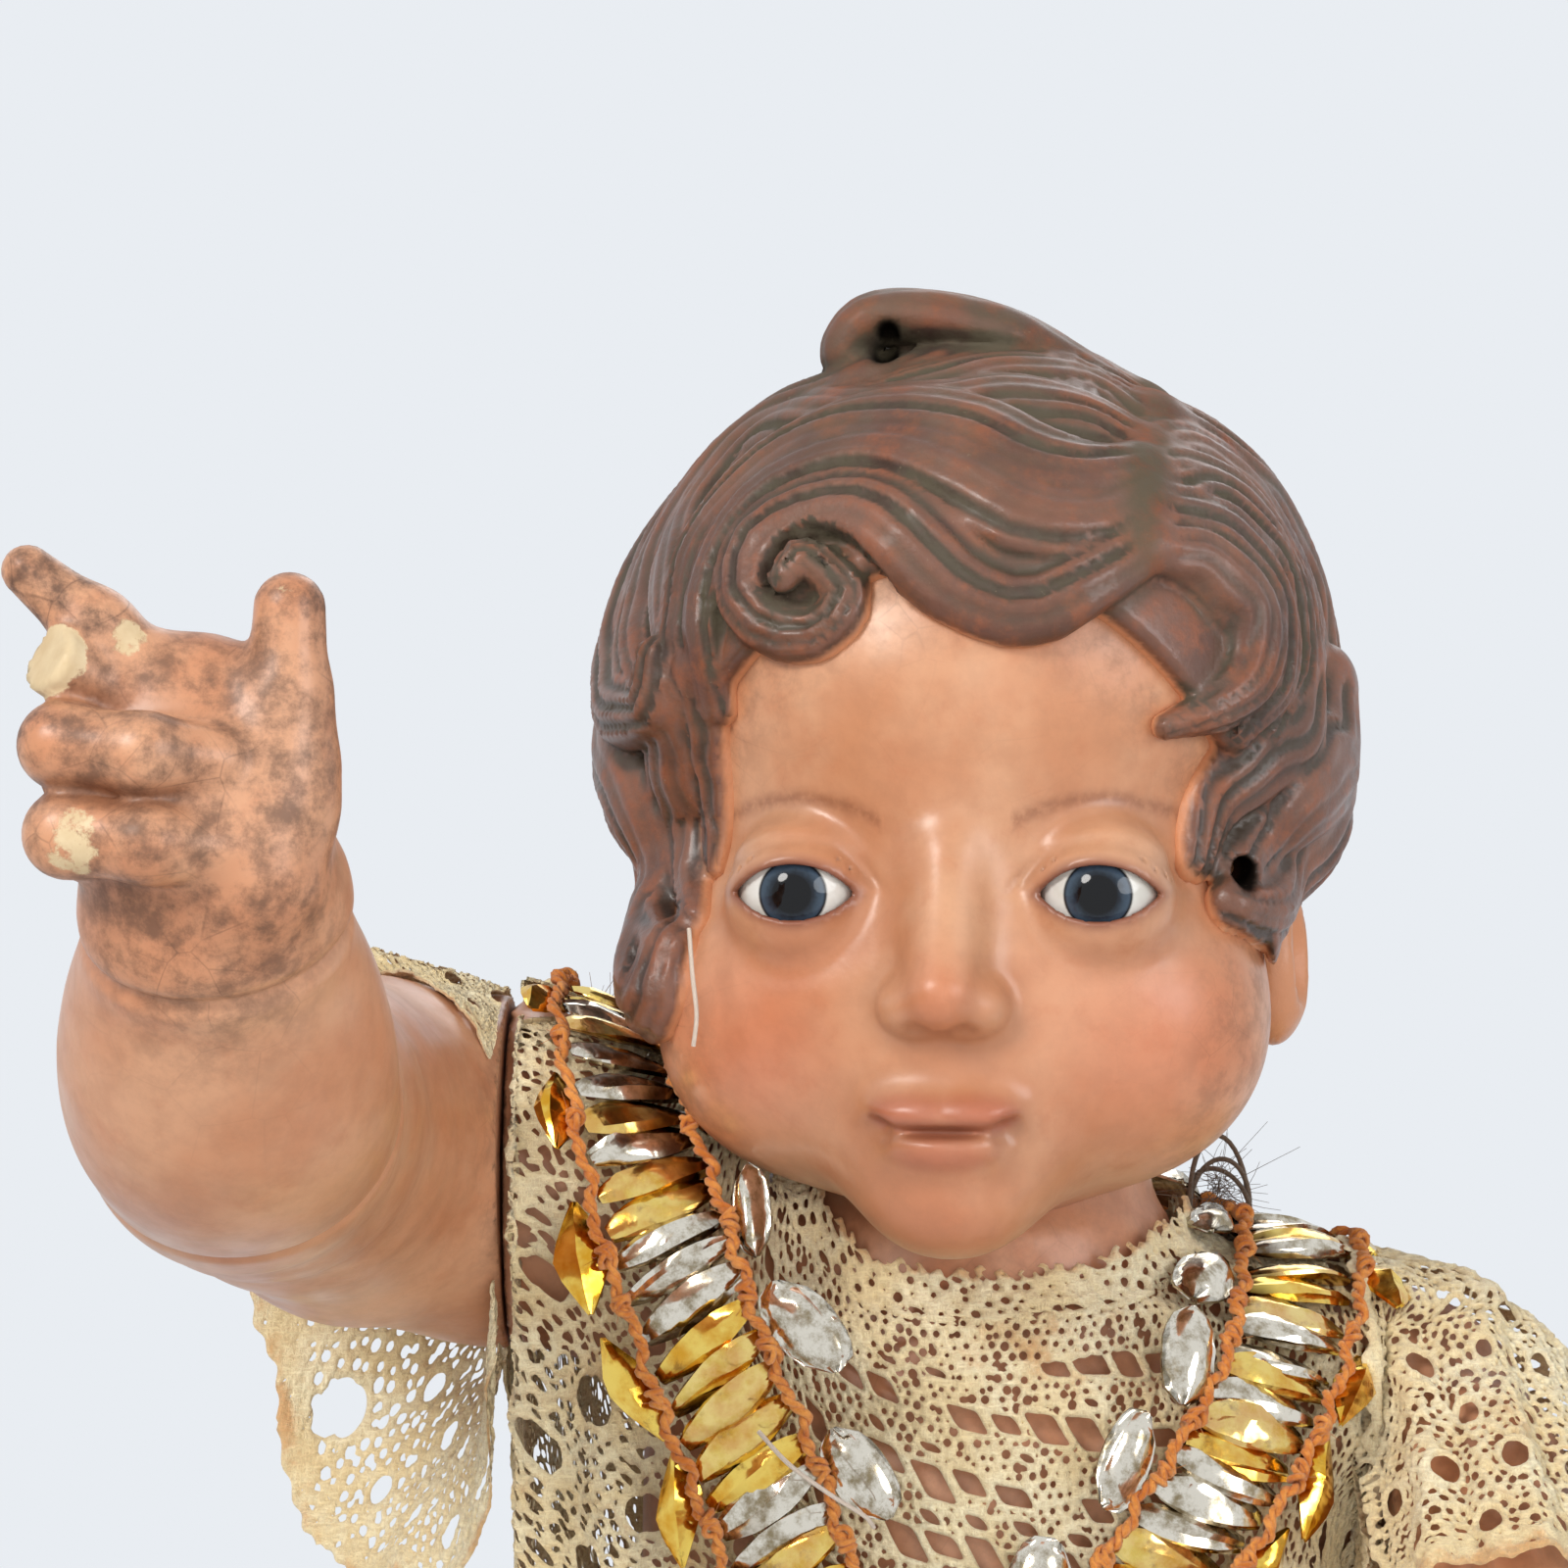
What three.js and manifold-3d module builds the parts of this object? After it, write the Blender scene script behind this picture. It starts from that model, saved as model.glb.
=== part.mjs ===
// Standing Christ child figure: carved and painted wood with pegged arms and glass eyes,
// dressed in lace with a foil garland round the neck. Millimetres, +Z up, the figure faces -Y,
// +X is the figure's left, and the origin is the centre of the base's underside.
import * as THREE from 'three';
import { mergeVertices } from 'three/addons/utils/BufferGeometryUtils.js';
import Module from 'manifold-3d';

const wasm = await Module();
wasm.setup();
const { Vector3 } = THREE;
const vec = (x, y, z) => new Vector3(x, y, z);
const UP = vec(0, 0, 1);
const ACROSS = vec(1, 0, 0);

// Clearances
const FIT = 0.3; // between pieces that are glued, pegged or strung together
const WORN = 0.6; // between the painted wood and the lace that lies on it
const LACE = 1.2; // thickness of the lace, its threads and knots included

// Base and dowels
const BASE_RADIUS = 60;
const BASE_TOP_RADIUS = 52;
const BASE_HEIGHT = 28;
const BASE_FILLET = 5;
const DOWEL_RADIUS = 3.5;
const DOWEL_DEPTH = 16; // in each of the two pieces that a dowel joins
const PEG_RADIUS = 6;
const PEG_DEPTH = 13;

// Legs and feet, the right leg mirrors the left
const LEG_SPREAD = 18.5; // from the middle to each leg's centre line
const HIP_HEIGHT = 218;
const THIGH_RADIUS = 18;
const KNEE_RADIUS = 13.5;
const CALF_RADIUS = 14.5;
const ANKLE_RADIUS = 9.5;
const FOOT_LENGTH = 44;
const FOOT_WIDTH = 19;
const FOOT_DEPTH = 12;
const FOOT_SPLAY = 5; // how far the toes turn out

// Trunk: height, half-width and half-depth at each level
const TRUNK_Y = 2;
const CROTCH = { z: 204, x: 30, y: 26 };
const HIPS = { z: 250, x: 39, y: 33 };
const BELLY = { z: 300, x: 37.5, y: 35 };
const RIBS = { z: 332, x: 36.5, y: 30 };
const CHEST = { z: 352, x: 36, y: 26 };
const COLLAR = { z: 376, x: 18, y: 16.5 };
const NECK_RADIUS = 18.5;
const NECK_TOP = 384;

// Shoulders: the right one is lifted with its arm
const RIGHT_SHOULDER = vec(-50, 0, 380);
const RIGHT_SHOULDER_RADIUS = 18.5;
const LEFT_SHOULDER = vec(42, 4, 354);
const LEFT_SHOULDER_RADIUS = 14;
const GIRDLE_FALL = 0.5; // share of the way to the left over which the lifted shoulder drops
const YOKE = { z: 364, x: 31, y: 17 }; // slope from the neck to the shoulders

// Right arm, raised forward
const RIGHT_ELBOW = vec(-70, -68, 392);
const RIGHT_WRIST = vec(-68, -98, 411);
const UPPER_ARM_RADIUS = 15;
const ELBOW_RADIUS = 13;
const WRIST_RADIUS = 11;
const PALM_WIDTH = 21;
const PALM_DEPTH = 9;
const PALM_HEIGHT = 19;
const FINGER_RADIUS = 2.9;
const THUMB_RADIUS = 3.2;
const INDEX_LENGTH = 14;
const THUMB_LENGTH = 17;

// Left arm, bent forward inside its sleeve
const LEFT_ELBOW = vec(52.5, -36, 321);
const LEFT_WRIST = vec(53, -70, 325);
const LEFT_ARM_RADIUS = 7.8;
const LEFT_FOREARM_RADIUS = 9.4;
const LEFT_WRIST_RADIUS = 7.6;

// Head, in its own frame: x to the figure's left, y to the back, z up, from the head's centre
const HEAD_CENTRE = vec(0, 2, 424);
const HEAD_TURN = THREE.MathUtils.degToRad(-7.5);
const SKULL = { at: vec(0, 4, 4.5), size: vec(33, 42, 36) };
const BROW = { at: vec(0, -12, 8), size: vec(30, 29, 25) };
const FACE = { at: vec(0, -11, -20), size: vec(30, 31, 28) };
const CHEEK = { at: vec(16.5, -22, -27), size: vec(14.5, 15, 14.5) };
const MUZZLE = { at: vec(0, -28, -33), size: vec(14, 13, 11) };
const CHIN = { at: vec(0, -33.5, -42), size: vec(9, 8.5, 7.5) };
const NOSE_BRIDGE = { at: vec(0, -38.8, -10), radius: 2.3 };
const NOSE_TIP = { at: vec(0, -45.4, -22.6), radius: 3.8 };
const NOSTRIL = { at: vec(4.1, -42.6, -24), size: vec(3, 3.5, 2.6) };
const UPPER_LIP = { at: vec(2.7, -41.8, -34.4), size: vec(5.4, 3.2, 2) };
const LOWER_LIP = { at: vec(0, -41.4, -38), size: vec(5.6, 3.4, 2.2) };
const LIP_LINE = { at: vec(0, -45.2, -36.1), size: vec(7.4, 2.4, 0.5) };
const EYE = { at: vec(15, -34.6, -13), radius: 6.6 };
const EYE_OPENING = { width: 11.5, height: 6.4 };
const LID = 1; // thickness of the carved lid over the glass
const SOCKET = { at: vec(14.5, -48, -11.5), size: vec(11, 9.5, 7.5) };
const SKIN_BLEND = 7;
const FEATURE_BLEND = 2.2;

// Hair: a carved cap with raised locks, and the oval where the sawn face is set in
const HAIR_DEPTH = 5.2;
const HAIRLINE = { z: -19, x: 29, up: 36, down: 44 }; // oval round the face
const MASK_BACK = -12; // the saw cut behind the face
const NAPE = -34;
const LOCK_SINK = 0.45; // share of a lock's depth that lies inside the cap
const CURL = { at: [-21, 25], radius: 9 }; // spiral curl over the right eye, in degrees

// Dress
const DRESS_TOP = 366;
const HEM = { z: 84, x: 62, y: 55 };
const SKIRT = { z: 200, x: 52, y: 46 };
const WAIST_EASE = 1.2; // how loosely the lace lies on the trunk
const FOLDS = 8;
const FOLD_DEPTH = 4.2; // at the hem
const HEM_BAND = 5;
const SKIRT_SEAM = 252; // where the four gores of the skirt are sewn to the bodice
const NECK_BAND = { width: 5, thickness: 1.6 };
const NECKLINE_EASE = 1.6; // between the neck and its band
const DRAPE = [ // loose cloth that hangs below the raised arm: middle, half width and half depth by level
  { z: 280, x: -24, wide: 9, deep: 15 },
  { z: 306, x: -31, wide: 12, deep: 20 },
  { z: 334, x: -37.5, wide: 14, deep: 22 },
  { z: 358, x: -40, wide: 14, deep: 20 },
  { z: 376, x: -40, wide: 13, deep: 15 },
];
const RIGHT_SLEEVE = { at: vec(-65, -4, 369), reach: 21, drop: 33 };
const RIGHT_SLEEVE_OUT = vec(-0.69, 0.72, 0);
const SLEEVE_FLARE = 3.4;
const SLEEVE_FLUTES = 5;

// Garland: its centre line is laid on the dress
const GARLAND_CORD_RADIUS = 0.9;
const GARLAND_THREAD_RADIUS = 0.5;
const RUNG_REACH = 5.2; // half the length of a foil roll
const RUNG_RADIUS = 1.5;
const RUNG_END = 0.55; // share of its thickness that the foil keeps where it turns back
const RUNG_COUNT = 38; // passes of foil, an even count
const LEAF_COUNT = 16;
const LEAF = { length: 9.5, width: 3.2, thickness: 1.2 };
const LEAF_ROOM = 0.6; // least share of its spacing that a leaf needs on the inside of a bend
const GARLAND_LIFT = 2.5; // from the lace to the foil's middle
const GARLAND_ROUTE = [
  [0, 31, 362], [-17, 29, 368], [-30, 19, 382], [-37, 4, 393], [-37, -11, 391], [-34, -23, 380],
  [-29, -29, 366], [-23, -31, 351], [-18.5, -33, 336], [-14.5, -35, 323], [-5, -36, 312.5], [5, -35, 321.5],
  [12, -34, 335.5], [19.5, -32, 346], [26.5, -29, 354.5], [31, -22, 363], [33.5, -9, 369.5], [33, 5, 371],
  [28, 18, 370], [18, 27, 366],
].map((p) => vec(...p));

// Colours
const FLESH = { color: 0xc98a62, roughness: 0.4 };
const BROWN = { color: 0x6b4437, roughness: 0.35 };
const BARE_WOOD = { color: 0xb98f5e, roughness: 0.7 };
const CREAM = { color: 0xd9c79c, roughness: 0.9 };
const GLASS = { color: 0x23282c, roughness: 0.05 };
const WAX = { color: 0x8a6a42, roughness: 0.6 };
const ORANGE = { color: 0xb8651f, roughness: 0.85 };
const GOLD = { color: 0xd9a93a, roughness: 0.25, metalness: 1 };
const SILVER = { color: 0xcfc7b4, roughness: 0.25, metalness: 1 };

// Solids
function shape(points, faces) {
  let volume = 0;
  for (let i = 0; i < faces.length; i += 3) {
    const [a, b, c] = [points[faces[i]], points[faces[i + 1]], points[faces[i + 2]]];
    volume += a.dot(b.clone().cross(c));
  }
  const geometry = new THREE.BufferGeometry().setFromPoints(points);
  geometry.setIndex(volume > 0 ? faces : faces.toReversed());
  return geometry;
}

function solid(geometry) {
  const bare = geometry.clone();
  for (const name of Object.keys(bare.attributes)) {
    if (name !== 'position') bare.deleteAttribute(name);
  }
  const merged = mergeVertices(bare, 1e-4);
  const corners = [];
  const index = merged.index.array;
  for (let i = 0; i < index.length; i += 3) {
    const [a, b, c] = [index[i], index[i + 1], index[i + 2]];
    if (a !== b && b !== c && c !== a) corners.push(a, b, c);
  }
  const vertProperties = new Float32Array(merged.attributes.position.array);
  return new wasm.Manifold(new wasm.Mesh({ numProp: 3, vertProperties, triVerts: new Uint32Array(corners) }));
}

function join(solids) {
  return solids.reduce((sum, one) => sum.add(one));
}

// The main body of a cut, without the slivers that trimming leaves
function trimmed(body) {
  return body.decompose().reduce((best, one) => (one.volume() > best.volume() ? one : best));
}

function geometryOf(body) {
  const { vertProperties, triVerts } = body.getMesh();
  const geometry = new THREE.BufferGeometry();
  geometry.setAttribute('position', new THREE.BufferAttribute(new Float32Array(vertProperties), 3));
  geometry.setIndex(new THREE.BufferAttribute(new Uint32Array(triVerts), 1));
  return geometry;
}

function bandFaces(rings, sides, closed) {
  const faces = [];
  const last = closed ? rings : rings - 1;
  for (let r = 0; r < last; r += 1) {
    for (let i = 0; i < sides; i += 1) {
      const a = r * sides + i;
      const b = r * sides + ((i + 1) % sides);
      const c = ((r + 1) % rings) * sides + i;
      const d = ((r + 1) % rings) * sides + ((i + 1) % sides);
      faces.push(a, b, d, a, d, c);
    }
  }
  return faces;
}

// A skin through rings of points, with both ends closed
function loft(rings) {
  const sides = rings[0].length;
  const points = rings.flat();
  const faces = bandFaces(rings.length, sides, false);
  for (const [ring, turned] of [[0, true], [rings.length - 1, false]]) {
    const middle = rings[ring].reduce((sum, p) => sum.add(p), vec(0, 0, 0)).divideScalar(sides);
    for (let i = 0; i < sides; i += 1) {
      const a = ring * sides + i;
      const b = ring * sides + ((i + 1) % sides);
      faces.push(points.length, ...(turned ? [b, a] : [a, b]));
    }
    points.push(middle);
  }
  return shape(points, faces);
}

// A skin through rings that run round and meet themselves
function hoop(rings) {
  return shape(rings.flat(), bandFaces(rings.length, rings[0].length, true));
}

function ellipse(centre, u, v, sides) {
  const points = [];
  for (let i = 0; i < sides; i += 1) {
    const turn = (i / sides) * 2 * Math.PI;
    points.push(centre.clone().addScaledVector(u, Math.cos(turn)).addScaledVector(v, Math.sin(turn)));
  }
  return points;
}

// A rounded limb through stations of [point, half-width, half-depth]
function limb(stations, { sides = 12, grow = 0, across = ACROSS, start = null, blunt = 0 } = {}) {
  const rings = stations.map(([at, width, depth = width], i) => {
    const before = stations[Math.max(i - 1, 0)][0];
    const after = stations[Math.min(i + 1, stations.length - 1)][0];
    const along = i === 0 && start ? start.clone() : after.clone().sub(before).normalize();
    const u = across.clone().addScaledVector(along, -across.dot(along)).normalize();
    const v = along.clone().cross(u);
    const end = i === stations.length - 1 ? grow : 0;
    const centre = at.clone().addScaledVector(along, i === 0 ? -grow : end);
    return ellipse(centre, u.multiplyScalar(width + grow), v.multiplyScalar(depth + grow), sides);
  });
  if (blunt) {
    const tip = rings.at(-1);
    const middle = tip.reduce((sum, p) => sum.add(p), vec(0, 0, 0)).divideScalar(tip.length);
    const along = stations.at(-1)[0].clone().sub(stations.at(-2)[0]).normalize();
    const cap = (share, reach) => tip.map((p) => p.clone().lerp(middle, share).addScaledVector(along, reach));
    rings.push(cap(0.3, blunt * 0.7), cap(0.7, blunt));
  }
  return solid(loft(rings));
}

function rod(from, to, radius, sides = 16) {
  const length = from.distanceTo(to);
  const geometry = new THREE.CylinderGeometry(radius, radius, length, sides);
  const turn = new THREE.Quaternion().setFromUnitVectors(vec(0, 1, 0), to.clone().sub(from).normalize());
  geometry.applyQuaternion(turn);
  geometry.translate(...from.clone().lerp(to, 0.5).toArray());
  return solid(geometry);
}

function box(low, high) {
  const size = high.clone().sub(low);
  const geometry = new THREE.BoxGeometry(...size.toArray());
  geometry.translate(...low.clone().add(high).multiplyScalar(0.5).toArray());
  return solid(geometry);
}

function ovoid(centre, size) {
  const ball = new THREE.SphereGeometry(1, 14, 8);
  ball.scale(...size.toArray());
  ball.translate(...centre.toArray());
  return solid(ball);
}

// What lies further out than an upright plane on the figure's left (1) or right (-1)
function beyond(body, plane, side) {
  const reach = 500;
  const far = plane - side * reach;
  return body.subtract(box(vec(Math.min(plane, far), -reach, 0), vec(Math.max(plane, far), reach, reach)));
}

// Trunk, neck, legs and feet, all carved from one block
const mix = THREE.MathUtils.lerp;
const ease = THREE.MathUtils.smoothstep;
const TRUNK_LEVELS = [CROTCH, HIPS, BELLY, RIBS, CHEST, COLLAR];

function levelRing(level, ease, sides, wave = () => 0) {
  const points = [];
  for (let i = 0; i < sides; i += 1) {
    const turn = (i / sides) * 2 * Math.PI;
    const out = ease + wave(turn);
    points.push(vec((level.x + out) * Math.cos(turn), TRUNK_Y + (level.y + out) * Math.sin(turn), level.z));
  }
  return points;
}

// Shoulder girdle, from the flat face under one arm to the flat face under the other
const GIRDLE_STATIONS = 7;
function girdleCentre(x) {
  const share = (x - RIGHT_SHOULDER.x) / (LEFT_SHOULDER.x - RIGHT_SHOULDER.x);
  const lift = (RIGHT_SHOULDER.z - LEFT_SHOULDER.z) * (1 - ease(share, 0, GIRDLE_FALL));
  return vec(x, mix(RIGHT_SHOULDER.y, LEFT_SHOULDER.y, share), LEFT_SHOULDER.z + lift);
}

function girdle(grow) {
  const sides = 16;
  const rings = [];
  for (let i = 0; i < GIRDLE_STATIONS; i += 1) {
    const share = i / (GIRDLE_STATIONS - 1);
    const centre = girdleCentre(mix(RIGHT_SHOULDER.x, LEFT_SHOULDER.x, share));
    const radius = mix(RIGHT_SHOULDER_RADIUS, LEFT_SHOULDER_RADIUS, share) + grow;
    rings.push(ellipse(centre, vec(0, radius, 0), vec(0, 0, radius), sides));
  }
  return solid(loft(rings));
}

function trunk(grow) {
  return solid(loft(TRUNK_LEVELS.map((level) => levelRing(level, grow, 24))));
}

// Slope from the chest and shoulders up to the neck
const NECK_Y = TRUNK_Y + 2;
function yoke(grow) {
  const at = (z) => vec(0, NECK_Y, z);
  return limb(
    [
      [at(CHEST.z), YOKE.x, YOKE.y],
      [at(YOKE.z), YOKE.x, YOKE.y],
      [at(mix(YOKE.z, NECK_TOP, 0.5)), NECK_RADIUS, NECK_RADIUS],
    ],
    { grow, sides: 16 },
  );
}

function neck(grow) {
  const ends = [YOKE.z, NECK_TOP].map((z) => [vec(0, NECK_Y, z), NECK_RADIUS]);
  return limb(ends, { grow, sides: 16 });
}

function footCentre(side) {
  return vec(side * LEG_SPREAD, TRUNK_Y, BASE_HEIGHT + FIT);
}

function leg(side) {
  const at = (y, z) => vec(side * LEG_SPREAD, TRUNK_Y + y, z);
  const knee = mix(BASE_HEIGHT, HIP_HEIGHT, 0.5);
  return limb(
    [
      [at(1, HIP_HEIGHT + 8), THIGH_RADIUS],
      [at(0, mix(knee, HIP_HEIGHT, 0.55)), THIGH_RADIUS],
      [at(-2, knee), KNEE_RADIUS],
      [at(2, mix(BASE_HEIGHT, knee, 0.62)), CALF_RADIUS],
      [at(4, mix(BASE_HEIGHT, knee, 0.24)), ANKLE_RADIUS],
      [at(4, BASE_HEIGHT + FOOT_DEPTH * 0.6), ANKLE_RADIUS],
    ],
    { sides: 12 },
  );
}

function foot(side) {
  const sole = footCentre(side);
  const heel = FOOT_LENGTH * 0.36;
  const toe = FOOT_LENGTH - heel;
  const station = (y, turnOut, width, depth) => [
    sole.clone().add(vec(side * turnOut, y, depth * 0.55)), width / 2, depth / 2,
  ];
  const body = limb(
    [
      station(heel, 0, FOOT_WIDTH * 0.55, FOOT_DEPTH * 0.8),
      station(heel * 0.6, 0, FOOT_WIDTH * 0.8, FOOT_DEPTH * 1.3),
      station(-toe * 0.2, FOOT_SPLAY * 0.4, FOOT_WIDTH * 0.9, FOOT_DEPTH * 1.25),
      station(-toe * 0.7, FOOT_SPLAY * 0.8, FOOT_WIDTH, FOOT_DEPTH * 0.85),
      station(-toe, FOOT_SPLAY, FOOT_WIDTH * 0.75, FOOT_DEPTH * 0.5),
    ],
    { sides: 12 },
  );
  const under = vec(BASE_RADIUS, BASE_RADIUS, 0);
  return body.subtract(box(under.clone().negate().setZ(0), under.clone().setZ(sole.z)));
}

// An upright dowel reaches as far into the piece above a joint as into the one below
function dowel(joint, grow) {
  const reach = vec(0, 0, DOWEL_DEPTH + grow);
  return rod(joint.clone().sub(reach), joint.clone().add(reach), DOWEL_RADIUS + grow);
}

const footDowel = (side, grow) => dowel(footCentre(side), grow);
const neckDowel = (grow) => dowel(vec(0, NECK_Y, NECK_TOP), grow);

// A shoulder peg lies on its joint's axis, half in the trunk and half in the arm
function peg(shoulder, grow) {
  const reach = vec(PEG_DEPTH + grow, 0, 0);
  return rod(shoulder.clone().sub(reach), shoulder.clone().add(reach), PEG_RADIUS + grow);
}

const SIDES = [-1, 1];
const bare = (grow) => join([trunk(grow), girdle(grow), yoke(grow), neck(grow)]);
const torso = join([bare(0), ...SIDES.map(leg), ...SIDES.map(foot)])
  .subtract(peg(RIGHT_SHOULDER, FIT))
  .subtract(peg(LEFT_SHOULDER, FIT))
  .subtract(neckDowel(FIT))
  .subtract(footDowel(-1, FIT))
  .subtract(footDowel(1, FIT));

// Base, a turned plinth with a hollow moulding
function basePlinth() {
  const waist = BASE_HEIGHT * 0.5;
  const hollow = BASE_TOP_RADIUS - BASE_FILLET;
  const outline = new THREE.Path();
  outline.moveTo(0, 0);
  outline.lineTo(BASE_RADIUS, 0);
  outline.lineTo(BASE_RADIUS, BASE_FILLET);
  outline.quadraticCurveTo(BASE_RADIUS, BASE_FILLET * 2, BASE_RADIUS - BASE_FILLET, BASE_FILLET * 2);
  outline.quadraticCurveTo(hollow, waist, hollow, waist + BASE_FILLET);
  outline.lineTo(BASE_TOP_RADIUS, waist + BASE_FILLET);
  outline.lineTo(BASE_TOP_RADIUS, BASE_HEIGHT - BASE_FILLET / 2);
  outline.lineTo(BASE_TOP_RADIUS - BASE_FILLET / 2, BASE_HEIGHT);
  outline.lineTo(0, BASE_HEIGHT);
  const turned = new THREE.LatheGeometry(outline.getPoints(3), 20);
  turned.rotateX(Math.PI / 2);
  return solid(turned).subtract(footDowel(-1, FIT)).subtract(footDowel(1, FIT));
}

// Arms: each has a round shoulder, cut flat on the plane where it turns against the trunk
function rightArm(grow) {
  const from = RIGHT_SHOULDER.clone().add(vec(-FIT, 0, 0));
  const elbow = RIGHT_ELBOW;
  const at = (x, y, z) => vec(mix(from.x, elbow.x, x), mix(from.y, elbow.y, y), mix(from.z, elbow.z, z));
  const size = vec(RIGHT_SHOULDER_RADIUS, RIGHT_SHOULDER_RADIUS, RIGHT_SHOULDER_RADIUS).addScalar(grow);
  const body = limb(
    [
      [at(0.42, 0, 0.1), RIGHT_SHOULDER_RADIUS * 0.9],
      [at(0.75, 0.18, 0.3), UPPER_ARM_RADIUS * 1.13],
      [at(0.98, 0.45, 0.6), UPPER_ARM_RADIUS],
      [at(1.03, 0.75, 0.85), UPPER_ARM_RADIUS * 0.93],
      [elbow, ELBOW_RADIUS],
      [elbow.clone().lerp(RIGHT_WRIST, 0.5).add(vec(0, -3, -1)), ELBOW_RADIUS * 0.96],
      [RIGHT_WRIST, WRIST_RADIUS],
    ],
    { grow, across: UP, sides: 12 },
  );
  return beyond(body.add(ovoid(from, size)), from.x + grow, -1);
}

// A hand: palm, stretched index and thumb, a broken middle finger and two curled fingers
function rightHand() {
  const palm = RIGHT_WRIST.clone().add(vec(-0.6, -7, PALM_HEIGHT * 0.55));
  const at = (x, y, z) => palm.clone().add(vec(x * PALM_WIDTH, y * PALM_DEPTH, z * PALM_HEIGHT));
  const heel = limb(
    [
      [RIGHT_WRIST.clone().add(vec(0, 1, -4)), WRIST_RADIUS, WRIST_RADIUS],
      [at(0, 0.2, -0.35), PALM_WIDTH * 0.5, PALM_DEPTH * 0.75],
      [at(0, 0, 0.1), PALM_WIDTH * 0.5, PALM_DEPTH * 0.62],
      [at(-0.12, 0, 0.5), PALM_WIDTH * 0.36, PALM_DEPTH * 0.45],
    ],
    { sides: 12, blunt: 2 },
  );
  const finger = (points, radius, blunt = radius) => limb(
    points.map((p, i) => [p, radius * (1 - 0.1 * i)]),
    { sides: 7, across: vec(0.4, 1, 0.1).normalize(), blunt },
  );
  const indexBase = at(-0.18, -0.1, 0.48);
  const indexWay = vec(-0.82, -0.14, 0.55).normalize();
  const straight = (base, way, length) => [0, 0.5, 1].map(
    (share) => base.clone().addScaledVector(way, length * share),
  );
  const index = finger(straight(indexBase, indexWay, INDEX_LENGTH), FINGER_RADIUS);
  const thumbBase = at(0.32, -0.1, -0.12);
  const thumbWay = vec(0.06, -0.08, 1).normalize();
  const thumb = finger(straight(thumbBase, thumbWay, THUMB_LENGTH), THUMB_RADIUS);
  const stump = finger([at(-0.36, -0.1, 0.4), at(-0.44, -0.55, 0.46)], FINGER_RADIUS, 0.4);
  const curled = [0.16, -0.2].map((z) => finger(
    [at(-0.46, -0.2, z), at(-0.4, -0.75, z + 0.02), at(-0.1, -0.85, z - 0.02), at(0.12, -0.55, z - 0.06)],
    FINGER_RADIUS * 1.1,
  ));
  return join([heel, index, thumb, stump, ...curled]);
}

function leftUpperArm() {
  const middle = LEFT_SHOULDER.x + FIT + LEFT_ARM_RADIUS;
  const at = (share) => vec(
    mix(middle, LEFT_ELBOW.x, share),
    mix(LEFT_SHOULDER.y, LEFT_ELBOW.y, share),
    mix(LEFT_SHOULDER.z, LEFT_ELBOW.z, share * share),
  );
  return [
    [at(0.05), LEFT_SHOULDER_RADIUS * 0.85, LEFT_ARM_RADIUS],
    [at(0.35), LEFT_SHOULDER_RADIUS * 0.8, LEFT_ARM_RADIUS],
    [at(0.65), LEFT_ARM_RADIUS * 1.3, LEFT_ARM_RADIUS],
  ];
}

function leftDome(grow) {
  const reach = vec(LEFT_ARM_RADIUS * 2, LEFT_SHOULDER_RADIUS, LEFT_SHOULDER_RADIUS);
  return ovoid(LEFT_SHOULDER, reach.addScalar(grow));
}

function leftArm(grow) {
  const middle = LEFT_ELBOW.clone().lerp(LEFT_WRIST, 0.5);
  const forearm = [LEFT_ELBOW, middle].map((at) => [at, LEFT_FOREARM_RADIUS]);
  const stations = [...leftUpperArm(), ...forearm, [LEFT_WRIST, LEFT_WRIST_RADIUS]];
  const body = limb(stations, { grow, across: UP, sides: 12 }).add(leftDome(grow));
  return beyond(body, LEFT_SHOULDER.x + FIT - grow, 1);
}

// The left hand lies half open, palm up
function leftHand() {
  const size = PALM_WIDTH * 0.44;
  const at = (x, y, z) => LEFT_WRIST.clone().add(vec(x * size, -y * size, z * size));
  const palm = limb(
    [
      [at(0, -0.3, 0), LEFT_WRIST_RADIUS, LEFT_WRIST_RADIUS],
      [at(0, 0.6, 0), size * 0.9, size * 0.6],
      [at(0, 1.5, 0.05), size, size * 0.45],
      [at(0, 2, 0.1), size * 0.9, size * 0.38],
    ],
    { sides: 12, blunt: 1 },
  );
  const finger = (x, reach) => limb(
    [
      [at(x, 1.7, 0.1), FINGER_RADIUS * 0.8],
      [at(x, 2 + reach * 0.5, 0.2), FINGER_RADIUS * 0.78],
      [at(x, 2 + reach, 0.65), FINGER_RADIUS * 0.7],
    ],
    { sides: 7, blunt: FINGER_RADIUS * 0.7 },
  );
  const fingers = [[-0.68, 0.9], [-0.24, 1.1], [0.22, 1.05], [0.66, 0.8]].map((one) => finger(...one));
  const thumb = limb(
    [
      [at(-0.6, 0.7, 0.3), THUMB_RADIUS * 0.9],
      [at(-0.7, 1.3, 0.9), THUMB_RADIUS * 0.8],
      [at(-0.55, 1.8, 1.2), THUMB_RADIUS * 0.7],
    ],
    { sides: 7, blunt: THUMB_RADIUS * 0.7 },
  );
  return join([palm, ...fingers, thumb]);
}

const rightArmBody = rightArm(0).add(rightHand()).subtract(peg(RIGHT_SHOULDER, FIT));
const leftHandBody = beyond(leftHand(), LEFT_SHOULDER.x + FIT, 1);
const leftArmBody = leftArm(0).add(leftHandBody).subtract(peg(LEFT_SHOULDER, FIT));

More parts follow.
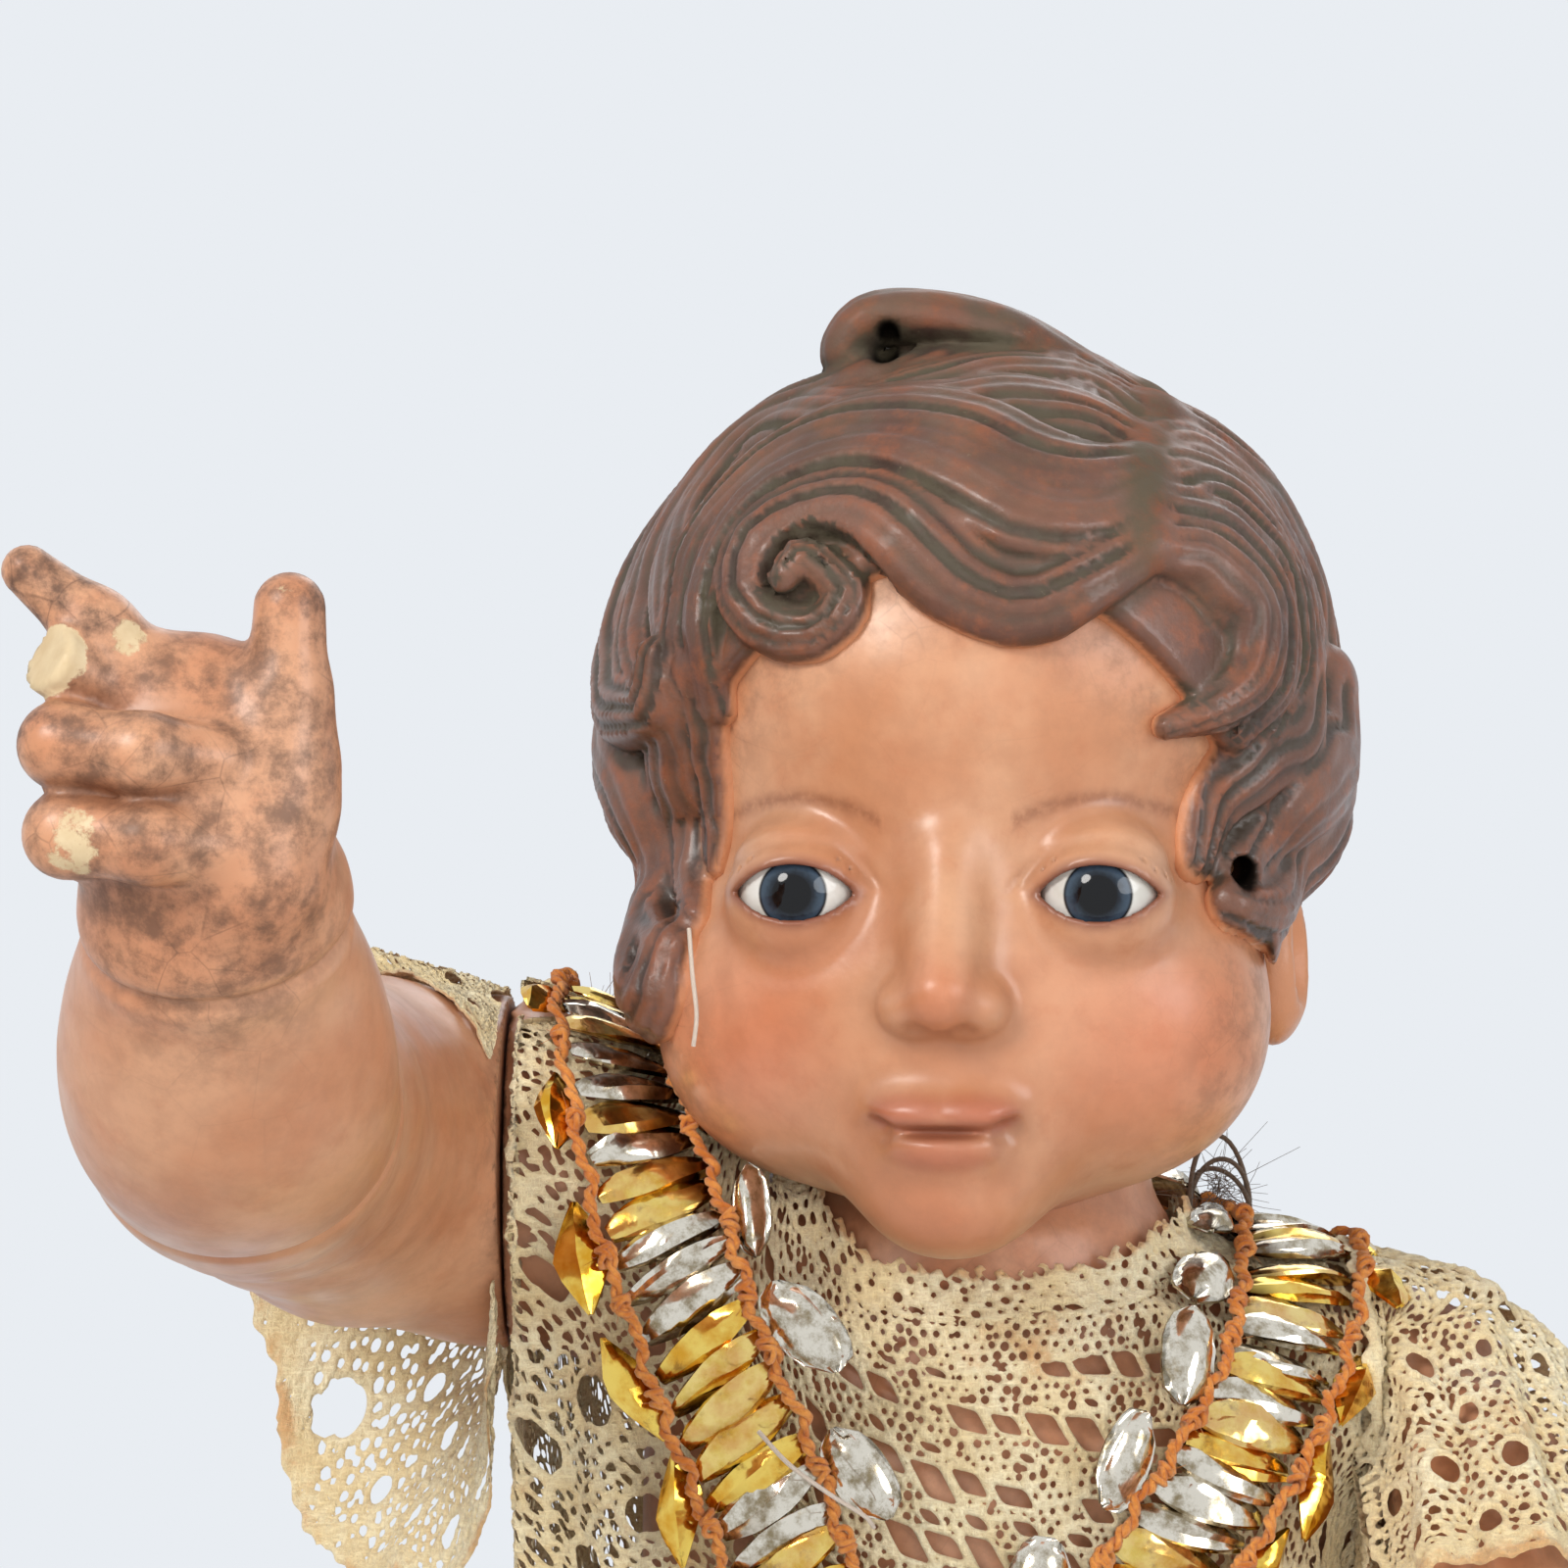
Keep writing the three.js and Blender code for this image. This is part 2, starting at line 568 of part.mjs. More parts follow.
// Head: distances to soft forms give the carved skin
const HEAD_FRAME = new THREE.Matrix4().makeRotationZ(HEAD_TURN).setPosition(HEAD_CENTRE);

function blended(a, b, width) {
  const h = Math.max(width - Math.abs(a - b), 0) / width;
  return Math.min(a, b) - (h * h * width) / 4;
}

function toOvoid(p, form) {
  const q = p.clone().sub(form.at);
  const outer = q.clone().divide(form.size).length();
  const slope = q.clone().divide(form.size).divide(form.size).length();
  return slope < 1e-9 ? -Math.min(form.size.x, form.size.y, form.size.z) : (outer * (outer - 1)) / slope;
}

function toTaper(p, from, to) {
  const way = to.at.clone().sub(from.at);
  const share = THREE.MathUtils.clamp(p.clone().sub(from.at).dot(way) / way.lengthSq(), 0, 1);
  return p.distanceTo(from.at.clone().addScaledVector(way, share)) - mix(from.radius, to.radius, share);
}

// The face is the same on both sides, so it is worked out on the figure's left half
function skin(point) {
  const p = vec(Math.abs(point.x), point.y, point.z);
  let d = blended(toOvoid(p, SKULL), toOvoid(p, BROW), SKIN_BLEND);
  d = blended(d, toOvoid(p, FACE), SKIN_BLEND);
  d = blended(d, toOvoid(p, CHEEK), SKIN_BLEND);
  d = blended(d, toOvoid(p, CHIN), SKIN_BLEND);
  d = blended(d, toOvoid(p, MUZZLE), SKIN_BLEND);
  d = -blended(-d, toOvoid(p, SOCKET), SKIN_BLEND);
  d = blended(d, p.distanceTo(EYE.at) - EYE.radius - LID, FEATURE_BLEND);
  d = blended(d, toTaper(p, NOSE_BRIDGE, NOSE_TIP), FEATURE_BLEND * 1.5);
  d = blended(d, toOvoid(p, NOSTRIL), FEATURE_BLEND);
  d = blended(d, toOvoid(p, UPPER_LIP), FEATURE_BLEND);
  d = blended(d, toOvoid(p, LOWER_LIP), FEATURE_BLEND);
  return -blended(-d, toOvoid(p, LIP_LINE), FEATURE_BLEND / 2);
}

// Distance from the head's centre to the skin, from outside in
function skinReach(way) {
  const step = 1.5;
  let out = 76;
  while (skin(way.clone().multiplyScalar(out)) > 0) out -= step;
  let [low, high] = [out, out + step];
  for (let i = 0; i < 12; i += 1) {
    const middle = (low + high) / 2;
    if (skin(way.clone().multiplyScalar(middle)) > 0) high = middle;
    else low = middle;
  }
  return high;
}

function overHairline(p) {
  const z = p.z - HAIRLINE.z;
  return Math.hypot(p.x / HAIRLINE.x, z / (z > 0 ? HAIRLINE.up : HAIRLINE.down));
}

function hairReach(way) {
  const reach = skinReach(way);
  const p = way.clone().multiplyScalar(reach);
  const front = p.y > 0 ? 1 : ease(overHairline(p), 0.95, 1.15);
  return reach + HAIR_DEPTH * front * ease(p.z, NAPE - 6, NAPE + 4);
}

function starSolid(detail, reach) {
  const ball = new THREE.IcosahedronGeometry(1, detail);
  const at = ball.attributes.position;
  for (let i = 0; i < at.count; i += 1) {
    const way = new Vector3().fromBufferAttribute(at, i).normalize();
    at.setXYZ(i, ...way.multiplyScalar(reach(way)).toArray());
  }
  return solid(ball.applyMatrix4(HEAD_FRAME));
}

function headSolid(geometry) {
  return solid(geometry.applyMatrix4(HEAD_FRAME));
}

// The oval of the sawn face, from the saw cut forward
function faceOval(grow) {
  const sides = 36;
  const ring = (y) => {
    const points = [];
    for (let i = 0; i < sides; i += 1) {
      const turn = (i / sides) * 2 * Math.PI;
      const tall = Math.sin(turn) > 0 ? HAIRLINE.up : HAIRLINE.down;
      points.push(vec((HAIRLINE.x + grow) * Math.cos(turn), y, HAIRLINE.z + (tall + grow) * Math.sin(turn)));
    }
    return points;
  };
  return headSolid(loft([ring(MASK_BACK + grow), ring(MASK_BACK - 70)]));
}

function eyeball(side, grow) {
  const ball = new THREE.IcosahedronGeometry(EYE.radius + grow, 2);
  ball.translate(side * EYE.at.x, EYE.at.y, EYE.at.z);
  return headSolid(ball);
}

function eyeChannel(side, grow, from) {
  const length = MASK_BACK - from + grow;
  const channel = new THREE.CylinderGeometry(EYE.radius + grow, EYE.radius + grow, length, 16);
  channel.translate(side * EYE.at.x, from + length / 2, EYE.at.z);
  return headSolid(channel);
}

function eyeOpening(side) {
  const depth = EYE.radius * 2;
  const slit = new THREE.CylinderGeometry(EYE_OPENING.width / 2, EYE_OPENING.width / 2, depth, 24);
  slit.scale(1, 1, EYE_OPENING.height / EYE_OPENING.width);
  slit.translate(side * EYE.at.x, EYE.at.y - EYE.radius - LID, EYE.at.z);
  return headSolid(slit);
}

const FACE_DETAIL = 9;
const HAIR_DETAIL = 4;
const faceSkin = starSolid(FACE_DETAIL, skinReach);

function eyeWax(side) {
  return eyeChannel(side, 0, EYE.at.y + EYE.radius * 0.5).subtract(eyeball(side, FIT));
}

// Hair locks follow directions given as [azimuth, elevation, lift] from the head's centre
function onHair(azimuth, elevation, lift = 0) {
  const [a, e] = [THREE.MathUtils.degToRad(azimuth), THREE.MathUtils.degToRad(elevation)];
  const way = vec(Math.sin(a) * Math.cos(e), -Math.cos(a) * Math.cos(e), Math.sin(e));
  return way.multiplyScalar(skinReach(way) + HAIR_DEPTH + lift);
}

function hairLock({ path, width, depth, tip = 0.3, steps = 5 }) {
  const curve = new THREE.CatmullRomCurve3(path.map((p) => onHair(...p)));
  const rings = [];
  for (let i = 0; i <= steps; i += 1) {
    const share = i / steps;
    const swell = share < 0.35 ? mix(0.6, 1, share / 0.35) : mix(1, tip, (share - 0.35) / 0.65);
    const out = curve.getPoint(share).normalize();
    const side = curve.getTangent(share).cross(out).normalize();
    const centre = curve.getPoint(share).addScaledVector(out, depth * (0.5 - LOCK_SINK) * swell);
    rings.push(ellipse(centre, side.multiplyScalar(width * swell), out.multiplyScalar(depth * swell), 5));
  }
  return headSolid(loft(rings));
}

function spiral(centre, radius, turns, points, start) {
  const path = [];
  for (let i = 0; i <= points; i += 1) {
    const share = i / points;
    const turn = start + share * turns * 2 * Math.PI;
    const reach = radius * (1 - 0.75 * share);
    path.push([centre[0] + reach * Math.cos(turn), centre[1] + reach * Math.sin(turn), 0.6 + share]);
  }
  return path;
}

const FRONT_LOCKS = [
  {
    path: [[34, 34], [20, 29], [6, 27], [-6, 36], [-16, 43], [-27, 40], [-33, 31]],
    width: 7,
    depth: 4.6,
    tip: 0.8,
  },
  {
    path: spiral(CURL.at, CURL.radius, 1.3, 8, 0.9 * Math.PI),
    width: 4.2,
    depth: 3.6,
    tip: 0.5,
    steps: 9,
  },
  {
    path: [[40, 46], [24, 44], [8, 47], [-8, 58], [-26, 64], [-50, 60], [-64, 46]],
    width: 8,
    depth: 5,
    tip: 0.7,
  },
  {
    path: [[56, 62], [30, 66], [-4, 73, 0.5], [-40, 76, 2], [-70, 72, 2]],
    width: 10,
    depth: 5.5,
    tip: 0.75,
  },
  {
    path: [[-60, 78, 2], [-95, 72, 3], [-130, 78, 1.5]],
    width: 5.5,
    depth: 5,
    tip: 0.7,
  },
  {
    path: [[-36, 54], [-52, 42], [-55, 24], [-48, 10], [-42, -2]],
    width: 7,
    depth: 4.4,
    tip: 0.5,
  },
  {
    path: [[-66, 52], [-76, 34], [-74, 16], [-60, 4], [-52, -8], [-52, -18]],
    width: 8,
    depth: 5.4,
    tip: 0.6,
  },
  {
    path: [[-84, 20], [-74, 2], [-66, -12], [-58, -24], [-70, -32]],
    width: 8,
    depth: 5.6,
    tip: 0.55,
  },
  {
    path: [[40, 40], [54, 38], [64, 28], [62, 14], [52, 4]],
    width: 7.5,
    depth: 4.6,
    tip: 0.5,
  },
  {
    path: [[32, 27], [43, 25], [48, 17], [43, 9], [33, 6]],
    width: 4.6,
    depth: 4,
    tip: 0.4,
  },
  {
    path: [[56, 48], [74, 36], [82, 18], [72, 4], [54, -4]],
    width: 8,
    depth: 5,
    tip: 0.5,
  },
  {
    path: [[84, 12], [80, -4], [64, -12], [50, -16], [52, -24]],
    width: 7.5,
    depth: 5.4,
    tip: 0.55,
  },
];

// Waved locks fall from the crown to the nape all round the back
const BACK_LOCK_COUNT = 6;
const BACK_LOCKS = Array.from({ length: BACK_LOCK_COUNT }, (_, i) => {
  const azimuth = mix(100, 260, i / (BACK_LOCK_COUNT - 1));
  const sway = 9 * (i % 2 ? 1 : -1);
  const wave = [[0, 62], [sway, 38], [-sway, 12], [sway, -12], [0, -27, 1]];
  const path = wave.map(([aside, ...rest]) => [azimuth + aside, ...rest]);
  return { path, width: 8.5, depth: 4.8, tip: 0.6 };
});

// Dress: a shell round the trunk and shoulders that falls in folds to the hem
const DRESS_LEVELS = [HEM, SKIRT, ...TRUNK_LEVELS.filter((level) => level.z > SKIRT.z + 30)];

function dressLevel(z) {
  const above = DRESS_LEVELS.findIndex((level) => level.z >= z);
  const high = DRESS_LEVELS[above < 0 ? DRESS_LEVELS.length - 1 : above];
  const low = DRESS_LEVELS[Math.max((above < 0 ? DRESS_LEVELS.length : above) - 1, 0)];
  const share = high === low ? 0 : (z - low.z) / (high.z - low.z);
  return { z, x: mix(low.x, high.x, share), y: mix(low.y, high.y, share) };
}

function dressRing(z, out) {
  const fall = ease(BELLY.z - z, 0, BELLY.z - HEM.z);
  const wave = (turn) => FOLD_DEPTH * fall * Math.cos(FOLDS * turn + 1.2 * Math.sin(turn));
  return levelRing(dressLevel(z), out, FOLDS * 4, wave);
}

// Levels from the hem to the top of the shell, closer where the trunk swells
function dressHeights() {
  const skirt = [0, 1 / 3, 2 / 3, 1].map((share) => mix(HEM.z, SKIRT.z, share));
  const trunkLevels = [BELLY, RIBS, CHEST].map((level) => level.z);
  const between = [mix(SKIRT.z, HIPS.z, 0.5), HIPS.z, mix(HIPS.z, BELLY.z, 0.5)];
  return [...skirt, ...between, ...trunkLevels, DRESS_TOP];
}

function dressBody(out, below = 0, top = DRESS_TOP) {
  const heights = dressHeights();
  heights[0] -= below;
  heights[heights.length - 1] = top;
  return solid(loft(heights.map((z) => dressRing(z, out))));
}

const DRAPE_SIDES = 10;
function drape(out) {
  return solid(loft(DRAPE.map(({ z, x, wide, deep }) => {
    const [across, along] = [vec(wide + out, 0, 0), vec(0, deep + out, 0)];
    return ellipse(vec(x, 0, z), across, along, DRAPE_SIDES);
  })));
}

function armholeEdge(body) {
  const reach = 300;
  return body
    .subtract(box(vec(-reach, -reach, BELLY.z), vec(RIGHT_SHOULDER.x + FIT, reach, reach * 2)))
    .subtract(box(vec(LEFT_SHOULDER.x - FIT, -reach, BELLY.z), vec(reach, reach, reach * 2)));
}

// The neckline is round as seen from above
const NECKLINE = NECK_RADIUS + NECKLINE_EASE + NECK_BAND.width;
function neckPost(radius) {
  return rod(vec(0, NECK_Y, BELLY.z), vec(0, NECK_Y, HEAD_CENTRE.z), radius, 18);
}

const inside = WORN + WAIST_EASE;
const dressInner = dressBody(inside, LACE, DRESS_TOP - LACE).add(bare(WORN)).add(drape(0));
const dressOuter = dressBody(inside + LACE).add(girdle(WORN + LACE)).add(yoke(WORN + LACE)).add(drape(LACE));
const laceDress = armholeEdge(dressOuter.subtract(dressInner).subtract(neckPost(NECKLINE + FIT)));

// The bodice, and a gore of the skirt to each side, sewn along upright seams between the folds
function seamSlit(turn) {
  const length = HEM.x * 4;
  const slit = new THREE.BoxGeometry(length, FIT, SKIRT_SEAM * 2);
  slit.rotateZ(turn);
  slit.translate(0, TRUNK_Y, SKIRT_SEAM);
  return solid(slit);
}

function dressPart(low, high) {
  const reach = vec(HEM.x * 2, HEM.x * 2, 0);
  return laceDress.intersect(box(reach.clone().negate().setZ(low), reach.clone().setZ(high)));
}

const laceBodice = trimmed(dressPart(SKIRT_SEAM + FIT, HEAD_CENTRE.z));
const gores = dressPart(0, SKIRT_SEAM)
  .subtract(seamSlit(Math.PI / 4))
  .subtract(seamSlit(-Math.PI / 4))
  .decompose();

function goreOn(way) {
  const middle = (gore) => {
    const { min, max } = gore.boundingBox();
    return ((min[0] + max[0]) * way.x + (min[1] + max[1] - 2 * TRUNK_Y) * way.y) / 2;
  };
  return gores.reduce((best, gore) => (middle(gore) > middle(best) ? gore : best));
}

function hemBand() {
  const [top, low] = [HEM.z - FIT, HEM.z - FIT - HEM_BAND];
  const corner = (z, out) => dressRing(z, inside + out);
  const [a, b, c, d] = [corner(top, 0), corner(top, LACE), corner(low, LACE), corner(low, 0)];
  return solid(hoop(a.map((_, i) => [a[i], b[i], c[i], d[i]])));
}

// The gathered band lies on the skin inside the neck opening
function neckBand() {
  const top = WORN + NECK_BAND.thickness;
  const cloth = trunk(top).add(girdle(top)).add(yoke(top)).subtract(bare(WORN));
  return trimmed(cloth.intersect(neckPost(NECKLINE).subtract(neckPost(NECKLINE - NECK_BAND.width))));
}

// Sleeves: each starts on a circle round its joint's axis and is carried by its arm
const SLEEVE_SIDES = 16;
function rightSleeve() {
  const plane = RIGHT_SHOULDER.clone().add(vec(-FIT * 2, 0, 0));
  const out = RIGHT_SLEEVE_OUT.clone().normalize();
  const mouthWay = UP.clone().cross(out).normalize();
  const wall = (grow, over) => {
    const round = RIGHT_SHOULDER_RADIUS + WORN + grow;
    const first = ellipse(plane, vec(0, 0, round), vec(0, round, 0), SLEEVE_SIDES);
    const tall = vec(-2, 0, RIGHT_SLEEVE.drop + grow);
    const wide = out.clone().multiplyScalar(RIGHT_SLEEVE.reach + grow);
    const last = ellipse(RIGHT_SLEEVE.at, tall, wide, SLEEVE_SIDES);
    const rings = [0, 0.35, 0.7, 1].map((share) => first.map((p, i) => {
      const turn = (i / SLEEVE_SIDES) * 2 * Math.PI;
      const flute = SLEEVE_FLARE * 0.5 * share * Math.cos(turn * SLEEVE_FLUTES);
      const radial = last[i].clone().sub(RIGHT_SLEEVE.at).normalize();
      return p.clone().lerp(last[i], share).addScaledVector(radial, flute);
    }));
    if (over) {
      rings.unshift(first.map((p) => p.clone().add(vec(over, 0, 0))));
      rings.push(rings.at(-1).map((p) => p.clone().addScaledVector(mouthWay, over)));
    }
    return solid(loft(rings));
  };
  const shell = wall(LACE, 0).subtract(wall(0, LACE)).subtract(rightArm(WORN));
  return trimmed(beyond(shell, plane.x, -1));
}

function leftSleeve() {
  const wall = (grow, over) => {
    const worn = leftUpperArm().map(([at, width, depth], i) => {
      const flare = SLEEVE_FLARE * 0.5 * i;
      return [at, width + WORN + flare + grow, depth + WORN + flare * 0.4 + grow];
    });
    const way = worn.at(-1)[0].clone().sub(worn.at(-2)[0]).normalize();
    if (over) worn.push([worn.at(-1)[0].clone().addScaledVector(way, over), ...worn.at(-1).slice(1)]);
    return limb(worn, { across: UP, sides: SLEEVE_SIDES }).add(leftDome(WORN + grow));
  };
  const shell = wall(LACE, 0).subtract(wall(0, LACE)).subtract(leftArm(WORN));
  return trimmed(beyond(shell, LEFT_SHOULDER.x + FIT * 2, 1));
}

const laceSleeveRight = rightSleeve();
const laceSleeveLeft = leftSleeve();

// Garland: two cords with foil rolls between them and folded foil leaves outside
const garlandCurve = new THREE.CatmullRomCurve3(GARLAND_ROUTE, true);
const neckEdging = neckBand();
const bedding = [laceBodice, neckEdging, torso, laceSleeveLeft].map(
  (body) => new THREE.Mesh(geometryOf(body), new THREE.MeshBasicMaterial({ side: THREE.DoubleSide })),
);
const finder = new THREE.Raycaster();

// The place on the lace under a point, and the way out of the body there
function bed(point, way) {
  const far = 20;
  finder.set(point.clone().addScaledVector(way, far), way.clone().negate());
  const hit = finder.intersectObjects(bedding)[0];
  return hit && hit.distance < far * 1.6 ? hit.point : point;
}

// Where the garland lies: a centre, the way along, out of the body and across, at even steps round it
const threadOffset = RUNG_REACH + FIT * 2 + GARLAND_CORD_RADIUS * 2 + GARLAND_THREAD_RADIUS;
const GARLAND_HALF = threadOffset + LEAF.width;
const GARLAND_STEPS = 38;
const GARLAND_SMOOTHING = 3;

function laidFrame(share) {
  const at = garlandCurve.getPointAt(share);
  const along = garlandCurve.getTangentAt(share);
  const axis = girdleCentre(THREE.MathUtils.clamp(at.x * 0.75, RIGHT_SHOULDER.x, LEFT_SHOULDER.x));
  const out = at.clone().sub(vec(axis.x, TRUNK_Y, Math.min(at.z - 2, axis.z)));
  out.addScaledVector(along, -out.dot(along)).normalize();
  const across = along.clone().cross(out);
  const under = (s) => bed(at.clone().addScaledVector(across, s), out);
  const [left, right] = [under(-RUNG_REACH), under(RUNG_REACH)];
  const centre = left.clone().lerp(right, 0.5);
  const side = right.clone().sub(left).normalize();
  let rise = 0;
  for (const s of [-GARLAND_HALF, -threadOffset, 0, threadOffset, GARLAND_HALF]) {
    const gap = under(s).sub(centre).addScaledVector(side, -s).dot(out);
    rise = Math.max(rise, Math.min(gap, GARLAND_LIFT * 2));
  }
  return { centre: centre.addScaledVector(out, rise), side, out };
}

function smoothed(values) {
  const count = values.length;
  return values.map((v, i) => v.clone().multiplyScalar(2)
    .add(values[(i + count - 1) % count]).add(values[(i + 1) % count]).divideScalar(4));
}

function garlandRibbon() {
  const frames = Array.from({ length: GARLAND_STEPS }, (_, i) => laidFrame(i / GARLAND_STEPS));
  let [centres, sides, outs] = ['centre', 'side', 'out'].map((key) => frames.map((f) => f[key]));
  for (let pass = 0; pass < GARLAND_SMOOTHING; pass += 1) {
    [centres, sides, outs] = [centres, sides, outs].map(smoothed);
  }
  return [centres, sides, outs].map((points) => new THREE.CatmullRomCurve3(points, true));
}

const [ribbonCentre, ribbonSide, ribbonOut] = garlandRibbon();

function garlandPoint(share, sideways, lift = GARLAND_LIFT) {
  const t = ((share % 1) + 1) % 1;
  const side = ribbonSide.getPoint(t).normalize();
  const out = ribbonOut.getPoint(t).normalize();
  return ribbonCentre.getPoint(t).addScaledVector(side, sideways).addScaledVector(out, lift);
}

function garlandWay(share, sideways) {
  const step = 0.5 / RUNG_COUNT;
  return garlandPoint(share + step, sideways).sub(garlandPoint(share - step, sideways)).normalize();
}

function garlandLoop(sideways, radius, steps, sides) {
  const points = Array.from({ length: steps }, (_, i) => garlandPoint(i / steps, sideways));
  return solid(new THREE.TubeGeometry(new THREE.CatmullRomCurve3(points, true), steps, radius, sides, true));
}

// The foil strip is rolled to and fro between the cords, thickest in the middle of each pass
function foilRolls() {
  const endRadius = RUNG_RADIUS * RUNG_END;
  const rings = [];
  for (let i = 0; i < RUNG_COUNT; i += 1) {
    const way = i % 2 ? -1 : 1;
    const share = i / RUNG_COUNT;
    const lean = 0.12 / RUNG_COUNT;
    const out = ribbonOut.getPoint(share).normalize();
    const along = garlandWay(share, 0);
    const side = ribbonSide.getPoint(share).normalize();
    const pass = along.clone().multiplyScalar(way);
    const bend = pass.clone().sub(side).normalize();
    for (const [s, radius, across] of [[-1, endRadius, bend], [0, RUNG_RADIUS, pass], [1, endRadius, bend]]) {
      const centre = garlandPoint(share + lean * s, s * way * (RUNG_REACH - endRadius));
      const u = across.clone().multiplyScalar(radius);
      rings.push(ellipse(centre, u, out.clone().multiplyScalar(radius), 4));
    }
  }
  return solid(hoop(rings));
}

function foilLeaf(share, side) {
  const out = ribbonOut.getPoint(share).normalize();
  const root = garlandPoint(share, side * (threadOffset - GARLAND_THREAD_RADIUS));
  const edge = garlandPoint(share, side * GARLAND_HALF);
  const middle = root.clone().lerp(edge, 0.5);
  const half = garlandWay(share, side * threadOffset).multiplyScalar(LEAF.length / 2);
  const ridge = out.multiplyScalar(LEAF.thickness);
  const points = [
    middle.clone().sub(half), root, middle.clone().add(half), edge,
    middle.clone().add(ridge), middle.clone().addScaledVector(ridge, -0.5),
  ];
  const faces = [0, 1, 2, 3].flatMap((i) => [i, (i + 1) % 4, 4, (i + 1) % 4, i, 5]);
  return solid(shape(points, faces));
}

const cordOffset = RUNG_REACH + FIT + GARLAND_CORD_RADIUS;
const garlandCord = (side) => garlandLoop(side * cordOffset, GARLAND_CORD_RADIUS, GARLAND_STEPS, 4);
const leafStrand = (side) => {
  const thread = garlandLoop(side * threadOffset, GARLAND_THREAD_RADIUS, GARLAND_STEPS, 3);
  const shares = Array.from({ length: LEAF_COUNT }, (_, i) => (i + 0.5) / LEAF_COUNT);
  const gap = (share, s) => garlandPoint(share - 0.01, s).distanceTo(garlandPoint(share + 0.01, s));
  const roomy = shares.filter((share) => gap(share, side * GARLAND_HALF) > LEAF_ROOM * gap(share, 0));
  const leaves = roomy.map((share) => foilLeaf(share, side));
  return trimmed(join([thread, ...leaves]));
};

// Head and face stand over the neck, the lace and the garland
const garlandRoom = solid(hoop(Array.from({ length: GARLAND_STEPS }, (_, i) => {
  const [wide, thick] = [GARLAND_HALF + FIT, RUNG_RADIUS + FIT];
  return [[-1, -1], [1, -1], [1, 1], [-1, 1]].map(
    ([s, t]) => garlandPoint(i / GARLAND_STEPS, s * wide, GARLAND_LIFT + t * thick),
  );
})));

// Room under the jaw for the neck, and for the lace and its band on the shoulders
const JAW_ROOM = WORN + Math.max(LACE, NECK_BAND.thickness) + FIT;
function overNeck(body) {
  return body.subtract(neck(FIT)).subtract(yoke(JAW_ROOM)).subtract(girdle(JAW_ROOM)).subtract(garlandRoom);
}

let faceMask = overNeck(faceSkin.intersect(faceOval(0)));
for (const side of SIDES) {
  faceMask = faceMask.subtract(eyeball(side, FIT)).subtract(eyeChannel(side, FIT, EYE.at.y));
  faceMask = faceMask.subtract(eyeOpening(side));
}

const overFace = starSolid(FACE_DETAIL, (way) => skinReach(way) + FIT).intersect(faceOval(FIT));
const locks = join([...FRONT_LOCKS, ...BACK_LOCKS].map(hairLock)).subtract(overFace);
const headBlock = trimmed(
  overNeck(starSolid(HAIR_DETAIL, hairReach).subtract(faceOval(FIT)).add(locks))
    .subtract(neckDowel(FIT)),
);

// Assembly
const figure = new THREE.Group();
function add(name, body, look) {
  const mesh = new THREE.Mesh(geometryOf(body), new THREE.MeshStandardMaterial({ metalness: 0, ...look }));
  mesh.name = name;
  figure.add(mesh);
}

add('base_plinth', basePlinth(), BARE_WOOD);
add('foot_dowel_right', footDowel(-1, 0), BARE_WOOD);
add('foot_dowel_left', footDowel(1, 0), BARE_WOOD);
add('torso', torso, FLESH);
add('neck_dowel', neckDowel(0), BARE_WOOD);
add('head_block', headBlock, BROWN);
add('face_mask', faceMask, FLESH);
add('eye_right', eyeball(-1, 0), GLASS);
add('eye_left', eyeball(1, 0), GLASS);
add('eye_wax_right', eyeWax(-1), WAX);
add('eye_wax_left', eyeWax(1), WAX);
add('right_arm', rightArmBody, FLESH);
add('left_arm', leftArmBody, FLESH);
add('right_shoulder_peg', peg(RIGHT_SHOULDER, 0), BARE_WOOD);
add('left_shoulder_peg', peg(LEFT_SHOULDER, 0), BARE_WOOD);
add('lace_bodice', laceBodice, CREAM);
add('lace_skirt_front', goreOn(vec(0, -1, 0)), CREAM);
add('lace_skirt_back', goreOn(vec(0, 1, 0)), CREAM);
add('lace_skirt_right', goreOn(vec(-1, 0, 0)), CREAM);
add('lace_skirt_left', goreOn(vec(1, 0, 0)), CREAM);
add('lace_sleeve_right', laceSleeveRight, CREAM);
add('lace_sleeve_left', laceSleeveLeft, CREAM);
add('neck_edging', neckEdging, CREAM);
add('hem_edging', hemBand(), CREAM);
add('garland_cord_outer', garlandCord(1), ORANGE);
add('garland_cord_inner', garlandCord(-1), ORANGE);
add('garland_foil_rolls', foilRolls(), GOLD);
add('garland_gold_leaves', leafStrand(1), GOLD);
add('garland_silver_leaves', leafStrand(-1), SILVER);

export default figure;
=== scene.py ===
import math

import bpy
import numpy as np
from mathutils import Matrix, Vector
from mathutils.bvhtree import BVHTree


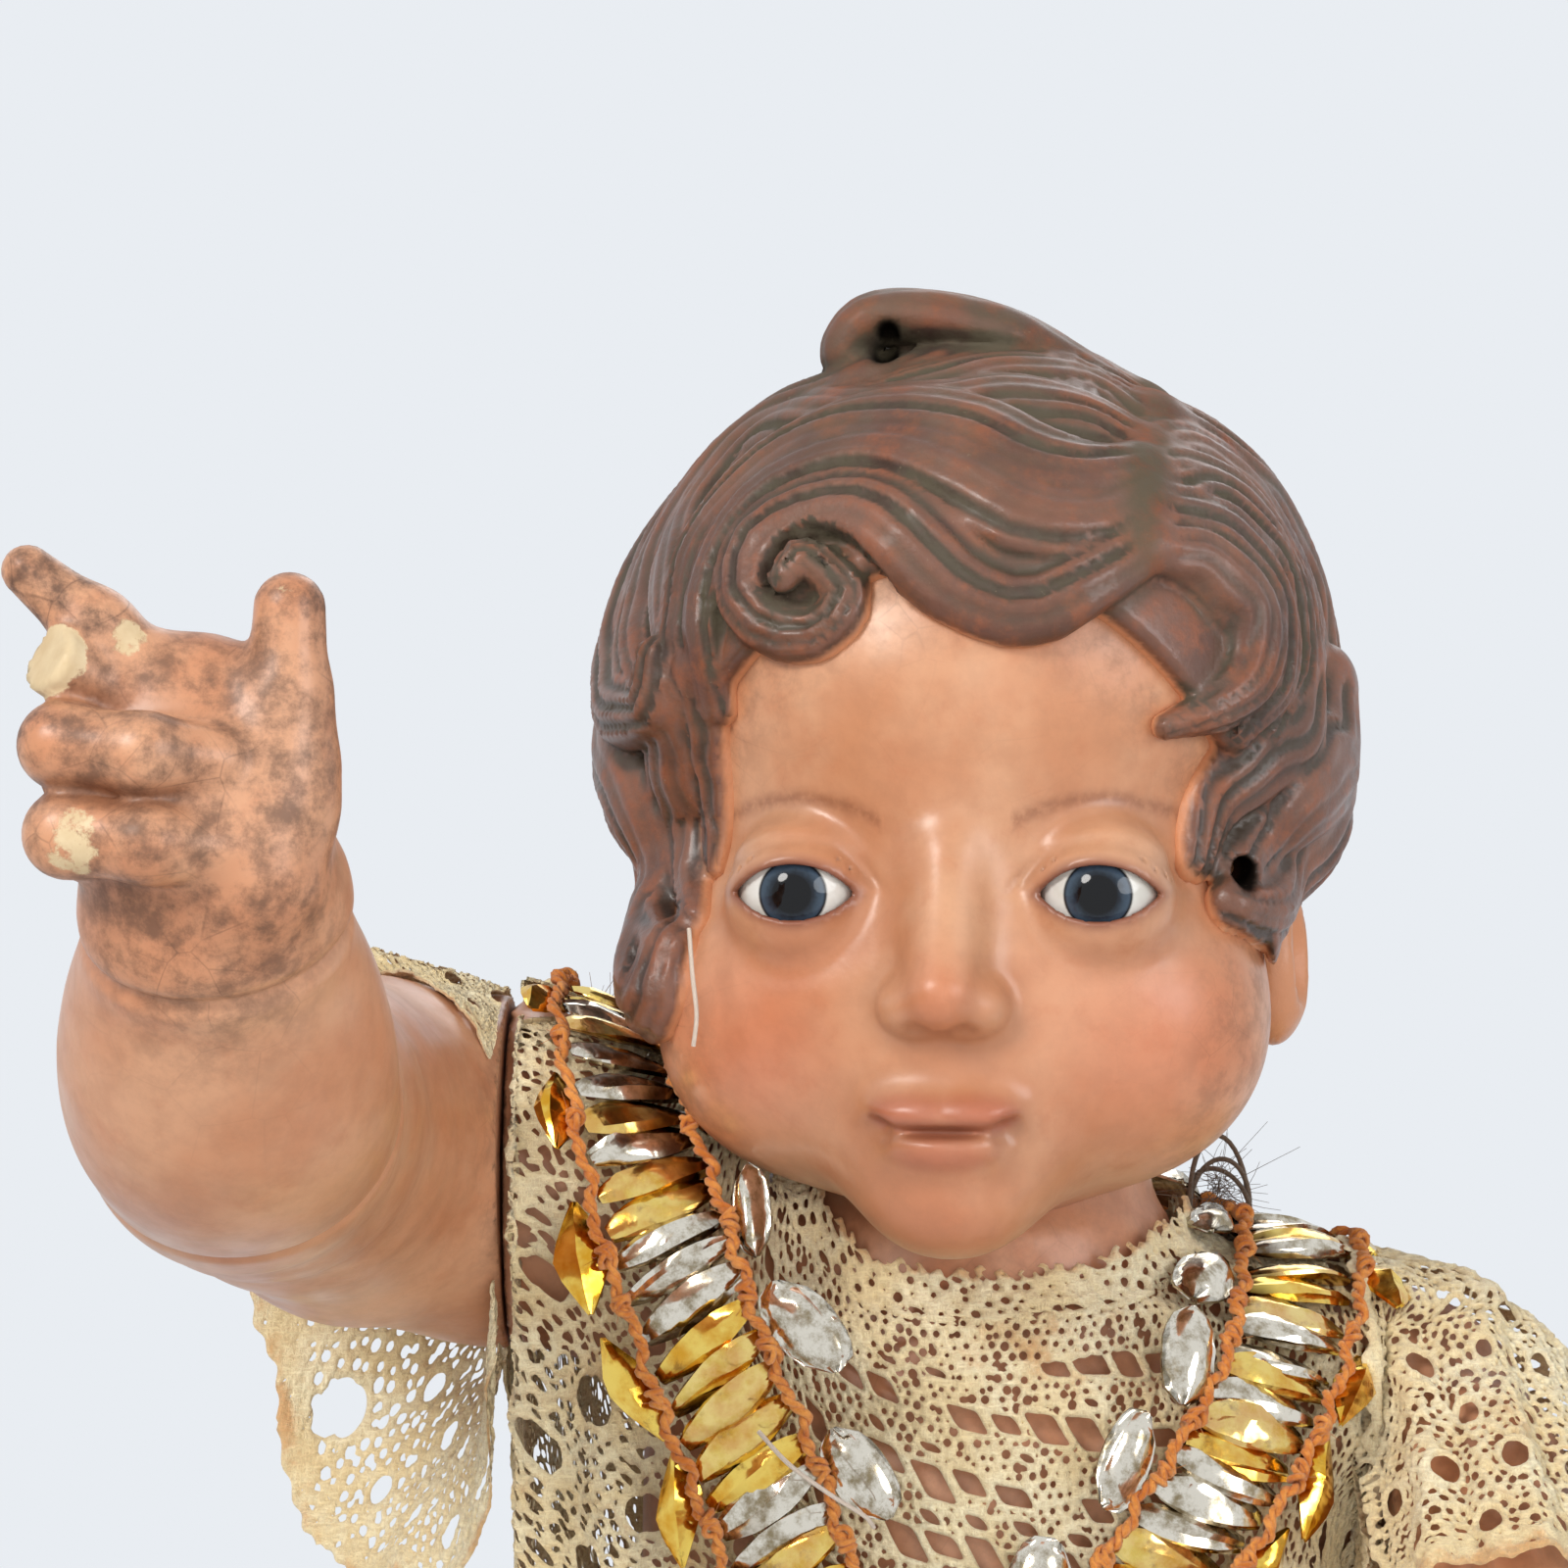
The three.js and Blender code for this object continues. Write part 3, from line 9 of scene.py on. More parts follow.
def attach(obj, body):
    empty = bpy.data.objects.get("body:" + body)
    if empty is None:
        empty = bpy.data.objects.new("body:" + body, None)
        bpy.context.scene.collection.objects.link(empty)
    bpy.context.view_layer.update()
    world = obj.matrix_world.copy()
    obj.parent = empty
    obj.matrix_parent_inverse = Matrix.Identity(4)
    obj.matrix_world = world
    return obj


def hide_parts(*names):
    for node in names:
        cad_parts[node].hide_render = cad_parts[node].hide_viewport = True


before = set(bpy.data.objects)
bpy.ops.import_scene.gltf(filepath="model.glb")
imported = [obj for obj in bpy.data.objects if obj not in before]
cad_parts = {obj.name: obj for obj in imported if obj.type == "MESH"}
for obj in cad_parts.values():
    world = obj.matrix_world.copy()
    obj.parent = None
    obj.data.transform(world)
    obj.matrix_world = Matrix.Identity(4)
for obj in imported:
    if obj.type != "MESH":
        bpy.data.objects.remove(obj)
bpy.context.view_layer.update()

MM = 0.001
TURN = 2 * math.pi
FAR = 9.0  # a distance that stands for "nothing near" in a plan of lace
rng = np.random.default_rng(11)


def v3(*p):
    return np.array(p, float)


# Sizes repeated from the CAD source, in millimetres
FIT = 0.3
BASE_HEIGHT = 28.0
TRUNK_Y, NECK_Y = 2.0, 4.0
NECK_RADIUS, NECK_TOP = 18.5, 384.0
LEVELS = np.array([[204, 30, 26], [250, 39, 33], [300, 37.5, 35], [332, 36.5, 30], [352, 36, 26], [376, 18, 16.5]])
RIGHT_SHOULDER, LEFT_SHOULDER = v3(-50, 0, 380), v3(42, 4, 354)
RIGHT_R, LEFT_R = 18.5, 14.0
GIRDLE_FALL = 0.5
HEM, SKIRT = (84.0, 62.0, 55.0), (200.0, 52.0, 46.0)
FOLDS, FOLD_DEPTH = 8, 4.2
NECKLINE = NECK_RADIUS + 1.6 + 5.0
HEAD_CENTRE = v3(0, 2, 424)
HEAD_TURN = math.radians(-7.5)


# Numbers
def length(v):
    return np.sqrt(np.einsum("...i,...i->...", v, v))


def unit(v):
    return v / np.maximum(length(v), 1e-9)[..., None]


def mix(a, b, t):
    return a + (b - a) * t


def step01(x, lo, hi):
    t = np.clip((x - lo) / (hi - lo), 0, 1)
    return t * t * (3 - 2 * t)


def bell(x, power=2):
    return np.exp(-x ** power)


def hash01(n, seed=0):
    return (np.sin(np.asarray(n, float) * 12.9898 + seed * 78.233) * 43758.5453) % 1.0


def wobble(p, scale, seed=0):
    """Smooth noise between -1 and 1 from a few crossed waves, at about this wavelength."""
    out = np.zeros(len(p))
    r = np.random.default_rng(seed)
    for _ in range(6):
        k = unit(r.normal(size=3)) * TURN / (scale * r.uniform(0.6, 1.5))
        out += np.sin(p @ k + r.uniform(0, 7))
    return out / 3.2


def bisect(beyond, lo, hi, count, rounds):
    """Ends of the small span, in each of several rows, where a test turns true between lo and hi."""
    lo, hi = np.full(count, lo), np.full(count, hi)
    for _ in range(rounds):
        m = (lo + hi) / 2
        out = beyond(m)
        hi, lo = np.where(out, m, hi), np.where(out, lo, m)
    return lo, hi


# Lines of points
def run_along(points, axis=0):
    """Length along lines of points, from 0 at their start."""
    steps = length(np.diff(points, axis=axis))
    return np.concatenate([np.zeros_like(np.take(steps, [0], axis)), np.cumsum(steps, axis)], axis)


def at_run(want, run, points):
    return np.stack([np.interp(want, run, points[:, k]) for k in range(points.shape[1])], 1)


def span(a, b, c, d, count):
    """Catmull-Rom points from b up to c."""
    t = np.linspace(0, 1, count, endpoint=False)[:, None]
    return 0.5 * (2 * b + (c - a) * t + (2 * a - 5 * b + 4 * c - d) * t ** 2 + (3 * b - a - 3 * c + d) * t ** 3)


def spline(points, count):
    """A smooth line through points, at even shares of its length."""
    p = np.asarray(points, float)
    p = np.concatenate([[2 * p[0] - p[1]], p, [2 * p[-1] - p[-2]]])
    curve = np.concatenate([span(*p[i:i + 4], 16) for i in range(len(p) - 3)] + [p[-2:-1]])
    run = run_along(curve)
    return at_run(np.linspace(0, run[-1], count), run, curve)


def closed_spline(points, count):
    """A smooth ring through points, at even shares of its length, and that length."""
    p = np.asarray(points, float)
    ring = np.concatenate([span(*np.roll(p, 1 - i, 0)[:4], 24) for i in range(len(p))])
    ring = np.concatenate([ring, ring[:1]])
    run = run_along(ring)
    return at_run(np.linspace(0, run[-1], count, endpoint=False), run, ring), run[-1]


# Distance fields
def smin(a, b, k):
    h = np.maximum(k - np.abs(a - b), 0) / k
    return np.minimum(a, b) - h * h * k * 0.25


def smax(a, b, k):
    return -smin(-a, -b, k)


def ovoid(p, at, size):
    q = (p - at) / size
    o = length(q)
    return o * (o - 1) / np.maximum(length(q / size), 1e-6)


def oval(x, y, a, b):
    """Distance to an upright elliptical column."""
    o = np.sqrt((x / a) ** 2 + (y / b) ** 2)
    g = np.sqrt((x / a ** 2) ** 2 + (y / b ** 2) ** 2)
    return np.where(g > 1e-6, o * (o - 1) / np.maximum(g, 1e-6), -np.minimum(a, b))


def taper(p, a, b, ra, rb):
    w = b - a
    t = np.clip((p - a) @ w / (w @ w), 0, 1)
    return length(p - a - t[:, None] * w) - (ra + (rb - ra) * t)


def chain(p, points, radii, k):
    """Tapers from point to point, blended where they meet."""
    d = taper(p, points[0], points[1], radii[0], radii[1])
    for i in range(1, len(points) - 1):
        d = smin(d, taper(p, points[i], points[i + 1], radii[i], radii[i + 1]), k)
    return d


def batch(field, p, size=200000):
    return np.concatenate([field(p[i:i + size]) for i in range(0, len(p), size)])


def slope(field, p, eps):
    grad = np.zeros_like(p)
    for axis in range(3):
        e = np.zeros(3)
        e[axis] = eps
        grad[:, axis] = (batch(field, p + e) - batch(field, p - e)) / (2 * eps)
    return batch(field, p), grad


def hollows(field, p, reach, eps=0.3):
    """How closed in each surface point is, from 0 in the open to 1 in a deep groove."""
    _, grad = slope(field, p, eps)
    return np.clip(1 - batch(field, p + unit(grad) * reach) / reach, 0, 1)


# Skins of distance fields, worked only in blocks of cells that the surface crosses
def lattice(counts):
    return np.stack(np.meshgrid(*[np.arange(n) for n in counts], indexing="ij"), -1).reshape(-1, 3)


BLOCK = 8  # cells along a block's side
CORNERS = lattice([2, 2, 2])


def crossed_blocks(field, low, high, step):
    """Blocks that the surface may cross, and the field at their grid points."""
    side = step * BLOCK
    blocks = lattice(np.ceil((high - low) / side).astype(int))
    blocks = blocks[np.abs(batch(field, low + (blocks + 0.5) * side)) < side * 1.2]
    points = low + (blocks[:, None] * BLOCK + lattice([BLOCK + 1] * 3)[None]) * step
    return blocks, batch(field, points.reshape(-1, 3)).reshape(len(blocks), *[BLOCK + 1] * 3)


def cell_points(blocks, values):
    """Each crossed cell, and the mean place of the crossings on its edges."""
    stack = np.stack([values[:, i:i + BLOCK, j:j + BLOCK, k:k + BLOCK] for i, j, k in CORNERS], -1)
    count = (stack < 0).sum(-1)
    b, x, y, z = np.nonzero((count > 0) & (count < 8))
    v = stack[b, x, y, z]
    total, hits = np.zeros((len(v), 3)), np.zeros(len(v))
    for a in range(8):
        for axis, bit in enumerate((4, 2, 1)):
            if a & bit:
                continue
            va, vb = v[:, a], v[:, a | bit]
            cross = (va < 0) != (vb < 0)
            spot = np.tile(CORNERS[a].astype(float), (len(v), 1))
            spot[:, axis] += np.where(cross, va / np.where(cross, va - vb, 1), 0)
            total += spot * cross[:, None]
            hits += cross
    return blocks[b] * BLOCK + np.stack([x, y, z], -1), total / hits[:, None]


def cell_quads(blocks, values, cells):
    """A quad of neighbouring cells round each grid edge that the surface crosses."""
    big = int(cells.max()) + 8

    def key(c):
        return (c[:, 0] * big + c[:, 1]) * big + c[:, 2]

    order = np.argsort(key(cells))
    keys = key(cells)[order]
    quads = []
    for axis in range(3):
        here = values[:, :BLOCK, :BLOCK, :BLOCK]
        cut = [slice(1, BLOCK + 1) if d == axis else slice(0, BLOCK) for d in range(3)]
        b, x, y, z = np.nonzero((here < 0) != (values[(slice(None), *cut)] < 0))
        edge = blocks[b] * BLOCK + np.stack([x, y, z], -1)
        ids = []
        for du, dw in ((-1, -1), (0, -1), (0, 0), (-1, 0)):
            cell = edge.copy()
            cell[:, (axis + 1) % 3] += du
            cell[:, (axis + 2) % 3] += dw
            spot = np.clip(np.searchsorted(keys, key(cell)), 0, len(keys) - 1)
            ids.append(np.where(keys[spot] == key(cell), order[spot], -1))
        quad = np.stack(ids, -1)
        turned = here[b, x, y, z] >= 0
        quad[turned] = quad[turned][:, ::-1]
        quads.append(quad[(quad >= 0).all(1)])
    return np.concatenate(quads)


def sculpt(field, low, high, step):
    """A quad skin on the zero level of a distance field, moved onto it by two Newton steps."""
    low, high = np.asarray(low, float), np.asarray(high, float)
    blocks, values = crossed_blocks(field, low, high, step)
    cells, inside = cell_points(blocks, values)
    quads = cell_quads(blocks, values, cells)
    verts = low + (cells + inside) * step
    for _ in range(2):
        d, grad = slope(field, verts, step * 0.4)
        shift = d[:, None] * grad / np.maximum((grad * grad).sum(1), 0.2)[:, None]
        verts = verts - shift * np.minimum(1, step * 0.8 / np.maximum(length(shift), 1e-9))[:, None]
    return verts, quads


# Meshes
def make(name, verts, faces, material, smooth=True, values=None):
    """A mesh object from places in millimetres, with a named value at each point."""
    mesh = bpy.data.meshes.new(name)
    faces = np.asarray(faces, np.int32)
    mesh.vertices.add(len(verts))
    mesh.vertices.foreach_set("co", (np.asarray(verts) * MM).astype(np.float32).ravel())
    mesh.loops.add(faces.size)
    mesh.loops.foreach_set("vertex_index", faces.ravel())
    mesh.polygons.add(len(faces))
    mesh.polygons.foreach_set("loop_start", np.arange(0, faces.size, faces.shape[1], dtype=np.int32))
    mesh.polygons.foreach_set("use_smooth", np.full(len(faces), smooth))
    for key, one in (values or {}).items():
        layer = mesh.attributes.new(key, "FLOAT", "POINT")
        layer.data.foreach_set("value", np.asarray(one, np.float32))
    mesh.update(calc_edges=True)
    mesh.validate()
    obj = bpy.data.objects.new(name, mesh)
    bpy.context.scene.collection.objects.link(obj)
    obj.data.materials.append(material)
    return obj


def put(obj, body, slot, *nodes):
    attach(obj, body)
    if nodes:
        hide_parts(*nodes)


def band(rows, sides, closed=False):
    """Quads between rings of points, each ring closed in itself."""
    i, j = np.meshgrid(np.arange(rows if closed else rows - 1), np.arange(sides), indexing="ij")
    k, l = (i + 1) % rows, (j + 1) % sides
    return np.stack([i * sides + j, i * sides + l, k * sides + l, k * sides + j], -1).reshape(-1, 4)


def sharpen(obj, degrees):
    obj.data.set_sharp_from_angle(angle=math.radians(degrees))


# Materials
class Shader:
    """A material's node tree, with positions in millimetres."""

    def __init__(self, name):
        self.material = bpy.data.materials.new(name)
        self.material.use_nodes = True
        self.tree = self.material.node_tree
        self.tree.nodes.clear()
        self.bsdf = self.new("ShaderNodeBsdfPrincipled")
        self.out = self.new("ShaderNodeOutputMaterial")
        self.join(self.bsdf.outputs[0], self.out.inputs[0])
        self.place = self.new("ShaderNodeMapping")
        self.place.inputs["Scale"].default_value = (1 / MM, 1 / MM, 1 / MM)
        self.join(self.new("ShaderNodeTexCoord").outputs["Object"], self.place.inputs[0])

    def new(self, kind):
        return self.tree.nodes.new(kind)

    def join(self, a, b):
        self.tree.links.new(a, b)

    def value(self, socket, v):
        if isinstance(v, (int, float)):
            socket.default_value = v
        elif isinstance(v, tuple):
            socket.default_value = (*v, 1.0)[:len(socket.default_value)]
        else:
            self.join(v, socket)

    def noise(self, size, detail=4, rough=0.55, warp=0.0, stretch=None):
        n = self.new("ShaderNodeTexNoise")
        for key, v in (("Scale", 1.0 / size), ("Detail", detail), ("Roughness", rough), ("Distortion", warp)):
            n.inputs[key].default_value = v
        where = self.place.outputs[0]
        if stretch:
            m = self.new("ShaderNodeMapping")
            m.inputs["Scale"].default_value = stretch
            self.join(where, m.inputs[0])
            where = m.outputs[0]
        self.join(where, n.inputs["Vector"])
        return n.outputs["Fac"]

    def cells(self, size):
        n = self.new("ShaderNodeTexVoronoi")
        n.feature = "DISTANCE_TO_EDGE"
        n.inputs["Scale"].default_value = 1.0 / size
        self.join(self.place.outputs[0], n.inputs["Vector"])
        return n.outputs["Distance"]

    def attr(self, name):
        n = self.new("ShaderNodeAttribute")
        n.attribute_name = name
        return n.outputs["Fac"]

    def math(self, op, a, b):
        n = self.new("ShaderNodeMath")
        n.operation = op
        self.value(n.inputs[0], a)
        self.value(n.inputs[1], b)
        return n.outputs[0]

    def times(self, a, b):
        return self.math("MULTIPLY", a, b)

    def plus(self, a, b):
        return self.math("ADD", a, b)

    def ramp(self, x, lo, hi, a=0.0, b=1.0):
        n = self.new("ShaderNodeMapRange")
        n.interpolation_type = "SMOOTHSTEP"
        for key, v in (("Value", x), ("From Min", lo), ("From Max", hi), ("To Min", a), ("To Max", b)):
            self.value(n.inputs[key], v)
        return n.outputs[0]

    def blend(self, t, a, b):
        n = self.new("ShaderNodeMix")
        n.data_type = "RGBA"
        for key, v in (("Factor", t), ("A", a), ("B", b)):
            self.value(n.inputs[key], v)
        return n.outputs["Result"]

    def mottle(self, size, detail, a, b):
        """Two colours in soft patches of about this size."""
        return self.blend(self.ramp(self.noise(size, detail), 0.35, 0.65), a, b)

    def bump(self, height, strength, distance):
        n = self.new("ShaderNodeBump")
        n.inputs["Strength"].default_value = strength
        n.inputs["Distance"].default_value = distance * MM
        self.join(height, n.inputs["Height"])
        self.join(n.outputs[0], self.bsdf.inputs["Normal"])

    def set(self, **values):
        for key, v in values.items():
            self.value(self.bsdf.inputs[key.replace("_", " ")], v)
        return self.material


def rgb(r, g, b):
    """A colour written as seen, turned into the linear values that shaders use."""
    return tuple(((c / 255 + 0.055) / 1.055) ** 2.4 if c > 10 else c / 255 / 12.92 for c in (r, g, b))


def flesh_material():
    s = Shader("flesh_paint")
    tone = s.mottle(16, 4, rgb(198, 137, 99), rgb(212, 160, 124))
    tone = s.blend(s.ramp(s.noise(5, 6, 0.65), 0.5, 0.75, 0, 0.45), tone, rgb(190, 122, 84))
    brow = s.times(s.attr("brow"), s.ramp(s.noise(1.1, 4), 0.3, 0.6, 0.25, 0.6))
    tone = s.blend(brow, tone, rgb(128, 76, 50))
    for name, cover, colour in (("blush", 0.55, (200, 104, 70)), ("lips", 0.75, (176, 92, 68)),
                                ("rim", 0.85, (112, 50, 32))):
        tone = s.blend(s.times(s.attr(name), cover), tone, rgb(*colour))
    dirt = s.times(s.attr("grime"), s.ramp(s.noise(3.5, 8, 0.7), 0.38, 0.66))
    tone = s.blend(s.times(dirt, 0.85), tone, rgb(72, 52, 42))
    # Painted shade: hollows and creases of the face and limbs are darkened to a deeper flesh brown
    tone = s.blend(s.times(s.attr("painted_hollow_shade"), 0.6), tone, rgb(112, 68, 46))
    crack = s.times(s.ramp(s.cells(5.5), 0.0, 0.02, 1, 0), s.ramp(s.noise(12, 3), 0.45, 0.6))
    tone = s.blend(s.times(crack, s.times(s.attr("grime"), 0.4)), tone, rgb(70, 42, 30))
    chip = s.ramp(s.plus(s.attr("chip"), s.times(s.noise(1.6, 5, 0.7), 0.5)), 0.72, 0.8)
    tone = s.blend(chip, tone, s.blend(s.noise(2.2), rgb(196, 166, 122), rgb(232, 214, 178)))
    seam = s.ramp(s.plus(s.attr("seam"), s.times(s.noise(1.8, 6, 0.75), 0.6)), 0.78, 0.92)
    tone = s.blend(s.times(seam, 0.8), tone, rgb(62, 40, 30))
    height = s.plus(s.times(s.noise(0.9, 4), 0.25), s.times(s.noise(7, 3), 0.6))
    s.bump(s.math("SUBTRACT", height, s.times(chip, 0.8)), 0.35, 0.35)
    gloss = s.plus(s.ramp(s.noise(6, 5), 0.3, 0.7, 0.3, 0.46), s.times(dirt, 0.3))
    return s.set(Base_Color=tone, Roughness=s.plus(gloss, s.times(chip, 0.35)),
                 Coat_Weight=0.22, Coat_Roughness=0.3, Specular_IOR_Level=0.45)


def hair_material():
    s = Shader("hair_paint")
    tone = s.mottle(11, 5, rgb(94, 58, 43), rgb(122, 80, 61))
    worn = s.times(s.ramp(s.noise(5, 6, 0.7), 0.45, 0.66, 0, 0.7), s.attr("ridge"))
    tone = s.blend(worn, tone, rgb(146, 82, 50))
    # Painted shade: grooves between strands and locks are darkened to near black-brown
    tone = s.blend(s.times(s.ramp(s.attr("groove"), 0.12, 0.7), 0.88), tone, rgb(52, 40, 33))
    dust = s.times(s.attr("dust"), s.ramp(s.noise(7, 6, 0.65), 0.3, 0.6))
    tone = s.blend(s.times(dust, 0.85), tone, rgb(84, 77, 60))
    tone = s.blend(s.attr("skin"), tone, rgb(204, 140, 100))
    # Painted shade: the inside of each bored hole is painted near black
    tone = s.blend(s.attr("hole"), tone, rgb(12, 9, 8))
    tone = s.blend(s.ramp(s.noise(0.8, 3, 0.6), 0.7, 0.76, 0, 0.3), tone, rgb(150, 132, 108))
    s.bump(s.plus(s.noise(1.1, 6, 0.65), s.times(s.noise(5, 3), 0.8)), 0.3, 0.4)
    gloss = s.plus(s.ramp(s.noise(5, 5), 0.35, 0.7, 0.32, 0.48), s.times(s.attr("dust"), 0.4))
    clean = s.math("SUBTRACT", 1.0, s.math("MAXIMUM", s.attr("hole"), s.attr("dust")))
    shine = s.times(s.math("SUBTRACT", 1.0, s.attr("hole")), 0.45)
    return s.set(Base_Color=tone, Roughness=s.plus(gloss, s.times(s.attr("hole"), 0.6)),
                 Coat_Weight=s.times(clean, s.ramp(s.noise(8, 4), 0.4, 0.6, 0.15, 0.45)),
                 Coat_Roughness=0.22, Specular_IOR_Level=shine)


def eye_material():
    """Rings of colour by the angle from the pupil's middle."""
    s = Shader("eye_glass")
    turn = s.attr("turn")
    streaked = s.plus(turn, s.times(s.noise(0.5, 3, 0.6), 0.1))
    iris = s.blend(s.ramp(streaked, 0.34, 0.52), rgb(20, 26, 34), rgb(58, 74, 90))
    iris = s.blend(s.ramp(turn, 0.47, 0.52), iris, rgb(18, 20, 24))
    white = s.blend(s.ramp(s.noise(4, 4), 0.3, 0.7), rgb(206, 204, 196), rgb(226, 226, 222))
    # Painted shade: the white darkens and warms away from the pupil, into the corners under the lids
    white = s.blend(s.ramp(turn, 0.75, 1.1), white, rgb(168, 140, 124))
    tone = s.blend(s.ramp(turn, 0.515, 0.56), iris, white)
    tone = s.blend(s.ramp(turn, 0.27, 0.31, 1, 0), tone, rgb(5, 5, 7))
    return s.set(Base_Color=tone, Roughness=0.08, Coat_Weight=0.25, Coat_Roughness=0.02, Specular_IOR_Level=0.25)


def wood_material(name, light, dark, gloss, grain):
    s = Shader(name)
    lines = s.noise(1.4, 6, 0.6, 0.6, grain)
    tone = s.blend(s.ramp(lines, 0.35, 0.65), dark, light)
    tone = s.blend(s.ramp(s.noise(14, 5, 0.6), 0.45, 0.7, 0, 0.6), tone, dark)
    tone = s.blend(s.ramp(s.noise(2.4, 7, 0.75), 0.66, 0.76), tone, rgb(150, 110, 70))
    s.bump(s.plus(lines, s.times(s.noise(9, 3), 0.5)), 0.3, 0.4)
    rough = s.ramp(s.noise(7, 5), 0.3, 0.7, gloss, gloss + 0.2)
    return s.set(Base_Color=tone, Roughness=rough, Coat_Weight=0.15, Coat_Roughness=0.25)


def wax_material():
    s = Shader("bedding_wax")
    tone = s.mottle(4, 5, rgb(120, 92, 58), rgb(150, 118, 76))
    s.bump(s.noise(2, 5), 0.4, 0.5)
    return s.set(Base_Color=tone, Roughness=s.ramp(s.noise(3), 0.3, 0.7, 0.5, 0.7))


def lace_material():
    s = Shader("aged_lace")
    tone = s.mottle(9, 4, rgb(248, 228, 180), rgb(255, 244, 208))
    stain = s.plus(s.attr("stain"), s.times(s.noise(3.2, 5, 0.7), 0.75))
    tone = s.blend(s.ramp(stain, 0.52, 0.8, 0, 0.8), tone, rgb(222, 164, 104))
    # Painted shade: a thin darker rim round every hole and edge of the lace
    tone = s.blend(s.ramp(s.attr("thick"), 0.0, 0.2, 0.2, 0), tone, rgb(214, 186, 138))
    across = s.noise(0.26, 4, 0.65, 0.8, (1.0, 1.0, 0.2))
    along = s.noise(0.28, 4, 0.65, 0.8, (0.2, 0.2, 1.0))
    fibre = s.math("MAXIMUM", across, along)
    tone = s.blend(s.ramp(fibre, 0.46, 0.6, 0.4, 0), tone, rgb(208, 178, 128))
    s.bump(s.plus(s.times(fibre, 1.6), s.noise(0.7, 3, 0.6, 0.8)), 0.8, 0.3)
    return s.set(Base_Color=tone, Roughness=0.92, Specular_IOR_Level=0.15, Sheen_Weight=0.3, Sheen_Roughness=0.5)


def thread_material():
    s = Shader("orange_thread")
    tone = s.blend(s.ramp(s.noise(2.4, 5, 0.7), 0.35, 0.65), rgb(206, 116, 42), rgb(238, 160, 80))
    tone = s.blend(s.ramp(s.noise(0.5, 4, 0.7), 0.5, 0.75, 0, 0.5), tone, rgb(176, 90, 34))
    tone = s.blend(s.attr("dark"), tone, s.blend(s.noise(1.2, 4), rgb(78, 60, 48), rgb(126, 106, 88)))
    tone = s.blend(s.attr("pale"), tone, rgb(222, 206, 190))
    s.bump(s.noise(0.25, 4, 0.7, 1.0), 0.8, 0.25)
    return s.set(Base_Color=tone, Roughness=0.85, Specular_IOR_Level=0.2, Sheen_Weight=0.3)


def foil_material():
    """Gold foil, and silver where a piece says so."""
    s = Shader("gold_foil")
    tone = s.blend(s.ramp(s.noise(3.5, 4), 0.36, 0.64), rgb(224, 164, 44), rgb(246, 212, 104))
    tone = s.blend(s.ramp(s.noise(2.6, 5, 0.65), 0.55, 0.75, 0, 0.8), tone, rgb(140, 92, 26))
    silver = s.blend(s.ramp(s.noise(2.2, 6, 0.7), 0.4, 0.68), rgb(232, 224, 208), rgb(150, 134, 104))
    tone = s.blend(s.attr("silver"), tone, silver)
    # Painted shade: the underside of each foil roll, towards the cloth, is darkened to deep brown
    tone = s.blend(s.times(s.attr("deep"), 0.85), tone, rgb(70, 44, 16))
    s.bump(s.noise(3.4, 2, 0.4, 0.6), 0.25, 0.5)
    return s.set(Base_Color=tone, Metallic=1.0, Roughness=s.ramp(s.noise(2.2, 5, 0.65), 0.4, 0.75, 0.1, 0.3))


FLESH, HAIR, EYE_GLASS, WAX = flesh_material(), hair_material(), eye_material(), wax_material()
BARE_WOOD = wood_material("bare_wood", rgb(196, 160, 112), rgb(160, 118, 74), 0.6, (0.25, 0.25, 0.03))
BASE_WOOD = wood_material("base_wood", rgb(96, 60, 42), rgb(62, 36, 26), 0.3, (0.3, 0.3, 0.9))
LACE, THREAD, FOIL = lace_material(), thread_material(), foil_material()


# Head, in its own frame: x to the figure's left, y to the back, z up
def from_head(q):
    c, s = math.cos(HEAD_TURN), math.sin(HEAD_TURN)
    return np.stack([q[:, 0] * c - q[:, 1] * s, q[:, 0] * s + q[:, 1] * c, q[:, 2]], 1) + HEAD_CENTRE


def to_head(p):
    q = p - HEAD_CENTRE
    c, s = math.cos(HEAD_TURN), math.sin(HEAD_TURN)
    return np.stack([q[:, 0] * c + q[:, 1] * s, -q[:, 0] * s + q[:, 1] * c, q[:, 2]], 1)


EYE, EYE_R, LID = v3(15, -34.6, -13), 6.6, 1.0
EYE_WIDE, EYE_UP, EYE_LOW = 5.9, 2.9, 2.6  # the opening's half width and its heights
UPPER_LIP = v3(2.3, -41.5, -34.4), v3(4.7, 2.9, 1.8)
LOWER_LIP = v3(0, -41.1, -37.8), v3(5.0, 3.2, 2.1)
SKIN_BLEND, FEATURE = 7.0, 2.2
HAIR_DEPTH = 2.5
HAIRLINE_WIDE, HAIRLINE_Z = 29.0, -19.0
FACE_BACK = -12.0


def half(q):
    """Places folded onto the head's left half."""
    p = np.array(q, float)
    p[:, 0] = np.abs(p[:, 0])
    return p


def skull(p):
    d = smin(ovoid(p, v3(0, 4, 4.5), v3(33, 42, 36)), ovoid(p, v3(0, -12, 8), v3(30, 29, 25)), SKIN_BLEND)
    d = smin(d, ovoid(p, v3(0, -11, -20), v3(30, 31, 28)), SKIN_BLEND)
    return smin(d, ovoid(p, v3(16.5, -22, -27), v3(14.5, 15, 14.5)), SKIN_BLEND)


def lid_slit(p):
    """Distance to the almond of the eye's opening, as seen from the front."""
    x, z = p[:, 0] - EYE[0], p[:, 2] - EYE[2]
    up, low = ((EYE_WIDE ** 2 + h ** 2) / (2 * h) for h in (EYE_UP, EYE_LOW))
    return np.maximum(np.hypot(x, z - (EYE_UP - up)) - up, np.hypot(x, z + (EYE_LOW - low)) - low)


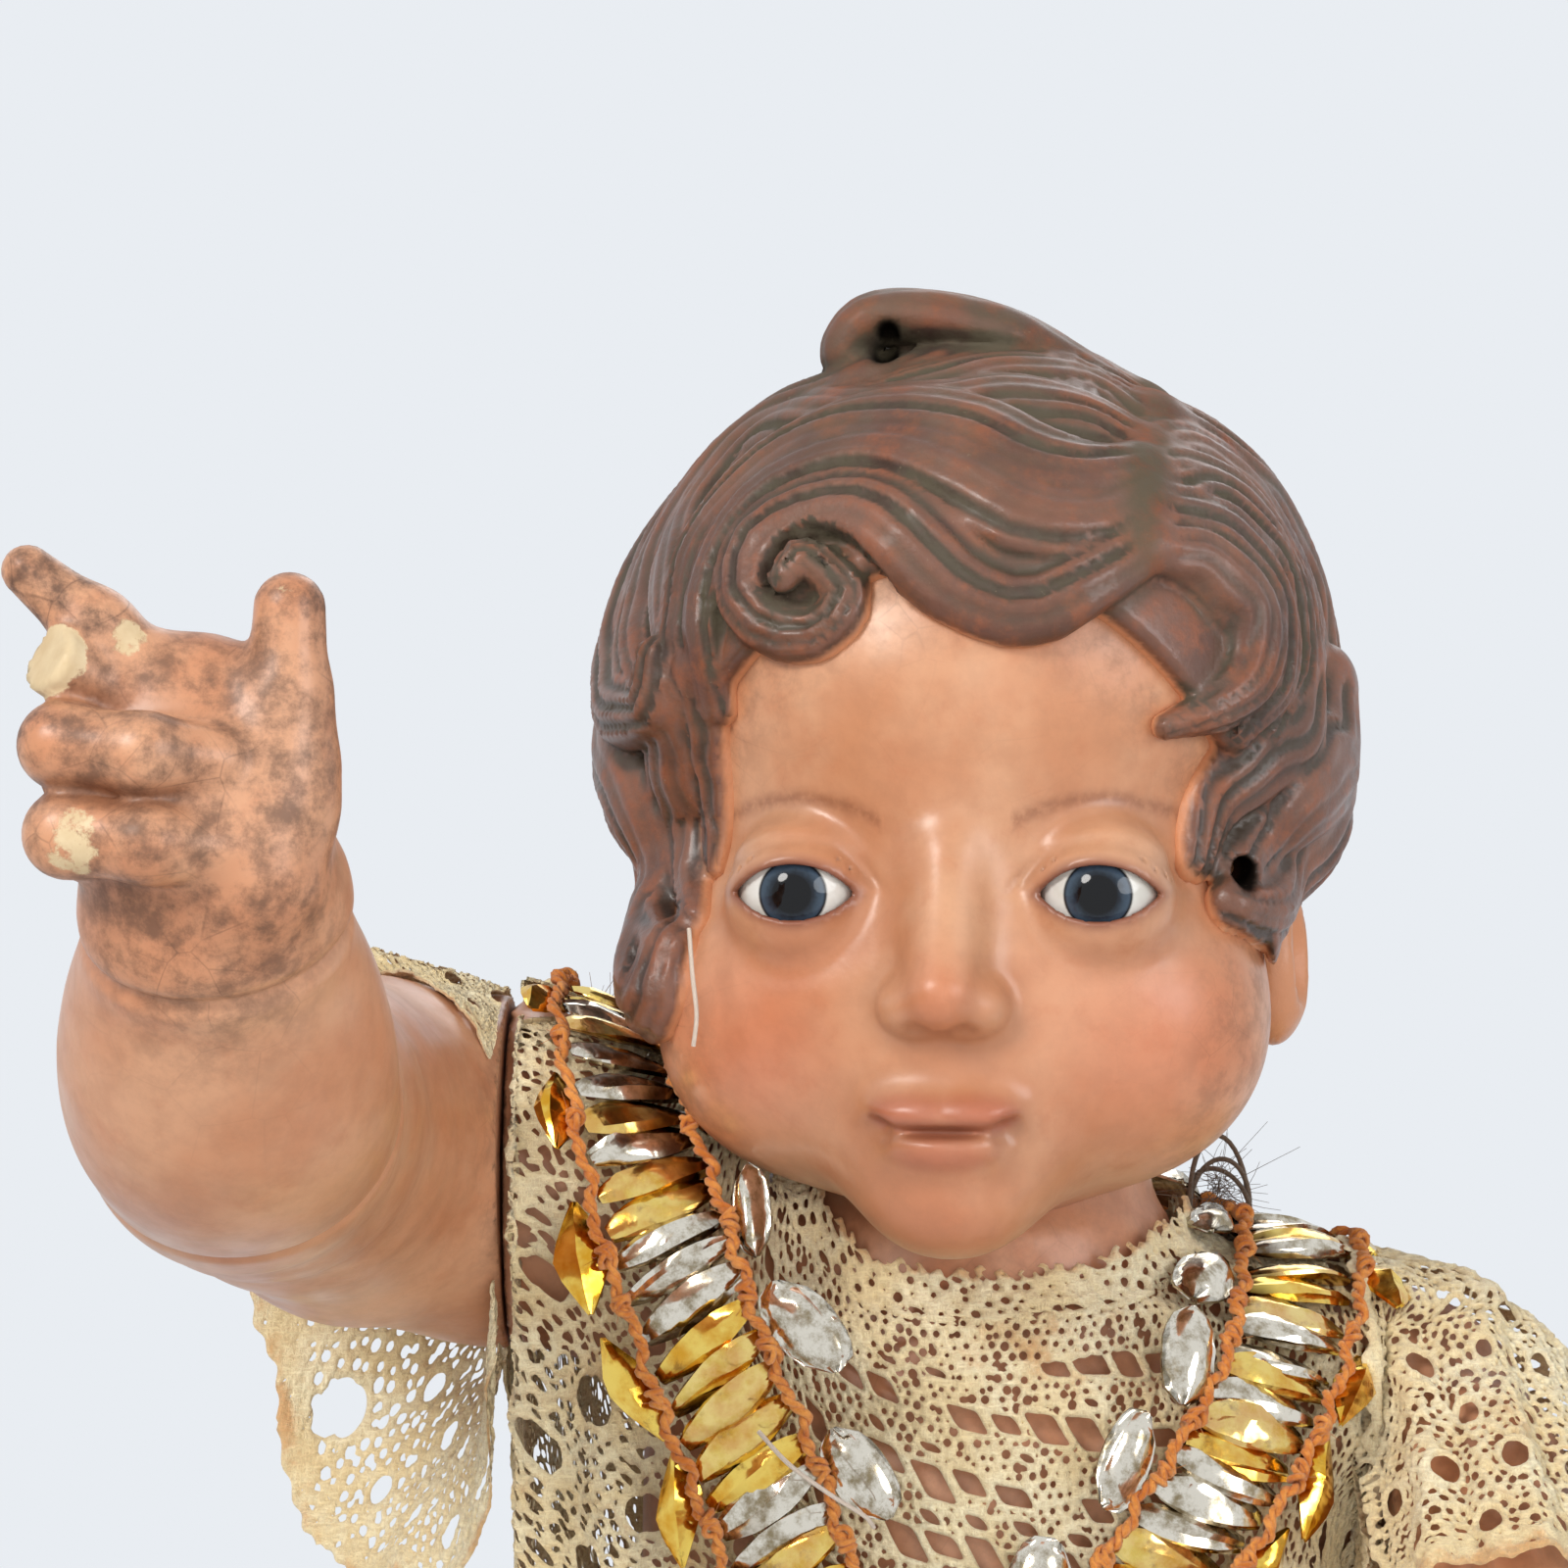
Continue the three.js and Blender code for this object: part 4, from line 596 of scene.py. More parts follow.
def eyelids(d, p):
    """The skin with lids round the eyes, a crease above them and the openings."""
    slit, ball = lid_slit(p), length(p - EYE)
    d = smin(d, ball - EYE_R - LID, FEATURE)
    crease = bell((slit - 2.2) / 0.8) * step01(p[:, 2], EYE[2] - 1, EYE[2] + 1.5) * step01(p[:, 1], -25, -30)
    return d + 0.4 * crease, slit, ball


def nose_and_mouth(d, p):
    d = smin(d, taper(p, v3(0, -38.8, -10), v3(0, -45.2, -22.6), 2.2, 3.5), FEATURE * 2)
    d = smin(d, ovoid(p, v3(3.7, -42.4, -24), v3(2.6, 3.3, 2.4)), FEATURE)
    d = smax(d, -ovoid(p, v3(2.5, -46, -26.6), v3(1.3, 2.2, 1)), 0.8)
    d = smin(d, ovoid(p, *UPPER_LIP), FEATURE * 1.3)
    d = smin(d, ovoid(p, *LOWER_LIP), FEATURE * 1.3)
    d = smax(d, -ovoid(p, v3(0, -45.0, -36.1), v3(6.6, 2.4, 0.5)), FEATURE / 2)
    d = smax(d, -ovoid(p, v3(6.8, -42.4, -36), v3(1.3, 1.5, 1.1)), 1.6)
    return smax(d, -taper(p, v3(0, -45.2, -28), v3(0, -46.4, -31.6), 1.0, 1.5), 1.6)


def skin(q):
    p = half(q)
    d = smin(skull(p), ovoid(p, v3(0, -33.5, -42), v3(9, 8.5, 7.5)), SKIN_BLEND)
    d = smin(d, ovoid(p, v3(0, -28, -33), v3(14, 13, 11)), SKIN_BLEND)
    d = smax(d, -ovoid(p, v3(14.5, -48, -11.5), v3(11, 9.5, 7.5)), SKIN_BLEND)
    d, slit, ball = eyelids(d, p)
    d = nose_and_mouth(d, p)
    d = smax(d, -np.maximum(slit, p[:, 1] - (EYE[1] - 1.5)), 0.5)
    return np.maximum(d, -np.maximum(ball - EYE_R - 0.12, slit - 1.1))


def hairline(q):
    """1 on the hairline, less on the face inside it."""
    z = q[:, 2] - HAIRLINE_Z
    return np.hypot(q[:, 0] / HAIRLINE_WIDE, z / np.where(z > 0, 36, 44))


def face_field(q):
    d = np.maximum(skin(q), (hairline(q) - 1) * HAIRLINE_WIDE - 3)
    return np.maximum(d, q[:, 1] - FACE_BACK)


def reach_of(ways):
    """How far the bare skull's surface lies from the head's centre."""
    return bisect(lambda m: skull(half(ways * m[:, None])) > 0, 20.0, 70.0, len(ways), 22)[1]


def way(az, el):
    a, e = np.radians(az), np.radians(el)
    return np.stack([np.sin(a) * np.cos(e), -np.cos(a) * np.cos(e), np.sin(e)], -1)


def cap_depth(q):
    """Depth of the plain hair under the locks, below zero on the face."""
    front = np.where(q[:, 1] > -4, 1, step01(hairline(q), 0.96, 1.12))
    turn = np.degrees(np.abs(np.arctan2(q[:, 0], -q[:, 1])))
    low = np.interp(turn, [0, 50, 95, 140, 180], [-24, -20, -16, -34, -37])
    return HAIR_DEPTH * front * step01(q[:, 2] - low, -5, 3) - 4 * (1 - front)


def ear(q):
    p = half(q)
    d = ovoid(p, v3(31.5, -2, -21), v3(4.2, 6, 9))
    return smax(d, -ovoid(p, v3(35, -3.5, -20), v3(2.4, 3.2, 5.4)), 1.2)


class Lock:
    """One carved lock of hair: a swelling band with strands.

    Its path is laid on the skull along azimuths and elevations from the head's centre, each with
    an extra height where a third number is given, or goes through places where it stands free."""
    POINTS, ROOT, GROOVE = 26, 0.7, 0.62

    def __init__(self, path, width, depth, strands, lift, tip, seed, free=False):
        path = np.asarray([(*p, 0)[:3] for p in path], float)
        if not free:
            d = way(path[:, 0], path[:, 1])
            q = d * reach_of(d)[:, None]
            high = np.maximum(cap_depth(q), 0) * 0.9 + path[:, 2] + lift * 0.9
            path = q + d * high[:, None]
        self.centre = spline(path, self.POINTS)
        tangent = unit(np.gradient(self.centre, axis=0))
        level = unit(v3(0, 1, 0) - tangent * tangent[:, 1:2])
        self.side = level if free else unit(np.cross(tangent, unit(self.centre)))
        self.tangent, self.out = tangent, unit(np.cross(self.side, tangent))
        s = np.linspace(0, 1, self.POINTS)
        swell = np.where(s < 0.3, mix(self.ROOT, 1, s / 0.3), mix(1, tip, np.clip((s - 0.3) / 0.7, 0, 1) ** 1.3))
        self.w, self.h = width * swell, depth * 0.84 * mix(1, swell, 0.7)
        self.strands, self.seed = strands, seed
        self.low, self.high = self.centre.min(0) - width - 3, self.centre.max(0) + width + 3

    def near(self, p):
        return ((p > self.low) & (p < self.high)).all(1)

    def field(self, p):
        """Distance to the lock, and how deep in a groove between strands each place is."""
        ab = np.diff(self.centre, axis=0)
        ap = p[:, None] - self.centre[:-1]
        t = np.clip((ap * ab).sum(-1) / (ab * ab).sum(-1), 0, 1)
        j = np.argmin(((ap - t[..., None] * ab) ** 2).sum(-1), 1)
        f = t[np.arange(len(p)), j]

        def at(x):
            return x[j] + (x[j + 1] - x[j]) * (f[:, None] if x.ndim > 1 else f)

        r = p - at(self.centre)
        w, h = at(self.w), at(self.h)
        u, v, l = ((r * at(x)).sum(1) for x in (self.side, self.out, self.tangent))
        s = (j + f) / (self.POINTS - 1)
        e = np.sqrt((u / w) ** 2 + (v / h) ** 2 + (l / w) ** 2)
        g = np.sqrt((u / w ** 2) ** 2 + (v / h ** 2) ** 2 + (l / w ** 2) ** 2)
        d = e * (e - 1) / np.maximum(g, 1e-6)
        wander = 0.07 * np.sin(7 * s + self.seed) + 0.03 * np.sin(23 * s + 2 * self.seed)
        turn = self.strands * (0.5 * u / w + wander + 0.5)
        line = (0.5 + 0.5 * np.cos(TURN * turn)) ** 1.3 * mix(0.3, 1.1, hash01(np.round(turn), self.seed))
        groove = line * step01(v, -0.2 * h, 0.4 * h) * step01(s, 0, 0.06)
        return d + self.GROOVE * groove, groove


FRINGE = [(28, 29), (19, 24), (11, 21), (3, 24), (-5, 29), (-13, 33), (-23, 33), (-30, 29), (-28, 21), (-21, 17),
          (-15, 19), (-14, 23, .6), (-20, 26, 1.2), (-22, 23, 1.6)]
ROLL = [(12, -5, 41), (4, -7, 45), (-4, -9, 47), (-10.5, -10, 46.8), (-13.2, -10, 43.4), (-11, -10, 40.5)]
UNDER_ROLL = [(16, -2, 38.5), (6, -3, 41), (-4, -4, 40.6), (-10, -4, 37.5)]
# path, width, depth, strands, lift, width at the tip, seed
FRONT_LOCKS = [
    ([(70, 60), (60, 70), (24, 76), (-20, 74), (-50, 68)], 7.5, 4.6, 5, 0, .5, 1),
    (ROLL, 5.6, 3.9, 3, 0, .75, 2, True),
    (UNDER_ROLL, 8, 4.6, 3, 0, .8, 24, True),
    ([(58, 56), (46, 64), (20, 67), (-8, 63), (-24, 58), (-44, 58)], 7.5, 4.4, 5, 0, .5, 3),
    ([(40, 48), (28, 53), (14, 55), (0, 53), (-14, 54), (-34, 55), (-56, 50)], 6.5, 4.2, 5, .3, .5, 4),
    ([(34, 40), (22, 38), (12, 40), (2, 45), (-10, 49), (-24, 48), (-38, 42), (-44, 30), (-43, 18)],
     7, 4.6, 5, .8, .45, 5),
    ([(33, 36), (21, 31), (11, 31), (2, 37), (-9, 41), (-22, 41), (-33, 37), (-37, 28), (-37, 18), (-36, 8)],
     5, 4, 4, .9, .4, 6),
    (FRINGE, 5.4, 3.8, 4, .8, .3, 7),
    ([(-9, 51), (-35, 56), (-60, 54), (-64, 44), (-56, 32), (-48, 22), (-42, 12)], 7, 4.6, 5, 0, .45, 8),
    ([(-40, 66), (-68, 60), (-76, 48), (-78, 36), (-74, 24), (-60, 14), (-50, 8)], 7.5, 5, 5, 1.0, .45, 9),
    ([(-96, 50), (-92, 36), (-86, 24), (-78, 14), (-62, 8), (-48, 8), (-46, 14)], 6.5, 5.4, 4, 2.6, .4, 10),
    ([(-90, 16), (-78, 4), (-66, -6), (-60, -16), (-56, -24), (-46, -25)], 7.5, 5.4, 5, 2.2, .4, 11),
    ([(-46, 8), (-50, -1), (-52, -10), (-48, -18), (-42, -22)], 5.5, 4.4, 4, .2, .4, 12),
    ([(-40, 13), (-41, 3), (-41, -7), (-41, -16)], 3.6, 3.2, 3, .2, .4, 13),
    ([(-66, -12), (-62, -22), (-54, -29), (-46, -30), (-44, -25)], 7, 5.6, 4, 1.4, .5, 26),
    ([(-100, 6), (-90, -8), (-78, -18), (-68, -28), (-72, -36)], 7.5, 5, 5, 0, .5, 14),
    ([(42, 47), (60, 50), (76, 44), (82, 33), (80, 22), (68, 14)], 7, 4.6, 5, .2, .45, 15),
    ([(64, 58), (84, 52), (94, 40), (96, 26), (88, 12), (78, 4)], 7.5, 5, 5, 1.0, .45, 16),
    ([(33, 36), (46, 38), (57, 33), (62, 24), (60, 13), (52, 5)], 6.5, 4.6, 5, .5, .4, 17),
    ([(31, 29), (40, 27), (47, 21), (47, 14), (41, 8), (32, 5)], 4.8, 4, 4, 1.2, .3, 18),
    ([(30, 34), (40, 33), (50, 28), (54, 20), (52, 11), (45, 4)], 5.2, 4.2, 4, .9, .35, 23),
    ([(36, 42), (50, 42), (62, 36), (68, 26), (66, 16), (58, 8)], 5.6, 4.4, 4, .7, .4, 25),
    ([(66, 16), (60, 6), (50, -1), (43, -8), (40, -15)], 6, 4.6, 4, .4, .4, 19),
    ([(84, 12), (76, 1), (62, -6), (55, -12), (47, -17)], 7, 5.4, 5, 2.2, .4, 20),
    ([(92, 2), (78, -10), (66, -18), (55, -22), (45, -20)], 7, 5.6, 5, 2.2, .45, 21),
    ([(106, 8), (100, -6), (92, -16), (84, -22)], 7.5, 5, 5, .2, .5, 22),
]
# Bores in the hair: from, to and radius
BORES = [(v3(-8.9, -20, 43.4), v3(-8.8, -10.5, 43), 1.6), (v3(-8.3, -20, 45.4), v3(-8.4, -11.5, 45), 1.3),
         (v3(30, -30, -11.5), v3(24, -14, -9), 1.5)]


def back_locks():
    """Waving locks down the back of the head in two ranks, and short ones over the crown."""
    for i in range(13):
        az, sway = mix(98, 262, i / 12), 8 * (1 if i % 2 else -1)
        upper = [(az, 66), (az + sway, 46), (az - sway, 24), (az + sway, 2), (az, -14)]
        lower = [(az + 6, 6), (az + 6 - sway, -10), (az + 6 + sway, -24), (az + 6, -34)]
        yield upper, 8, 4.6, 5, .2 * (i % 3), .6, 30 + i
        yield lower, 7, 4.6, 4, .2, .35, 50 + i
    for i in range(7):
        az = mix(-150, 150, i / 6) + 180
        yield [(az, 86), (az + 10, 74), (az, 60)], 8, 4.2, 5, .4, .6, 70 + i


LOCKS = [Lock(*one) for one in [*FRONT_LOCKS, *back_locks()]]


def bore(q, a, b, r):
    return taper(q, a, b, r, r * 0.7)


def hair_parts(q):
    """Distance to the carved hair with its ears, and how deep in a groove each place is."""
    d = skull(half(q)) - cap_depth(q)
    groove = np.zeros(len(q))
    for lock in LOCKS:
        idx = np.nonzero(lock.near(q))[0]
        if len(idx):
            one, g = lock.field(q[idx])
            groove[idx] = np.where(one < d[idx], g, groove[idx])
            d[idx] = smin(d[idx], one, 0.7)
    for one in BORES:
        d = smax(d, -bore(q, *one), 0.8)
    return smin(d, ear(q), 0.6), groove


def hair_field(q):
    return hair_parts(q)[0]


def build_face():
    verts, quads = sculpt(face_field, (-36, -52, -66), (36, -8, 24), 0.5)
    p = half(verts)
    front = verts[:, 1] < -24
    lips = np.minimum(ovoid(p, *UPPER_LIP), ovoid(p, *LOWER_LIP))
    blush = bell(length((p - v3(19, -33, -28)) / v3(11, 14, 10)))
    blush = np.maximum(blush, 0.6 * bell(length(verts - v3(0, -49, -24)) / 6))
    blush = np.maximum(blush, 0.5 * bell(length(verts - v3(0, -40, -44)) / 7))
    arch = np.hypot(p[:, 0] - EYE[0], p[:, 2] + 20) - 16.4
    brow = bell(arch / 0.75) * (np.abs(p[:, 0] - EYE[0]) < 8.5) * front * (p[:, 2] > -8)
    zero = np.zeros(len(verts))
    values = {"brow": brow, "rim": bell(np.maximum(lid_slit(p), 0) / 0.9) * front,
              "lips": step01(-lips, -1.0, 0.2) * (p[:, 1] < -40), "blush": blush,
              "grime": step01(hairline(verts), 0.78, 1.0) * 0.3 + 0.1,
              # How closed in each point is, which the flesh paint darkens as painted shade in hollows and creases
              "painted_hollow_shade": hollows(face_field, verts, 2.2), "chip": zero, "seam": zero}
    put(make("face", from_head(verts), quads, FLESH, values=values), "figure", "flesh_paint", "face_mask")


def build_hair():
    verts, quads = sculpt(hair_field, (-52, -56, -50), (52, 62, 58), 0.64)
    x, y, z = verts.T
    deep = hollows(hair_field, verts, 2.6)
    strands = batch(lambda q: hair_parts(q)[1], verts, 100000)
    # groove marks the grooves between strands and locks, which the hair paint darkens as painted shade; dust also
    # gathers there
    groove = np.clip(strands * 0.55 + deep, 0, 1)
    # The inside of each bore, which the hair paint turns near black as painted shade
    hole = np.max([step01(-bore(verts, *one), -0.6, 0.1) for one in BORES], 0)
    bare = np.maximum(step01(skull(half(verts)), 1.3, 0.5), step01(ear(verts), 0.5, 0.1) * (np.abs(x) > 26))
    parting = bell((x - 19.5) / 2.0) * step01(z, 15, 24) * step01(y, 6, -4)
    dust = (groove * 0.8 + deep * 0.5 + 0.4 * step01(z, 20, 44)) * step01(z, -24, 26) + 0.08 + parting
    values = {"groove": groove, "ridge": 1 - groove, "dust": np.clip(dust, 0, 1), "skin": bare, "hole": hole}
    put(make("carved_hair", from_head(verts), quads, HAIR, values=values), "figure", "hair_paint", "head_block")


def build_eyes():
    rows, cols = 40, 48
    a, t = np.meshgrid(np.linspace(0, math.pi, rows), np.linspace(0, TURN, cols, endpoint=False), indexing="ij")
    ball = np.stack([np.sin(a) * np.cos(t), -np.cos(a), np.sin(a) * np.sin(t)], -1)
    ball = (ball * (EYE_R * (1 + 0.035 * step01(a, 0.6, 0.2)))[..., None]).reshape(-1, 3)
    for name, side in (("eye_right", -1), ("eye_left", 1)):
        q = from_head(ball + EYE * v3(side, 1, 1))
        eye = make("glass_" + name, q, band(rows, cols)[:, ::-1], EYE_GLASS, values={"turn": a.ravel()})
        put(eye, "figure", "eye_glass", name)


# Body and arms
RIGHT_X, LEFT_X = RIGHT_SHOULDER[0], LEFT_SHOULDER[0]
LEG_X = 18.5
LEG = [(3, 226, 18), (2, 175, 18), (0, 123, 13.5), (4, 87, 14.5), (6, 51, 9.8), (6, 36, 9.5)]  # y, z, radius
TOE_PITCH, BIG_TOE, TOE = 3.705, 3.0, 2.1


def level_at(z, table=LEVELS):
    return np.interp(z, table[:, 0], table[:, 1]), np.interp(z, table[:, 0], table[:, 2])


def trunk(p):
    d = oval(p[:, 0], p[:, 1] - TRUNK_Y, *level_at(p[:, 2]))
    return smax(d, np.maximum(LEVELS[0, 0] - p[:, 2], p[:, 2] - LEVELS[-1, 0]), 6)


def girdle_mid(x):
    """The shoulder girdle's y, z and radius, between the right shoulder and the left."""
    (x0, y0, z0), (x1, y1, z1) = RIGHT_SHOULDER, LEFT_SHOULDER
    share = (x - x0) / (x1 - x0)
    lift = (z0 - z1) * (1 - step01(share, 0, GIRDLE_FALL))
    return mix(y0, y1, share), z1 + lift, mix(RIGHT_R, LEFT_R, share)


def girdle(p):
    y, z, r = girdle_mid(np.clip(p[:, 0], RIGHT_X, LEFT_X))
    d = (np.hypot(p[:, 1] - y, p[:, 2] - z) - r) * 0.85
    return np.maximum(d, np.maximum(RIGHT_X - p[:, 0], p[:, 0] - LEFT_X))


def yoke(p):
    """The slope from the shoulders up to the neck."""
    t = np.clip((p[:, 2] - 364) / 10, 0, 1)
    d = oval(p[:, 0], p[:, 1] - NECK_Y, mix(31, NECK_RADIUS, t), mix(17, NECK_RADIUS, t)) * 0.8
    return np.maximum(d, np.maximum(352 - p[:, 2], p[:, 2] - 374))


def neck(p):
    d = np.hypot(p[:, 0], p[:, 1] - NECK_Y) - NECK_RADIUS
    return np.maximum(d, np.maximum(350 - p[:, 2], p[:, 2] - NECK_TOP - 3))


def upper_body(p):
    d = smin(trunk(p), yoke(p), 5)
    return smin(smin(d, girdle(p), 5), neck(p), 5)


def foot(p, x, side):
    heel = ovoid(p, v3(x + side * 0.5, 10, 35.5), v3(8.5, 9, 8))
    d = smin(heel, taper(p, v3(x + side, 2, 38), v3(x + side * 4, -20, 33.4), 8.4, 5.2), 5)
    d = smin(d, ovoid(p, v3(x + side * 3.4, -15, 33), v3(9.6, 9, 5)), 4)
    for k in range(5):
        spread = side * (3.6 + (k - 2) * TOE_PITCH)
        r = TOE if k else BIG_TOE
        tip = v3(x + spread, -25.8 + 1.1 * max(k - 0.5, 0) ** 1.25, 31.4)
        d = smin(d, taper(p, v3(x + spread * 0.9, -17, 33), tip, r, r * 0.95), 1.2)
    return d


def leg_field(p):
    below = BASE_HEIGHT + FIT - p[:, 2]
    legs = []
    for side in (-1, 1):
        x = side * LEG_X
        leg = chain(p, [v3(x, y, z) for y, z, _ in LEG], [r for *_, r in LEG], 8)
        legs.append(smin(leg, np.maximum(foot(p, x, side), below), 5))
    return np.maximum(np.minimum(*legs), below)


def body_field(p):
    return np.minimum(upper_body(p), leg_field(p))


def flesh(name, verts, quads, field, body, node, grime, chip, seam):
    """A painted limb or trunk, with what its paint shows at each point."""
    zero = np.zeros(len(verts))
    values = {"brow": zero, "rim": zero, "lips": zero, "blush": zero + 0.12, "grime": grime,
              # How closed in each point is, which the flesh paint darkens as painted shade in hollows and creases
              "painted_hollow_shade": hollows(field, verts, 2.5), "chip": chip, "seam": seam}
    put(make(name, verts, quads, FLESH, values=values), body, "flesh_paint", node)


def build_torso():
    high, high_quads = sculpt(upper_body, (-54, -40, 200), (48, 44, 392), 1.4)
    low, low_quads = sculpt(leg_field, (-44, -36, 24), (44, 30, 250), 0.95)
    verts = np.concatenate([high, low])
    x, _, z = verts.T
    cut_faces = np.maximum(step01(x, -48.6, -49.9), step01(x, 40.8, 41.9)) * (z > 330)
    flesh("painted_body", verts, np.concatenate([high_quads, low_quads + len(high)]), body_field, "figure", "torso",
          0.25 + 0.5 * step01(z, 110, 40), 0.5 * step01(z, 44, 32), 0.6 * cut_faces)


ELBOW, WRIST = v3(-70, -68, 392), v3(-68, -98, 411)
PALM = v3(-68.6, -105, 421.4)
STUMP = v3(-74.5, -106, 428.5), v3(-79.4, -110.2, 431.6)
# Chips in the right arm's paint: place, radius and amount
CHIPS = [(STUMP[1], 3.4, 1.0), (PALM + v3(-8, -8, -4), 4.2, 0.62), (PALM + v3(-3, -9, -4.4), 3.4, 0.55),
         (PALM + v3(-5.2, -3.5, 12), 2.4, 0.6), (PALM + v3(7.6, -4.5, 16), 1.6, 0.5),
         (v3(-70.4, -90.8, 388.4), 2.3, 0.8), (PALM + v3(-9.4, -8, 3.6), 2.4, 0.45)]


def from_palm(*places):
    return [PALM + v3(*one) for one in places]


def right_hand(p):
    """Thumb up, forefinger out, a broken middle finger and two bent ones."""
    hand = taper(p, WRIST + v3(0, -2, 2), PALM + v3(0, 1, -3), 10.4, 9.2)
    hand = smin(hand, ovoid(p, PALM + v3(-0.6, 0.6, 2), v3(10.6, 6.4, 10.8)), 4)
    hand = smin(hand, taper(p, *from_palm((5, -2, -7), (6.8, -1.4, 2)), 5.6, 4.2), 3)
    thumb = from_palm((6.9, -1, -1), (7.5, -1.8, 7.5), (7.7, -2, 14.6))
    hand = smin(hand, chain(p, thumb, (4.2, 3.3, 2.9), 2), 2.4)
    forefinger = from_palm((-3.5, -0.5, 8.5), (-8, -1.5, 13), (-13.4, -2.2, 17.6))
    hand = smin(hand, chain(p, forefinger, (3.6, 2.9, 2.1), 2), 2)
    a, b = STUMP
    hand = smin(hand, np.maximum(taper(p, a, b, 3.1, 2.8), (p - b) @ unit(b - a) - 0.6), 1.2)
    for z, x in ((3.2, -9.4), (-3.9, -9.0)):
        bent = from_palm((x, -1, z), (x - 0.4, -6.4, z + 0.3), (x + 6.4, -8.4, z - 0.4), (x + 11.6, -5.6, z - 1))
        hand = smin(hand, chain(p, bent, (3.6, 3.3, 3.1, 2.8), 1.4), 1.0)
    return hand


def right_arm(p):
    points = [v3(-58.6, 0, 381.2), v3(-65.1, -12.2, 383.6), v3(-69.6, -30.6, 387.2), v3(-70.6, -51, 390.2), ELBOW,
              v3(-69, -86, 400.5), WRIST]
    d = chain(p, points, (16.6, 16.9, 15, 14, 13, 12.6, 11), 6)
    d = smin(d, ovoid(p, RIGHT_SHOULDER, v3(RIGHT_R, RIGHT_R, RIGHT_R)), 6)
    d = smin(d, ovoid(p, v3(-69.4, -80, 394), v3(13, 13, 12)), 6)
    d = smin(d, right_hand(p), 3)
    wrist_fold = (p - (WRIST + v3(0, 0, -1.5))) @ unit(PALM - WRIST)
    elbow_fold = (p - ELBOW) @ unit(v3(0, -0.8, 0.6))
    d = d + 0.9 * bell(wrist_fold / 0.9)
    d = d + 0.5 * bell(elbow_fold) * step01(p[:, 2], 400, 396)
    return np.maximum(d, p[:, 0] - RIGHT_X + FIT)


def build_right_arm():
    verts, quads = sculpt(right_arm, (-90, -120, 356), (-48, 24, 446), 0.6)
    x, y, z = verts.T
    tips = step01(length(verts - PALM), 12.5, 19) * step01(z, PALM[2] - 2, PALM[2] + 8)
    grime = 0.14 + 0.7 * step01(y, -98, -110) + 0.5 * tips + 0.25 * step01(x, -53, -50.5)
    chip = np.max([amount * bell(length(verts - at) / r, 4) for at, r, amount in CHIPS], 0)
    flesh("painted_right_arm", verts, quads, right_arm, "right_arm", "right_arm",
          np.clip(grime, 0, 1), chip, step01(x, -51.8, -50.4) * 0.5)


LEFT_ELBOW, LEFT_WRIST = v3(52.5, -36, 321), v3(53, -70, 325)
LEFT_HAND = 9.24  # scale of the left hand


def from_wrist(*places):
    return [LEFT_WRIST + v3(x, -y, z) * LEFT_HAND for x, y, z in places]


def left_arm(p):
    points = [v3(50.2, 2, 353.9), v3(51, -10, 350), v3(51.8, -22, 340), LEFT_ELBOW, v3(52.8, -53, 323), LEFT_WRIST]
    d = chain(p, points, (8.2, 8.6, 8.8, 9.4, 9.2, 7.6), 5)
    d = smin(d, ovoid(p, LEFT_SHOULDER, v3(15.6, 14, 14)), 5)
    palm, = from_wrist((0, 1.1, 0.05))
    hand = taper(p, *from_wrist((0, -0.2, 0), (0, 0.8, 0)), 7.4, 6.4)
    hand = smin(hand, ovoid(p, palm, v3(8.4, 9.6, 4.8)), 3)
    for x, far in ((-0.68, 0.9), (-0.24, 1.1), (0.22, 1.05), (0.66, 0.8)):
        finger = from_wrist((x * 0.9, 1.5, 0.1), (x, 2 + far * 0.5, 0.2), (x, 2 + far, 0.65))
        hand = smin(hand, chain(p, finger, (2.5, 2.2, 1.9), 1), 1.0)
    thumb = from_wrist((-0.55, 0.6, 0.25), (-0.7, 1.3, 0.9), (-0.55, 1.8, 1.2))
    hand = smin(hand, chain(p, thumb, (3.1, 2.5, 2.1), 1), 1.6)
    return np.maximum(smin(d, hand, 3), LEFT_X + FIT - p[:, 0])


def build_left_arm():
    verts, quads = sculpt(left_arm, (40, -108, 304), (68, 24, 372), 0.75)
    chip = 0.5 * bell(length(verts - (LEFT_WRIST + v3(-6, -26, 4))) / 3, 4)
    flesh("painted_left_arm", verts, quads, left_arm, "left_arm", "left_arm",
          0.25 + 0.5 * step01(verts[:, 1], -70, -92), chip, step01(verts[:, 0], 43.6, 42.4) * 0.5)


# Garland ribbon, laid on the CAD lace
ROUTE = [(0, 31, 362), (-17, 29, 368), (-30, 19, 382), (-37, 4, 393), (-37, -11, 391), (-34, -23, 380), (-29, -29, 366),
         (-23, -31, 351), (-18.5, -33, 336), (-14.5, -35, 323), (-5, -36, 312.5), (5, -35, 321.5), (12, -34, 335.5),
         (19.5, -32, 346), (26.5, -29, 354.5), (31, -22, 363), (33.5, -9, 369.5), (33, 5, 371), (28, 18, 370),
         (18, 27, 366)]
CORD_R, THREAD_R, ROLL_REACH, GARLAND_LIFT = 0.9, 0.5, 5.2, 2.5
THREAD_SIDE = ROLL_REACH + FIT * 2 + CORD_R * 2 + THREAD_R
CORD_SIDE = ROLL_REACH + FIT + CORD_R
LEAF_WIDE = 3.2
GARLAND_HALF = THREAD_SIDE + LEAF_WIDE


